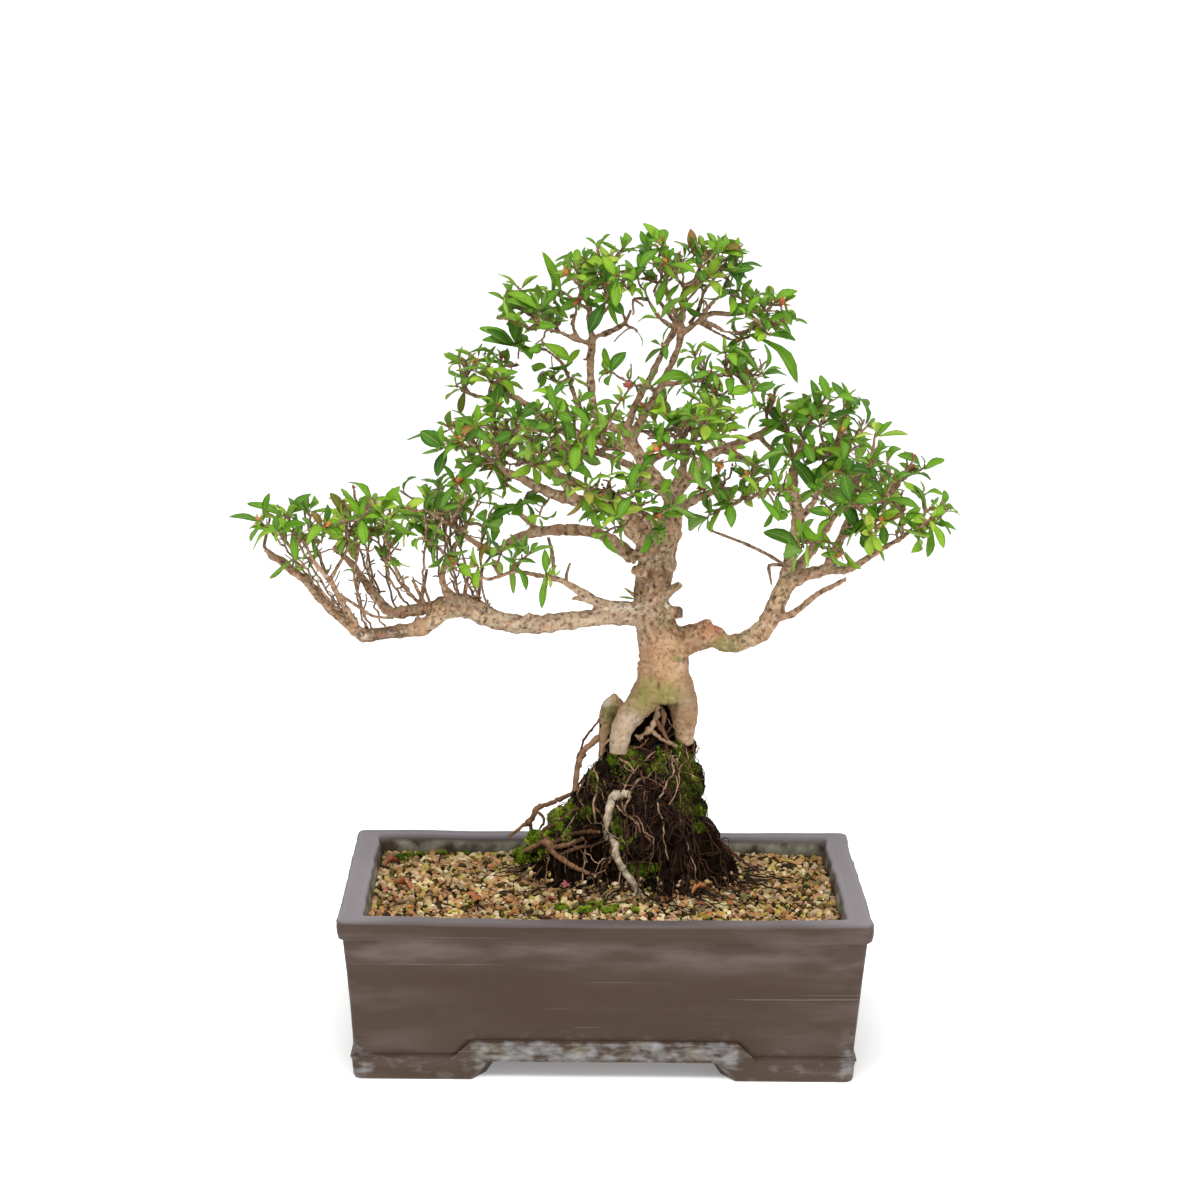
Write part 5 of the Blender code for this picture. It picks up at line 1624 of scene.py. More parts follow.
def cluster_leaves(copies, point, axis, look, source):
    """A rosette: small upright leaves in the middle, larger spreading ones round them."""
    count, tone, scale = LOOKS[look]
    count += source.choice((-1, 0, 0, 1)) if count else 0
    axis = (axis + jitter(source, 0.26)).normalized()
    first = source.uniform(0, math.tau)
    side = axis.orthogonal().normalized()
    other = axis.cross(side)
    for i in range(count):
        t = i / max(count - 1, 1)
        angle = first + i * LEAF_TURN + source.gauss(0, 0.25)
        out = side * math.cos(angle) + other * math.sin(angle)
        tilt = math.radians(lerp(34, 88, t) + source.gauss(0, 9))
        way = axis * math.cos(tilt) + out * math.sin(tilt)
        length = lerp(SMALL[0], BIG[0], min(t * 1.3, 1)) * scale * source.uniform(0.7, 1.2) * MM
        width = lerp(SMALL[1], BIG[1], min(t * 1.3, 1)) * scale * source.uniform(0.8, 1.2) * MM
        normal = (axis + UP * 0.5 - out * 0.25).normalized()
        normal += jitter(source, 0.22)
        base = point - axis * (1.6 * MM * t) + way * 0.6 * MM
        length = keep_in_box(base, way, length)
        shade = clamp(tone + source.gauss(0, 0.13) + (0.12 if i < 2 else 0.0))
        age = source.uniform(0.5, 0.9) if source.random() < 0.012 else 0.0
        copies.add(base, way, normal, (length, width, length), source.randrange(len(LEAF_FORMS)), shade, age)


def twig_leaves(copies, run, crown, source):
    """A few smaller leaves set along the last stretch of a twig."""
    for index in run[len(run) // 2 : -1]:
        if source.random() > 0.16 or crown.flow[index] > 3:
            continue
        here = Vector(crown.spots[index])
        aim = Vector(crown.aims[index])
        out = aim.cross(jitter(source, 1)).normalized()
        way = (out + aim * source.uniform(0.2, 0.9) + UP * 0.25).normalized()
        length = keep_in_box(here, way, source.uniform(8, 15) * MM)
        normal = (UP + aim * 0.4 + jitter(source, 0.3)).normalized()
        width = length * source.uniform(0.3, 0.38)
        copies.add(
            here, way, normal, (length, width, length), source.randrange(len(LEAF_FORMS)),
            clamp(source.gauss(0.42, 0.15)),
        )


LEAF_MARGIN = (15 * MM, 11 * MM, 14 * MM)


def keep_in_box(base, way, length):
    """Shortens a leaf that would stand too far out of the CAD's box."""
    low, high = CAD_BOX
    for axis in range(3):
        tip = base[axis] + way[axis] * length
        if way[axis] > 0 and tip > high[axis] + LEAF_MARGIN[axis]:
            length = min(length, (high[axis] + LEAF_MARGIN[axis] - base[axis]) / way[axis])
        if way[axis] < 0 and tip < low[axis] - LEAF_MARGIN[axis]:
            length = min(length, (low[axis] - LEAF_MARGIN[axis] - base[axis]) / way[axis])
    return max(length, 4 * MM)


def nearest_twig(crown, base, depth):
    """The point on a twig that is seen nearest to a reading, and at about this depth."""
    spots = np.array(crown.spots[crown.wood:])
    eye = np.array(EYE)
    on_plane = eye + (spots - eye) * (eye[1] / (eye[1] - spots[:, 1]))[:, None]
    across = np.hypot(on_plane[:, 0] / MM - base[0], on_plane[:, 2] / MM - base[1])
    return Vector(spots[(across + 0.1 * abs(spots[:, 1] / MM - depth)).argmin()])


def drawn_leaf(copies, pad, crown, base, tip, width, tone, source):
    depth = pad.depth_at(*base, source)
    start = seen(base[0], SPROUT_DEPTH, base[1]) if base == SPROUT else nearest_twig(crown, base, depth)
    depth = start.y / MM
    end = seen(tip[0], depth + source.uniform(-3, 3), tip[1])
    facing = (EYE - start).normalized() * 0.75 + UP * 0.7
    length = (end - start).length
    size = (length, width * MM, length)
    age = -tone if tone < 0 else 0.0
    copies.add(start, end - start, facing, size, source.randrange(len(LEAF_FORMS)), max(tone, 0.2), age)


def bud_shape(name, scales, spread):
    """A knot of dry bud scales, spread like a small star, with its bud in the middle."""
    bm = bmesh.new()
    bmesh.ops.create_uvsphere(bm, u_segments=6, v_segments=4, radius=0.3)
    for vert in bm.verts:
        vert.co.z = vert.co.z * 1.7 + 0.3
    for i in range(scales):
        angle = math.tau * i / scales + 0.3 * math.sin(i * 5)
        out = level_way(angle)
        side = Vector((-out.y, out.x, 0)) * 0.15
        rise = spread * (0.7 + 0.3 * math.cos(i * 3))
        base = bm.verts.new(out * 0.12)
        left = bm.verts.new(out * 0.55 + side + UP * rise * 0.5)
        right = bm.verts.new(out * 0.55 - side + UP * rise * 0.5)
        tip = bm.verts.new(out * 1.05 + UP * rise * 0.8)
        back = bm.verts.new(out * 0.55 + UP * (rise * 0.5 - 0.1))
        for corners in (
            (base, right, left), (left, right, tip), (base, left, back), (base, back, right),
            (left, tip, back), (back, tip, right),
        ):
            bm.faces.new(corners)
    return outward_object(bm, name)


def pad_leaves(pad, crown):
    """Every leaf of a pad: its rosettes, the leaves along their twigs and those drawn one by one."""
    source = seeded("leaves " + pad.name)
    copies = Copies()
    for point, look in pad.clusters:
        cluster_leaves(copies, point, pad.outward(point), look, source)
    for run, name in crown.runs:
        if name == pad.name:
            twig_leaves(copies, run, crown, source)
    for name, base, tip, width, tone in DRAWN_LEAVES:
        if name == pad.name:
            drawn_leaf(copies, pad, crown, base, tip, width, tone, source)
    return copies


BUD_TONES = {"o": (0.45, 0.75), "p": (0.85, 1.0), "s": (0.3, 0.6), "y": (0.3, 0.6)}


def buds(pads, shapes, finish):
    copies = Copies()
    source = seeded("buds")
    for pad in pads:
        for point, look in pad.clusters:
            shown = look in "op"
            if not shown and source.random() < 0.35:
                continue
            axis = (pad.outward(point) + jitter(source, 0.2)).normalized()
            size = source.uniform(4.4, 6.0) * MM if shown else source.uniform(1.8, 2.8) * MM
            tone = source.uniform(*BUD_TONES.get(look, (0.1, 0.5)))
            kind = source.choice((0, 1)) if shown else source.randrange(3)
            copies.add(point + axis * 0.6 * MM, axis.orthogonal(), axis, (size, size, size), kind, tone)
    return copies.scatter("bud_scales", shapes, finish)


# Pot, on the CAD's own dimensions
POT_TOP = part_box("pot")[1]
POT_HALF = (POT_TOP.x / MM, POT_TOP.y / MM)
POT_HEIGHT = POT_TOP.z / MM
RIM_WIDTH = 13
LIP_HEIGHT = 11.5
LIP_OVERHANG = 3
WALL_INSET_AT_GROUND = 9.6
CAVITY_TAPER = 8
FLOOR_TOP = 19
FOOT_HEIGHT = 10.5
FOOT_WALL = 14
FRONT_CUT = (70, 61.5)
SIDE_CUT = (44, 38)
MOULDING_PROUD = 1.2
MOULDING_LOW = 13.5
MOULDING_HIGH = 22
MOULDING_SLOPE = 9
DRAIN_X = 62
DRAIN_RADIUS = 9
CORNER = 3.4
CORNER_STEPS = 5
POT_STEP = 3.0
WALL_STEPS = 16
DRILL_LENGTH = 60
DRILL_MIDDLE_Z = 15
SHARP_ANGLE = math.radians(50)


def wall_inset(z):
    return lerp(WALL_INSET_AT_GROUND, LIP_OVERHANG, z / (POT_HEIGHT - LIP_HEIGHT))


def side_stops(half, cut):
    """Where points stand along one side of the pot: at each turn of the foot and evenly between."""
    raised = cut[0] - 1
    turns = sorted({0.0, cut[1], raised, cut[0], raised + MOULDING_SLOPE, half - CORNER})
    stops = []
    for low, high in zip(turns, turns[1:]):
        count = max(1, round((high - low) / POT_STEP))
        stops += [lerp(low, high, i / count) for i in range(count)]
    stops.append(half - CORNER)
    return [-s for s in reversed(stops[1:])] + stops


def foot_line(place, cut):
    """Height of the pot's lower edge at this distance from the side's middle."""
    return FOOT_HEIGHT * clamp((cut[0] - abs(place)) / (cut[0] - cut[1]))


def moulding_line(place, cut):
    raised = cut[0] - 1
    return lerp(MOULDING_HIGH, MOULDING_LOW, clamp((abs(place) - raised) / MOULDING_SLOPE))


def pot_outline():
    """The pot's plan: for each point the side it is on, its share along it and its corner angle."""
    base = (POT_HALF[0] - WALL_INSET_AT_GROUND, POT_HALF[1] - WALL_INSET_AT_GROUND)
    plan = []
    for turn in range(4):
        cut = FRONT_CUT if turn % 2 == 0 else SIDE_CUT
        half = base[turn % 2]
        for stop in side_stops(half, cut):
            plan.append((turn, stop / (half - CORNER), stop, cut, None))
        for i in range(1, CORNER_STEPS):
            plan.append((turn, 1.0, half, cut, i / CORNER_STEPS))
    return plan


SIDE_WAYS = (Vector((1, 0, 0)), Vector((0, 1, 0)), Vector((-1, 0, 0)), Vector((0, -1, 0)))
SIDE_OUTS = (Vector((0, -1, 0)), Vector((1, 0, 0)), Vector((0, 1, 0)), Vector((-1, 0, 0)))


def plan_point(spot, half, corner):
    """A point of the pot's plan, in mm, for a ring of this half size."""
    turn, share, _, _, arc = spot
    along, out = SIDE_WAYS[turn], SIDE_OUTS[turn]
    length, depth = (half[0], half[1]) if turn % 2 == 0 else (half[1], half[0])
    if arc is None:
        return along * (share * (length - corner)) + out * depth
    angle = arc * math.pi / 2
    middle = along * (length - corner) + out * (depth - corner)
    return middle + along * (corner * math.sin(angle)) + out * (corner * math.cos(angle))


FOOT_ROUND = 3.0
CUT_ROUND = 0.9


def pot_sections():
    """The pot's profile from the floor inside, up over the rim and down the outside to the foot.

    Each row holds how far in it stands, from the rim's edge or else from the wall, its height at each
    spot of the plan, how much it is rim, lime and inside, and its corner radius.
    """
    rows = []

    def add(height, inset=None, proud=0.0, rim=0.0, lime=0.0, inside=0.0, corner=CORNER):
        rows.append((height, inset, proud, rim, lime, inside, corner))

    def fixed(z):
        return lambda spot: z

    def foot(rise):
        def height(spot):
            edge = foot_line(spot[2], spot[3])
            return edge + rise * lerp(FOOT_ROUND, CUT_ROUND, edge / FOOT_HEIGHT)
        return height

    for z in (FLOOR_TOP, 40, 60, 72, 76, 79, 82, 84.5):
        inset = RIM_WIDTH + CAVITY_TAPER * (POT_HEIGHT - z) / (POT_HEIGHT - FLOOR_TOP)
        add(fixed(z), inset, inside=1.0, corner=7.0)
    top = POT_HEIGHT
    for inset, drop, rim in (
        (RIM_WIDTH + 0.2, 2.2, 0.4), (RIM_WIDTH - 0.2, 1.0, 0.8), (RIM_WIDTH - 1.0, 0.3, 1.0),
        (RIM_WIDTH - 2.4, 0.1, 1.0), (9, 0.15, 0.9), (6.5, 0.1, 0.9), (4, 0.0, 0.9), (2.2, 0.05, 1.0),
        (1.0, 0.3, 0.9), (0.3, 0.9, 0.4), (0.0, 1.8, 0.0), (-0.1, 4, 0.0), (0.0, 6, 0.0), (0.15, 7.4, 0.0),
        (0.6, 9.2, 0.0), (1.3, 10.4, 0.05), (2.2, 11.2, 0.0),
        (LIP_OVERHANG - 0.1, LIP_HEIGHT, 0.0),
    ):
        add(fixed(top - drop), inset, rim=rim, corner=4.0)
    under = top - LIP_HEIGHT
    for i in range(WALL_STEPS + 1):
        def wall(spot, t=i / WALL_STEPS):
            return lerp(under - 0.9, moulding_line(spot[2], spot[3]) + 1.0, t)
        add(wall, lime=max(0.0, i - WALL_STEPS + 2) * 0.3)
    for proud, rise, lime in (
        (-0.3, 0.6, 0.5), (0.2, 0.15, 0.8), (1.3, -0.1, 1.0), (1.9, -0.6, 1.2), (1.9, -1.3, 1.1),
        (1.5, -2.0, 0.8),
    ):
        def ledge(spot, rise=rise):
            return moulding_line(spot[2], spot[3]) + rise
        add(ledge, proud=proud, lime=lime)
    for i in range(1, 5):
        def apron(spot, t=i / 5):
            return lerp(moulding_line(spot[2], spot[3]) - 2.0, foot(1.0)(spot), t)
        add(apron, proud=MOULDING_PROUD, lime=0.95)
    for proud, rise, lime in (
        (1.1, 0.62, 0.6), (0.7, 0.3, 0.7), (0.0, 0.1, 0.8), (-1.2, 0.0, 0.7), (-5, 0, 0.6),
        (-FOOT_WALL, 0, 0.5),
    ):
        add(foot(rise), proud=proud, lime=lime)
    add(fixed(FOOT_HEIGHT + 0.7), proud=-FOOT_WALL - 0.6, lime=0.3)
    return rows


def pot(settings):
    """The pot as one closed skin, with soft corners, hand-made waves and its moulding and feet."""
    plan = pot_outline()
    bm = bmesh.new()
    marks = {name: bm.verts.layers.float.new(name) for name in ("rim", "lime", "inside", "film", "damp")}
    rings = []
    for height, inset, proud, rim, lime, inside, corner in pot_sections():
        ring = []
        for spot in plan:
            turn, share, along, cut, _ = spot
            z = height(spot)
            use = wall_inset(max(z, 0)) - proud if inset is None else inset
            point = plan_point(spot, (POT_HALF[0] - use, POT_HALF[1] - use), corner)
            wave = noise.noise(Vector((point.x, point.y, z)) / 38) * 0.7
            wave += noise.noise(Vector((point.x, point.y, z * 2.5)) / 9) * 0.14
            if inside:
                uneven = 1.7 if turn % 2 else 0.7
                wave += noise.noise(Vector((point.x, point.y, 3)) / 17) * uneven * clamp((z - 60) / 20)
            lift = 0.0
            if z > FOOT_HEIGHT + 2:
                front = clamp(-point.y / POT_HALF[1])
                sag = settings.sag / MM * (1 - (point.x / POT_HALF[0]) ** 2) * (0.35 + 0.65 * front)
                lift = (noise.noise(Vector((point.x, point.y, 0)) / 30) * 0.4 - sag) * clamp((z - 70) / 18)
            if rim and turn % 2:
                wave += noise.noise(Vector((point.y, 7, 3)) / 15) * 1.0
            shift = SIDE_OUTS[turn] * wave * (0.0 if z < 3 else 1.0)
            vert = bm.verts.new((point + shift + Vector((0, 0, z + lift))) * MM)
            near_corner = clamp((abs(share) - 0.94) / 0.06) * (1 - inside)
            over_cut = clamp((cut[0] - abs(along)) / 5) * clamp((MOULDING_HIGH + 1 - z) / 2)
            vert[marks["rim"]] = rim * (0.45 + 0.55 * clamp(abs(share) * 4 - 3) if turn == 0 else 1.0)
            vert[marks["lime"]] = clamp(
                lime * lerp(0.24, 1.0, over_cut) + 0.5 * near_corner * clamp((34 - z) / 20)
            )
            lip = clamp((z - POT_HEIGHT + LIP_HEIGHT) / 2) * clamp(1.7 - 1.6 * abs(share)) * 0.95
            at_ends = clamp(abs(share) * 1.6 - 0.95) * 0.8
            vert[marks["film"]] = (clamp((z - 58) / 12) * (1 - lip) + at_ends) * (1 - inside)
            vert[marks["inside"]] = inside
            vert[marks["damp"]] = inside * clamp((84 - z) / 5)
            ring.append(vert)
        rings.append(ring)
    for low, high in zip(rings, rings[1:]):
        for i in range(len(plan)):
            j = (i + 1) % len(plan)
            bm.faces.new((low[i], high[i], high[j], low[j]))
    bm.faces.new(rings[0])
    bm.faces.new(rings[-1])
    made = outward_object(bm, "pot_body")
    drills = []
    for x in (-DRAIN_X, DRAIN_X):
        drill = bmesh.new()
        bmesh.ops.create_cone(
            drill, cap_ends=True, segments=40, radius1=DRAIN_RADIUS * MM, radius2=DRAIN_RADIUS * MM,
            depth=DRILL_LENGTH * MM,
        )
        bmesh.ops.translate(drill, verts=drill.verts, vec=(x * MM, 0, DRILL_MIDDLE_Z * MM))
        drills.append(object_from(drill, "drill"))
        cut = made.modifiers.new("drain", "BOOLEAN")
        cut.operation = "DIFFERENCE"
        cut.object = drills[-1]
    settled(made)
    remove(drills)
    dress(made, pot_finish(settings))
    made.data.shade_smooth()
    made.data.set_sharp_from_angle(angle=SHARP_ANGLE)
    return made


# Soil, its grains and what lies on them
SOIL_GAP = 0.7
SOIL_STEP = 2.0
SOIL_SUNK = 1.6
SOIL_FLOOR = 23
STONE_SHAPES = 6


def cavity_half(z):
    t = (POT_HEIGHT - z) / (POT_HEIGHT - FLOOR_TOP)
    return [POT_HALF[i] - RIM_WIDTH - CAVITY_TAPER * t for i in range(2)]


def soil_bed(finish):
    """The packed soil under the loose grains, as a closed block with a bumpy top."""
    half = [v - SOIL_GAP for v in cavity_half(SOIL_EDGE_Z)]
    counts = [round(2 * v / SOIL_STEP) for v in half]
    bm = bmesh.new()
    bmesh.ops.create_grid(bm, x_segments=counts[0], y_segments=counts[1], size=1)
    open_layer = bm.verts.layers.float.new("open")
    for vert in bm.verts:
        x, y = vert.co.x * half[0] * MM, vert.co.y * half[1] * MM
        bump = noise.noise(Vector((x, y, 0)) / (7 * MM)) * 0.9
        bump += noise.noise(Vector((x, y, 0.5)) / (2.5 * MM)) * 0.5
        vert.co = Vector((x, y, soil_z(x, y) + (bump - SOIL_SUNK) * MM))
        clear = mound_excess(Vector((x, y, MOUND_FOOT_Z * MM))) / MM
        vert[open_layer] = 1.0 if clear > -5 else 0.0
    rim = [edge for edge in bm.edges if edge.is_boundary]
    walls = bmesh.ops.extrude_edge_only(bm, edges=rim)["geom"]
    bottom = [v - SOIL_GAP for v in cavity_half(SOIL_FLOOR)]
    for vert in walls:
        if isinstance(vert, bmesh.types.BMVert):
            vert.co.x *= bottom[0] / half[0]
            vert.co.y *= bottom[1] / half[1]
            vert.co.z = SOIL_FLOOR * MM
            vert[open_layer] = 0.0
    bmesh.ops.contextual_create(bm, geom=[e for e in walls if isinstance(e, bmesh.types.BMEdge)])
    made = outward_object(bm, "soil_bed")
    dress(made, finish)
    return made


def stone_shape(name, number, cuts):
    """An uneven grain about 2 units across, of a few dozen faces."""
    source = seeded(name)
    bm = bmesh.new()
    if cuts:
        bmesh.ops.create_cube(bm, size=1.5)
        bmesh.ops.subdivide_edges(bm, edges=bm.edges[:], cuts=1, use_grid_fill=True)
    else:
        bmesh.ops.create_icosphere(bm, subdivisions=1, radius=1)
    for vert in bm.verts:
        away = vert.co.normalized()
        vert.co = away * lerp(vert.co.length, 1.0, 0.5) * source.uniform(0.74, 1.16)
    return outward_object(bm, f"{name}_{number}", smooth=False)


def grains(bed, name, shapes, finish, sizes, seed):
    """Grains over the bed, with their spacing, least and greatest half width, and how far they sink."""
    spacing, smallest, largest, sunk = sizes
    copy = object_of(name, bed.data.copy())
    return grown(
        copy, shared("grains"), Shapes=shapes, Spacing=spacing, Smallest=smallest, Largest=largest, Sunk=sunk,
        Seed=seed, Material=finish,
    )


FOOT_GRAINS = 260


def foot_grains(clump, shapes, finish):
    """Grains that lie against the foot of the root mass."""
    source = seeded("foot grains")
    copies = Copies()
    while len(copies.points) < FOOT_GRAINS:
        angle = source.uniform(0, math.tau)
        guess = mound_point(angle, source.triangular(82, 92, 83.5), 1)
        spot, normal = clump.snap(guess)
        size = source.triangular(0.8, 2.2, 1.2) * MM
        lean = (normal + jitter(source, 0.6)).normalized()
        sizes = (size, size * source.uniform(0.7, 1), size * source.uniform(0.6, 0.9))
        copies.add(
            spot + normal * size * 0.1, lean.orthogonal(), lean, sizes, source.randrange(STONE_SHAPES),
            source.random(),
        )
    return copies.scatter("foot_grains", shapes, finish)


MOUND_SIDES = 96
MOUND_RINGS = 40
MOUND_VOXEL = 1.25 * MM
MOUND_CLODS = 46
MOUND_SET_BACK = -1.6

# Lumps that fill the crotch and break the outline, as (x, depth, z, radius) readings
CLODS = (
    (27, 8, 173, 8), (23, 7, 178, 6), (33, 9, 173, 8), (28, 13, 182, 6.5), (33, 12, 180, 6), (24, 13, 183, 5),
    (14, 10, 168, 8), (42, 8, 160, 8), (24, 4, 165, 9), (47, 5, 147, 7), (49, 4, 140, 6), (4, 10, 158, 7),
    (1, 10, 166, 5.5), (0, 10, 174, 4.5), (-7, 8, 140, 6), (-14, 6, 131, 5), (-24, 12, 120, 7),
    (-36, 16, 108, 6), (-45, 18, 99, 5), (10, -4, 152, 6), (52, 4, 126, 5), (56, 2, 112, 5),
    (14, -12, 128, 6), (-6, -14, 112, 6), (20, -20, 104, 7), (40, -14, 112, 6), (64, 6, 98, 5),
)


class Clump:
    """The finished surface of the root mass, for what lies on it."""

    def __init__(self, made):
        mesh = made.data
        self.tree = bvhtree.BVHTree.FromPolygons([v.co for v in mesh.vertices], [
            tuple(p.vertices) for p in mesh.polygons
        ])

    def snap(self, point):
        spot, normal, _, _ = self.tree.find_nearest(point)
        return spot, normal

    def ahead(self, x, z):
        """Where the line of sight through a reading meets the surface."""
        on_plane = Vector((x, 0, z)) * MM
        spot, normal, _, _ = self.tree.ray_cast(EYE, (on_plane - EYE).normalized())
        return spot, normal


def root_mass(finish):
    """The dark clump of old soil and matted roots under the trunk, lumpy and broken up."""
    source = seeded("clods")
    bm = bmesh.new()
    rings = []
    for step in range(MOUND_RINGS):
        z = lerp(MOUND_BOTTOM_Z, MOUND_TOP_Z, step / (MOUND_RINGS - 1))
        angles = [math.tau * side / MOUND_SIDES for side in range(MOUND_SIDES)]
        rings.append([bm.verts.new(mound_point(angle, z, MOUND_SET_BACK)) for angle in angles])
    for low, high in zip(rings, rings[1:]):
        for side in range(MOUND_SIDES):
            after = (side + 1) % MOUND_SIDES
            bm.faces.new((low[side], low[after], high[after], high[side]))
    bm.faces.new(list(reversed(rings[0])))
    bm.faces.new(rings[-1])
    clods = [(seen(x, depth, z), radius) for x, depth, z, radius in CLODS]
    for _ in range(MOUND_CLODS):
        angle, z = source.uniform(0, math.tau), source.uniform(86, 156)
        radius = source.uniform(3, 7)
        clods.append((mound_point(angle, z, -radius * 0.75), radius))
    for spot, radius in clods:
        bmesh.ops.create_icosphere(bm, subdivisions=2, radius=radius * MM, matrix=Matrix.Translation(spot))
    made = object_from(bm, "root_clump")
    skin_over(made, MOUND_VOXEL)
    settled(made)
    mesh = made.data
    normals = [vert.normal.copy() for vert in mesh.vertices]
    bare = Clump(made)
    cushions = kdtree.KDTree(sum(len(spots) for spots in MOSS_ON_MASS.values()))
    reaches = []
    for x, z, reach in (spot for spots in MOSS_ON_MASS.values() for spot in spots):
        spot, _ = bare.ahead(x, z)
        cushions.insert(
            spot if spot is not None else bare.snap(seen(x, MOUND_CENTRE_FOOT[1], z))[0], len(reaches),
        )
        reaches.append(reach * MM)
    cushions.balance()
    mossy = []
    for vert, normal in zip(mesh.vertices, normals):
        co = vert.co.copy()
        near = max(1.25 - away / reaches[index] for _, index, away in cushions.find_n(co, 3))
        moss = clamp((near + 0.9 * noise.noise(co / (4.5 * MM)) + 0.3 * noise.noise(co / (1.6 * MM))) * 2.2)
        lumps = noise.noise(co / (6 * MM)) * 1.3 + noise.noise(co / (2.6 * MM)) * 1.1
        lift = lumps + noise.noise(co / (1.3 * MM)) * 0.5
        vert.co = co + normal * (lift - 0.3 + 0.6 * moss) * MM
        mossy.append(moss)
    give(mesh, "mossy", mossy)
    mesh.shade_smooth()
    dress(made, finish)
    return made


# Exposed roots. Those given by depth stand clear of the mass, and the others lie on it at a lift in mm.
ROOT_READINGS = {
    "root_arch_left": ("depth", 8, (
        (
            (4, 171.5, 1.6), (0, 168, 1.8), (-4, 165.6, 1.9), (-8, 162, 1.8), (-11.4, 158.6, 1.7),
            (-13.6, 154, 1.8), (-15, 149, 1.6), (-15.6, 143, 1.7), (-16, 138, 1.4), (-15, 131, 1.4),
        ),
        ((-3, 177, 0.5), (-7, 171, 0.6), (-11, 166, 0.7), (-13, 160, 0.6), (-16, 154, 0.4)),
    )),
    "root_crotch": ("depth", -2, (
        (
            (28.6, 184.6, 1.8), (27.4, 181.6, 1.2), (28.2, 179, 2), (26.6, 176, 1.1), (26, 173.6, 1.9),
            (25, 171, 1), (22.6, 169, 1.8), (20.4, 167.4, 0.9), (18.8, 166.2, 1.5), (16, 167.4, 0.7),
        ),
        ((22, 172, 1.2), (27, 168, 1.1), (31, 165, 1), (36, 162.6, 1.2), (39, 161, 1)),
        ((27, 176, 1.3), (30, 172, 1.5), (32, 168, 0.9), (35, 163, 0.8)),
        ((30, 184, 1), (31.6, 178, 1.4), (31, 172, 0.8)),
        ((21, 163, 0.9), (26, 158.4, 1.1), (30, 158, 1.2), (34, 155, 1), (36, 151, 0.8)),
        ((26, 158, 1), (27.6, 153, 0.9), (27, 147, 0.8)),
        (
            (22, 157, 0.9), (18.4, 156.6, 1), (16, 153, 1.3), (15, 148, 1.2), (13.6, 141, 1.1), (12, 133, 1),
            (10.8, 124, 0.9), (9, 116, 0.7),
        ),
        ((17, 155, 1), (18, 147, 0.9), (16.4, 139, 1), (14.6, 131, 0.8), (15, 122, 0.7), (13.6, 112, 0.6)),
    )),
    "root_pale_upper": ("lift", 1.8, (
        (
            (14, 134, 1.8), (11, 135.6, 2.5), (7.4, 134, 2.9), (4.4, 130.6, 2.6), (3.2, 127, 2.4),
            (2.6, 122, 2.2), (2.2, 117, 2.2), (1.6, 112, 1.8), (2.2, 108.6, 1.3),
        ),
    )),
    "root_pale_lower": ("lift", 1.8, (
        (
            (4, 112, 1.2), (5, 109, 1.6), (6, 105, 2), (7, 101, 2), (8.6, 96.6, 1.8), (10.5, 92, 2),
            (13, 88, 1.9), (15.5, 84.5, 2.1), (18.6, 80, 1.9), (21.4, 75, 1.5),
        ),
    )),
    "root_front_left": ("lift", 1.4, (
        (
            (-44, 101, 1.2), (-39, 104.6, 1.6), (-34, 107, 1.9), (-30, 106, 2.3), (-27.6, 101, 1.5),
            (-23, 97.4, 1.6), (-16.5, 93.4, 1.5), (-10, 90.5, 1.1), (-4.6, 88.6, 0.8),
        ),
        ((-30, 107, 1.6), (-34, 112, 1.6), (-29, 116, 1.1), (-22, 120, 1), (-14, 126, 0.9)),
        ((-29, 104, 1.3), (-20, 106, 1.2), (-11, 109, 1.1), (-3, 113, 0.8)),
        ((-28, 106, 1.1), (-18, 111, 1), (-8, 113, 1.1), (0, 112, 0.8)),
        ((-24, 100, 0.9), (-14, 104, 1), (-6, 105, 0.9), (2, 109, 0.7)),
    )),
    "root_knuckle_left": ("depth", 26, (
        (
            (-52, 110, 1.2), (-49, 112.4, 0.9), (-45, 115.6, 0.9), (-41.5, 118, 1.8), (-39, 121.5, 1.5),
            (-37, 125.6, 1.8), (-33, 127.4, 1.2), (-29, 129, 1.3), (-24, 131.4, 1.3), (-19, 134, 1.2),
            (-10, 139, 1.2),
        ),
        ((-41, 119, 1.2), (-40, 114, 1), (-41, 109, 0.7)),
        ((-36, 124, 0.9), (-33, 119, 0.8), (-36, 113, 0.5)),
    )),
    "root_right": ("depth", 10, (
        (
            (40, 131, 1.2), (45, 126.6, 1.5), (50, 123, 1.6), (55, 120.6, 1.5), (58.4, 116.6, 1.7),
            (60, 111, 1.8), (60.6, 104, 1.7), (60.6, 97, 1.4), (60.4, 90, 1.1),
        ),
        ((46, 133, 0.8), (51, 134, 1), (53.4, 138, 1), (52, 143, 0.7)),
        ((48, 124, 1), (53, 118, 0.9), (60, 112, 1), (68, 104, 0.9), (76, 97, 0.8), (85, 91, 0.6)),
        ((52, 121, 0.8), (56, 113, 0.8), (58, 104, 0.8), (66, 97, 0.8), (74, 90, 0.7)),
        ((44, 100, 1.1), (54, 97, 1), (64, 95, 1.1), (72, 91, 0.9), (80, 85, 0.7)),
        ((46, 96, 0.9), (56, 93, 0.9), (66, 89, 0.8), (73, 83, 0.6)),
    )),
}
ROOT_AGES = {"root_pale_upper": 1.0, "root_pale_lower": 0.95, "root_crotch": 0.78}


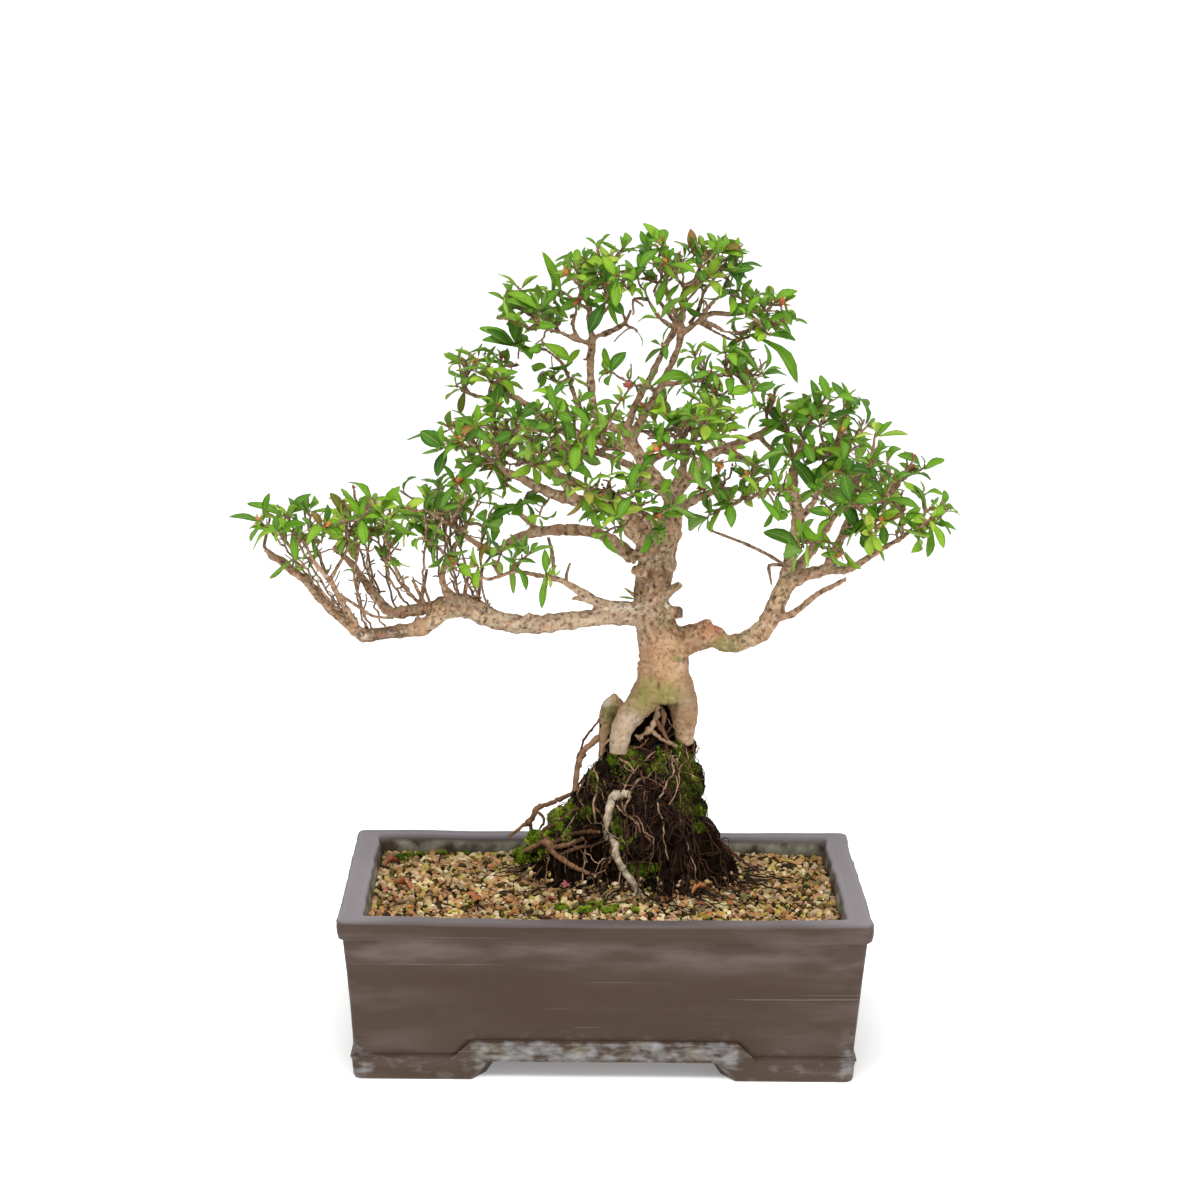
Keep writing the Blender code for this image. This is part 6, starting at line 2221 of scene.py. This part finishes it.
def exposed_root(name, clump, finish):
    """A root and its forks, knotted and slightly kinked."""
    kind, amount, routes = ROOT_READINGS[name]
    source = seeded(name)
    lines = Lines()
    for number, spots in enumerate(routes):
        route = []
        for x, z, radius in spots:
            point = seen(x, amount, z)
            if kind == "lift":
                found, normal = clump.ahead(x, z)
                point = on_ground(x, z, amount) if found is None else found + normal * amount * 0.7 * MM
            route.append((point, radius * MM))
        samples = knotted(smooth_route(route, 1.2 * MM), 0.28, f"{name}{number}")
        points = [p + jitter(source, 0.16) * MM for p, _ in samples]
        girths = [r * (1 + 0.22 * noise.noise(p / (2.2 * MM))) for p, r in samples]
        age = ROOT_AGES.get(name, 0.62) - 0.25 * (number > 0)
        lines.add([tuple(p) for p in points], girths, [age + 0.12 * source.gauss(0, 1)] * len(points))
    return lines.stems(name + "_bark", 9, finish)


WALK_STEP = 2.0 * MM


def surface_walk(clump, source, start, way, length, curl, pull, lift):
    """A fine root's way over the clump, curling as it goes, drawn by pull and clear by up to lift."""
    here, normal = clump.snap(start)
    phase = source.uniform(0, 50)
    points = []
    for step in range(int(length / WALK_STEP)):
        way = way + jitter(source, curl) + pull
        way = (way - normal * way.dot(normal)).normalized()
        here, normal = clump.snap(here + way * WALK_STEP)
        rise = lift * clamp(0.45 + 1.1 * noise.noise(Vector((phase, step * 0.3, 0))), -0.3, 1.3)
        points.append(here + normal * rise)
        if here.z < soil_z(here.x, here.y) + 0.5 * MM:
            break
    return points, way


RUNNER_STEP = 2.4


def out_over_soil(source, points, way, length):
    """Carries a root on from the foot of the mass over the grains."""
    here = points[-1].copy()
    heading = math.atan2(way.y, way.x) + source.gauss(0, 0.35)
    limit = cavity_half(SOIL_EDGE_Z)
    for _ in range(int(length / RUNNER_STEP)):
        heading += source.gauss(0, 0.22)
        here = here + level_way(heading) * RUNNER_STEP * MM
        here.z = soil_z(here.x, here.y) + (1.2 + 1.2 * source.random()) * MM
        if abs(here.x) > (limit[0] - 4) * MM or abs(here.y) > (limit[1] - 4) * MM:
            break
        points.append(here.copy())


# Families of fine roots: how many, length in mm, curl, downward pull, greatest lift and girth in mm
FINE_ROOTS = (
    (430, (12, 44), 0.34, 0.05, 2.2, (0.16, 0.42)),
    (150, (40, 105), 0.17, 0.3, 1.8, (0.28, 0.8)),
    (60, (20, 60), 0.24, 0.1, 3.4, (0.3, 0.6)),
)
SOIL_RUNNERS = 60
HANGING_ROOTS = 110
SHADED_FROM_X = 0.016
SHADED_BELOW_Z = 0.146


def fine_roots(clump, finish):
    """Hundreds of fine roots over the mass, some running out over the soil and some hanging clear."""
    source = seeded("fine roots")
    lines = Lines()

    def add(points, thick, thin_end):
        girths = [thick * MM * lerp(1.0, thin_end, i / len(points)) for i in range(len(points))]
        shaded = points[0].x > SHADED_FROM_X and points[0].z < SHADED_BELOW_Z
        lines.add(
            [tuple(p) for p in points], girths,
            [source.random() ** 1.5 * (0.5 if shaded else 1.0)] * len(points),
        )

    for count, lengths, curl, pull, lift, girths in FINE_ROOTS:
        for _ in range(count):
            angle = source.uniform(0, math.tau)
            start = mound_point(angle, source.triangular(88, 178, 150), 2)
            way = Vector((source.gauss(0, 1), source.gauss(0, 1), source.gauss(-0.3, 0.6)))
            points, way = surface_walk(
                clump, source, start, way, source.uniform(*lengths) * MM, curl, Vector((0, 0, -pull)),
                source.uniform(0.1, lift) * MM,
            )
            if len(points) < 4:
                continue
            foot = points[-1]
            if foot.z < soil_z(foot.x, foot.y) + 2 * MM and source.random() < 0.7:
                x, y = (v * MM for v in MOUND_CENTRE_FOOT)
                outward = Vector((foot.x - x, foot.y - y, 0)).normalized()
                out_over_soil(source, points, way * 0.3 + outward, source.uniform(6, 26))
            add(points, source.uniform(*girths), 0.45)
    for _ in range(SOIL_RUNNERS):
        angle = source.choice((source.uniform(-1.4, 0.5), source.uniform(0, math.tau)))
        start = mound_point(angle, source.uniform(86, 98), 1)
        outward = level_way(angle)
        points = [start - outward * 2 * MM, start]
        out_over_soil(source, points, outward, source.uniform(12, 50))
        add(points, source.uniform(0.26, 0.75), 0.4)
    for _ in range(HANGING_ROOTS):
        angle = source.uniform(0, math.tau)
        start, normal = clump.snap(mound_point(angle, source.uniform(88, 160), 2))
        side = normal.cross(UP)
        length = source.uniform(4, 13) * MM
        lean = source.gauss(0, 0.8)
        points = [start - normal * MM]
        for i in range(1, 9):
            t = i / 8
            points.append(
                start + (normal * math.sin(t * 2.2) * 0.6 + side * t * lean - UP * t * t * 0.9) * length
            )
        add(points, source.uniform(0.16, 0.36), 0.6)
    return lines.stems("fine_roots", 4, finish)


def moss_shoot(name, number):
    """A few short blades of moss in a tuft, of a dozen faces."""
    source = seeded(f"{name}{number}")
    bm = bmesh.new()
    for i in range(4):
        angle = math.tau * i / 4 + source.uniform(-0.4, 0.4)
        out = level_way(angle)
        side = Vector((-out.y, out.x, 0)) * 0.26
        tip = bm.verts.new(out * source.uniform(0.35, 0.95) + UP * source.uniform(0.7, 1.1))
        foot = [bm.verts.new(out * 0.12 + side - UP * 0.4), bm.verts.new(out * 0.12 - side - UP * 0.4)]
        foot.append(bm.verts.new(out * 0.4 - UP * 0.1))
        for a, b in ((0, 1), (1, 2), (2, 0)):
            bm.faces.new((foot[a], foot[b], tip))
        bm.faces.new(foot)
    return outward_object(bm, f"{name}_{number}")


# Moss by patch: on the mass as (x, z, reach) readings seen from the show side, on the soil as
# (x, y, reach)
MOSS_ON_MASS = {
    "moss_left": (
        (-24, 122, 7), (-30, 115, 8), (-37, 108, 8), (-44, 102, 7), (-30, 105, 4), (-20, 127, 5),
        (-21, 112, 3),
    ),
    "moss_right": (
        (42, 152, 5), (46, 145, 6), (48, 137, 6), (45, 130, 6), (39, 142, 4), (50, 126, 5), (41, 159, 4),
        (35, 148, 3),
        (52, 116, 3),
    ),
    "moss_front": (
        (5, 122, 4), (8, 113, 4), (12, 106, 4), (28, 150, 4), (15, 153, 5), (5, 155, 5), (10, 148, 3),
        (-7, 146, 4), (-4, 139, 3), (-10, 124, 3), (18, 91, 4), (28, 92, 2), (6, 160, 3), (32, 156, 3),
    ),
}
MOSS_ON_SOIL = {
    "moss_soil_front": ((-12, -44, 8), (-24, -40, 5), (2, -46, 5), (8, -40, 4), (-4, -36, 6), (16, -46, 3)),
    "moss_soil_corner": ((-112, 66, 6), (-102, 70, 4), (-92, 71, 4), (-78, 72, 3), (-119, 56, 3)),
}
# How much lighter or darker each patch is: its own tone, and for the right patch, the darkest, painted shade
MOSS_TONE_AND_PAINTED_SHADE = {
    "moss_left": 0.16, "moss_right": -0.4, "moss_front": -0.12, "moss_soil_front": 0.05,
    "moss_soil_corner": -0.2,
}
MOSS_TUFTS = 17


def moss_patch(name, clump, shoots, finish):
    """Tufts of moss packed over ragged patches of the root mass or the soil."""
    source = seeded(name)
    copies = Copies()
    on_mass = name in MOSS_ON_MASS
    for a, b, reach in (MOSS_ON_MASS if on_mass else MOSS_ON_SOIL)[name]:
        for _ in range(int(MOSS_TUFTS * reach**1.6)):
            away = reach * source.random() ** 0.6
            angle = source.uniform(0, math.tau)
            u, v = a + away * math.cos(angle), b + away * math.sin(angle)
            if on_mass:
                spot, normal = clump.ahead(u, v)
                if spot is None:
                    spot, normal = clump.snap(seen(u, MOUND_CENTRE_FOOT[1], v))
                spread = jitter(source, 2.4) * MM
                spot, normal = clump.snap(spot + spread)
            else:
                x, y = u * MM, v * MM
                spot, normal = Vector((x, y, soil_z(x, y) + source.uniform(-0.6, 0.9) * MM)), UP
            if noise.noise(spot / (4.5 * MM)) + 0.4 < away / reach * 0.6:
                continue
            lump = noise.noise(spot / (3 * MM))
            lean = (normal + UP * 0.5 + jitter(source, 0.4)).normalized()
            size = source.uniform(0.65, 1.35) * MM
            tone = clamp(0.5 + MOSS_TONE_AND_PAINTED_SHADE[name] + 0.6 * lump + source.gauss(0, 0.16))
            copies.add(
                spot + normal * lump * 0.7 * MM, lean.orthogonal(), lean, (size, size, size * 1.25),
                source.randrange(3), tone,
            )
    return copies.scatter(name + "_growth", shoots, finish)


FALLEN_LEAVES = {
    "fallen_leaf_left": ((-109, 80), 120, (7, 2.4), 0.55),
    "fallen_leaf_corner": ((-116, 93), 60, (8, 2.4), 0.4),
    "fallen_leaf_front": ((-20, 81), 70, (5.5, 2.6), 1.0),
    "fallen_leaf_right": ((53, 79), 55, (8.5, 2.2), 0.7),
}


def dry_leaf(copies, point, turn, length, width, tone, source):
    way = Vector((math.cos(turn), math.sin(turn), source.uniform(-0.05, 0.12)))
    lean = UP + Vector((source.gauss(0, 0.3), source.gauss(0, 0.3), 0))
    copies.add(point - way * length / 2, way, lean, (length, width, length), source.randrange(3), tone, 1.0)


CURLED_FORMS = ((0.1, 0.4, 0.2, 0.03), (-0.08, 0.5, -0.3, 0.03), (0.05, 0.25, 0.12, 0.04))


def fallen_leaf(name, shapes, finish):
    (x, z), turn, (half_length, half_width), tone = FALLEN_LEAVES[name]
    source = seeded(name)
    spot = on_ground(x, z, 0)
    spot.z = soil_z(spot.x, spot.y) + 1.5 * MM
    copies = Copies()
    dry_leaf(copies, spot, math.radians(turn), half_length * 2 * MM, half_width * 2 * MM, tone, source)
    return copies.scatter(name + "_dry", shapes, finish)


LITTER_SCRAPS = 64


def litter(shapes, finish):
    """Scraps of dry leaf and scales lying about on the grains."""
    source = seeded("litter")
    copies = Copies()
    half = cavity_half(SOIL_EDGE_Z)
    while len(copies.points) < LITTER_SCRAPS:
        x = source.uniform(-half[0] + 6, half[0] - 6) * MM
        y = source.triangular(-half[1] + 4, half[1] - 6, -half[1] + 4) * MM
        if mound_excess(Vector((x, y, MOUND_FOOT_Z * MM))) < 3 * MM:
            continue
        spot = Vector((x, y, soil_z(x, y) + source.uniform(0.9, 1.7) * MM))
        length = source.triangular(2.5, 9, 4) * MM
        width = length * source.uniform(0.3, 0.5)
        dry_leaf(copies, spot, source.uniform(0, math.tau), length, width, source.random(), source)
    return copies.scatter("leaf_litter", shapes, finish)


# Stage


def camera_place():
    """The camera's place and turn: along its view, with a slight roll, as the photo was taken."""
    ahead = Vector((
        math.sin(CAMERA_YAW) * math.cos(CAMERA_PITCH), math.cos(CAMERA_YAW) * math.cos(CAMERA_PITCH),
        -math.sin(CAMERA_PITCH),
    ))
    level = Vector((math.cos(CAMERA_YAW), -math.sin(CAMERA_YAW), 0))
    upright = level.cross(ahead)
    right = level * math.cos(CAMERA_ROLL) + upright * math.sin(CAMERA_ROLL)
    top = upright * math.cos(CAMERA_ROLL) - level * math.sin(CAMERA_ROLL)
    turned = Matrix((right, top, -ahead)).transposed().to_4x4()
    return Matrix.Translation(EYE) @ turned


SWEEP_HALF = 6.0
SWEEP_BEND = 1.2
SWEEP_HEIGHT = 6.0
SWEEP_FLAT_SHARE = 0.4
SWEEP_STEPS = 16
# Half the size of the pot's footprint, under which the floor's painted glow is least
SHADOWED_HALF = (0.16, 0.075, 0)


def sweep(settings):
    """A white floor that curves up to a wall behind, so that no horizon shows, and that glows as painted
    light: least under the pot, where its shadow stays, and most just round it, where the pot's cast shadow
    fades out.
    """
    profile = [(-SWEEP_HALF, 0.0), (SWEEP_HALF * SWEEP_FLAT_SHARE, 0.0)]
    for i in range(1, SWEEP_STEPS + 1):
        angle = i / SWEEP_STEPS * math.pi / 2
        profile.append(
            (SWEEP_HALF * SWEEP_FLAT_SHARE + SWEEP_BEND * math.sin(angle), SWEEP_BEND * (1 - math.cos(angle)))
        )
    profile.append((SWEEP_HALF * SWEEP_FLAT_SHARE + SWEEP_BEND, SWEEP_HEIGHT))
    bm = bmesh.new()
    edges = [[bm.verts.new((x, y, z)) for y, z in profile] for x in (-SWEEP_HALF, SWEEP_HALF)]
    for i in range(len(profile) - 1):
        bm.faces.new((edges[0][i], edges[1][i], edges[1][i + 1], edges[0][i + 1]))
    made = object_from(bm, "sweep")
    finish, tree, shader = new_finish(
        "white sweep", 0.9, Base_Color=settings.floor, Emission_Color=(1, 1, 1, 1),
    )
    where = node(tree, "ShaderNodeTexCoord").outputs["Object"]
    reach = vector_maths(tree, "SUBTRACT", vector_maths(tree, "ABSOLUTE", where), SHADOWED_HALF)
    axes = node(tree, "ShaderNodeSeparateXYZ", {0: reach}).outputs
    away = maths(tree, "MAXIMUM", maths(tree, "MAXIMUM", axes["X"], axes["Y"]), axes["Z"])
    # Painted light: the floor glows faintly under the pot and strongly just round it, so that the pot's cast
    # shadow fades out there, and somewhat less further off
    glow = maths(
        tree, "SUBTRACT", remap(tree, away, -0.004, 0.012, 0.03, 0.84),
        remap(tree, away, 0.12, 0.4, 0.0, 0.4),
    )
    tree.links.new(glow, shader.inputs["Emission Strength"])
    dress(made, finish)


# Sizes and colours that a user would change


def colour_value(name, description, default):
    return bpy.props.FloatVectorProperty(
        name=name, description=description, subtype="COLOR", size=4, min=0.0, max=1.0, default=default
    )


def length_value(name, description, default):
    return bpy.props.FloatProperty(
        name=name, description=description, subtype="DISTANCE", unit="LENGTH", min=0.0, precision=5,
        default=default
    )


class BonsaiPotSettings(bpy.types.PropertyGroup):
    clay: colour_value("Clay", "Base colour of the fired clay", srgb(62, 47, 37))
    rim: colour_value("Rim", "Colour of the worn flat top of the rim", srgb(132, 125, 130))
    lime: colour_value("Lime", "Colour of the lime on the feet and moulding", srgb(152, 154, 156))
    sag: length_value("Rim sag", "How far the middle of the front rim has sunk in firing", 1.5 * MM)


class BonsaiSoilSettings(bpy.types.PropertyGroup):
    spacing: length_value("Grain spacing", "Least distance between coarse grains", 3.3 * MM)
    smallest: length_value("Smallest grain", "Half the width of the smallest coarse grain", 1.25 * MM)
    largest: length_value("Largest grain", "Half the width of the largest coarse grain", 2.7 * MM)
    earth: colour_value("Earth", "Dark colour of the old soil round the roots", srgb(6, 4, 3))
    moss: colour_value("Moss", "Bright green of the moss", srgb(134, 160, 34))


class BonsaiTreeSettings(bpy.types.PropertyGroup):
    bark: colour_value("Bark", "Middle tone of the bark", srgb(176, 142, 106))
    pale_bark: colour_value("Pale bark", "Light tone of the bark", srgb(208, 182, 148))
    dark_bark: colour_value("Dark bark", "Tone of the bark's hollows and rings", srgb(104, 82, 60))
    pale_root: colour_value("Pale root", "Colour of the bleached roots", srgb(196, 178, 154))
    leaf_size: bpy.props.FloatProperty(
        name="Leaf size", description="Share of the usual leaf size", subtype="FACTOR", min=0.5, max=1.5,
        default=1.0
    )
    young_leaf: colour_value("Young leaf", "Colour of the youngest leaves", srgb(208, 224, 92))
    old_leaf: colour_value("Old leaf", "Colour of the deepest green leaves", srgb(52, 98, 34))


class BonsaiStageSettings(bpy.types.PropertyGroup):
    floor: colour_value("Floor", "Colour of the sweep", (0.94, 0.94, 0.94, 1.0))
    sky: bpy.props.FloatProperty(
        name="Fill light", description="Strength of the light from all round", min=0.0, default=0.38,
    )
    key: bpy.props.FloatProperty(
        name="Key light", description="Power of the main light", subtype="POWER", unit="POWER", min=0.0,
        default=41.0
    )


@functools.cache
def tree_plan():
    """The wood's centre lines, the leaf pads and the twigs, worked out once for all that grows on them."""
    skeleton = Skeleton()
    pads = [
        Pad(name.removeprefix("foliage_")) for name in sorted(frame["nodes"]) if name.startswith("foliage_")
    ]
    for pad in pads:
        pad.fill()
    return skeleton, pads, Crown(skeleton, pads)


@functools.cache
def root_clump(earth, moss):
    """The root mass and its surface, made once for the roots and the moss."""
    made = root_mass(earth_finish("root clump", earth, srgb(38, 25, 17), moss))
    return made, Clump(made)


def clump_of(scene):
    return root_clump(tuple(scene.bonsai_soil.earth), tuple(scene.bonsai_soil.moss))


LIMBS = [name for name in WOOD if name != "trunk"]

# Each light's place, its share of the key light's power and its width
LIGHTS = (("key", Vector((-0.22, -1.15, 1.9)), 1.0, 1.3), ("fill", Vector((1.2, -1.4, 1.1)), 0.34, 1.4))
LIGHT_AIM = Vector((0, 0, 0.2))


class BonsaiMaker:
    """What every step here shares: it says when it's done, and an error stops the script."""

    bl_options = {"REGISTER", "UNDO"}

    def execute(self, context):
        self.make(context.scene)
        return {"FINISHED"}


class BONSAI_OT_stage(BonsaiMaker, bpy.types.Operator):
    """Sets the camera, the soft lights and the white sweep"""

    bl_idname = "bonsai.stage"
    bl_label = "Stage"

    def make(self, scene):
        settings = scene.bonsai_stage
        camera = bpy.data.objects.new("camera", bpy.data.cameras.new("camera"))
        camera.data.lens = CAMERA_LENS
        camera.data.sensor_width = CAMERA_SENSOR
        camera.matrix_world = camera_place()
        scene.collection.objects.link(camera)
        scene.camera = camera
        sweep(settings)
        world = bpy.data.worlds.new("studio")
        world.use_nodes = True
        world.node_tree.nodes["Background"].inputs["Color"].default_value = (1, 1, 1, 1)
        world.node_tree.nodes["Background"].inputs["Strength"].default_value = settings.sky
        scene.world = world
        for name, spot, share, width in LIGHTS:
            light = bpy.data.objects.new(name, bpy.data.lights.new(name, "AREA"))
            light.data.energy = settings.key * share
            light.data.size = width
            light.location = spot
            light.rotation_euler = (LIGHT_AIM - spot).to_track_quat("-Z", "Y").to_euler()
            scene.collection.objects.link(light)
        scene.view_settings.view_transform = "Standard"


class BONSAI_OT_pot(BonsaiMaker, bpy.types.Operator):
    """Makes the clay pot over its CAD solid"""

    bl_idname = "bonsai.pot"
    bl_label = "Pot"

    def make(self, scene):
        place(pot(scene.bonsai_pot), "pot_clay", "pot")


class BONSAI_OT_screens(BonsaiMaker, bpy.types.Operator):
    """Gives the drain screens and their clips their finishes"""

    bl_idname = "bonsai.screens"
    bl_label = "Drain screens"

    def make(self, scene):
        for slot, finish in (("drain_screen", plastic_finish()), ("screen_clip", wire_finish())):
            for side in ("left", "right"):
                dress(frame["nodes"][f"{slot}_{side}"], finish)


class BONSAI_OT_soil(BonsaiMaker, bpy.types.Operator):
    """Fills the pot with soil and covers it with grains"""

    bl_idname = "bonsai.soil"
    bl_label = "Soil and grains"

    def make(self, scene):
        settings = scene.bonsai_soil
        bed = soil_bed(earth_finish("soil bed", srgb(18, 14, 8), srgb(54, 40, 24)))
        coarse = hidden_shapes("coarse stones", [stone_shape("stone", i, 1) for i in range(STONE_SHAPES)])
        fine = hidden_shapes("fine stones", [stone_shape("grit", i, 0) for i in range(STONE_SHAPES)])
        finish = grain_finish("clay grains", 0.03)
        sizes = (settings.spacing, settings.smallest, settings.largest, 0.4 * MM)
        place(grains(bed, "coarse_grains", coarse, finish, sizes, 3), "clay_grains")
        sizes = (settings.spacing * 0.9, settings.smallest * 0.5, settings.largest * 0.5, 0.4 * MM)
        place(grains(bed, "fine_grains", fine, finish, sizes, 8), "clay_grains")
        clump = clump_of(scene)[1]
        place(foot_grains(clump, coarse, finish), "clay_grains")
        clear_shapes(coarse)
        clear_shapes(fine)
        place(bed, "clay_grains", "soil")


class BONSAI_OT_roots(BonsaiMaker, bpy.types.Operator):
    """Makes the root mass, the fine roots on it and the thick roots that stand clear"""

    bl_idname = "bonsai.roots"
    bl_label = "Roots"

    def make(self, scene):
        made, clump = clump_of(scene)
        place(made, "root_soil", "root_mass")
        fine = root_finish("fine roots", (
            (0.0, srgb(14, 9, 6)), (0.25, srgb(44, 28, 19)), (0.5, srgb(90, 60, 42)),
            (0.75, srgb(142, 104, 76)),
            (1.0, srgb(196, 164, 132)),
        ))
        place(fine_roots(clump, fine), "root_bark")
        thick = root_finish("root bark", (
            (0.0, srgb(70, 44, 32)), (0.35, srgb(98, 66, 46)), (0.62, srgb(142, 106, 78)),
            (0.9, srgb(188, 168, 138)),
            (1.0, scene.bonsai_tree.pale_root),
        ))
        for name in ROOT_READINGS:
            place(exposed_root(name, clump, thick), "root_bark", name)


class BONSAI_OT_moss(BonsaiMaker, bpy.types.Operator):
    """Grows the moss cushions on the root mass and the soil"""

    bl_idname = "bonsai.moss"
    bl_label = "Moss"

    def make(self, scene):
        finish = moss_finish(scene.bonsai_soil.moss)
        clump = clump_of(scene)[1]
        shoots = hidden_shapes("moss shoots", [moss_shoot("shoot", i) for i in range(3)])
        for name in (*MOSS_ON_MASS, *MOSS_ON_SOIL):
            place(moss_patch(name, clump, shoots, finish), "moss", name)
        clear_shapes(shoots)


class BONSAI_OT_litter(BonsaiMaker, bpy.types.Operator):
    """Lays the fallen leaves and scraps on the grains"""

    bl_idname = "bonsai.litter"
    bl_label = "Fallen leaves"

    def make(self, scene):
        finish = litter_finish()
        shapes = hidden_shapes("curled leaves", [
            leaf_shape(f"curled_{i}", form) for i, form in enumerate(CURLED_FORMS)
        ])
        for name in FALLEN_LEAVES:
            place(fallen_leaf(name, shapes, finish), "dead_leaf", name)
        place(litter(shapes, finish), "dead_leaf")
        clear_shapes(shapes)


class BONSAI_OT_wood(BonsaiMaker, bpy.types.Operator):
    """Grows the trunk and limbs in one skin"""

    bl_idname = "bonsai.wood"
    bl_label = "Trunk and limbs"

    def make(self, scene):
        settings = scene.bonsai_tree
        finish = bark_finish(
            "trunk bark", settings.dark_bark, settings.bark, settings.pale_bark, BARK_PATCHES,
            young=srgb(156, 124, 96),
        )
        place(wood(tree_plan()[0], finish), "trunk_bark", "trunk", *LIMBS)


class BONSAI_OT_twigs(BonsaiMaker, bpy.types.Operator):
    """Grows the twigs that carry the leaves, by region"""

    bl_idname = "bonsai.twigs"
    bl_label = "Twigs"

    def make(self, scene):
        finish = bark_finish(
            "twig bark", srgb(70, 50, 36), srgb(134, 100, 72), srgb(190, 158, 124), scale=1.6,
        )
        for region, lines in tree_plan()[2].region_lines().items():
            place(lines.stems(f"twigs_{region}", TWIG_SIDES, finish), "limb_bark")


class BONSAI_OT_leaves(BonsaiMaker, bpy.types.Operator):
    """Sets the leaves of every pad"""

    bl_idname = "bonsai.leaves"
    bl_label = "Leaves"

    def make(self, scene):
        _, pads, crown = tree_plan()
        finish = leaf_finish(scene.bonsai_tree)
        shapes = hidden_shapes("leaf shapes", [
            leaf_shape(f"leaf_{i}", form) for i, form in enumerate(LEAF_FORMS)
        ])
        for pad in pads:
            copies = pad_leaves(pad, crown)
            made = copies.scatter(f"leaves_{pad.name}", shapes, finish, scene.bonsai_tree.leaf_size)
            place(made, "leaf", pad.node)
        clear_shapes(shapes)


class BONSAI_OT_buds(BonsaiMaker, bpy.types.Operator):
    """Sets a bud, or the dry scales of one, in the middle of each rosette"""

    bl_idname = "bonsai.buds"
    bl_label = "Buds"

    def make(self, scene):
        shapes = hidden_shapes("bud shapes", [
            bud_shape("bud_0", 4, 0.9), bud_shape("bud_1", 5, 0.45), bud_shape("bud_2", 3, 1.1),
        ])
        place(buds(tree_plan()[1], shapes, bud_finish()), "dead_leaf")
        clear_shapes(shapes)


class BONSAI_PT_panel(bpy.types.Panel):
    """Lists the steps that make the bonsai, and their settings"""

    bl_idname = "BONSAI_PT_panel"
    bl_label = "Bonsai"
    bl_space_type = "VIEW_3D"
    bl_region_type = "UI"
    bl_category = "Bonsai"

    def draw(self, context):
        for name in SETTINGS:
            box = self.layout.box()
            values = getattr(context.scene, name)
            for key in values.bl_rna.properties.keys():
                if key not in ("name", "rna_type"):
                    box.prop(values, key)
        for step in STEPS:
            self.layout.operator(step.bl_idname)


SETTINGS = {
    "bonsai_pot": BonsaiPotSettings, "bonsai_soil": BonsaiSoilSettings, "bonsai_tree": BonsaiTreeSettings,
    "bonsai_stage": BonsaiStageSettings,
}
STEPS = (
    BONSAI_OT_stage, BONSAI_OT_pot, BONSAI_OT_screens, BONSAI_OT_soil, BONSAI_OT_roots, BONSAI_OT_moss,
    BONSAI_OT_litter, BONSAI_OT_wood, BONSAI_OT_twigs, BONSAI_OT_leaves, BONSAI_OT_buds,
)


def register():
    for kind in (*SETTINGS.values(), *STEPS, BONSAI_PT_panel):
        bpy.utils.register_class(kind)
    for name, kind in SETTINGS.items():
        setattr(bpy.types.Scene, name, bpy.props.PointerProperty(type=kind))


def unregister():
    for name in SETTINGS:
        delattr(bpy.types.Scene, name)
    for kind in reversed((*SETTINGS.values(), *STEPS, BONSAI_PT_panel)):
        bpy.utils.unregister_class(kind)


def main():
    register()
    for step in STEPS:
        getattr(bpy.ops.bonsai, step.bl_idname.removeprefix("bonsai."))()


if __name__ == "__main__":
    main()
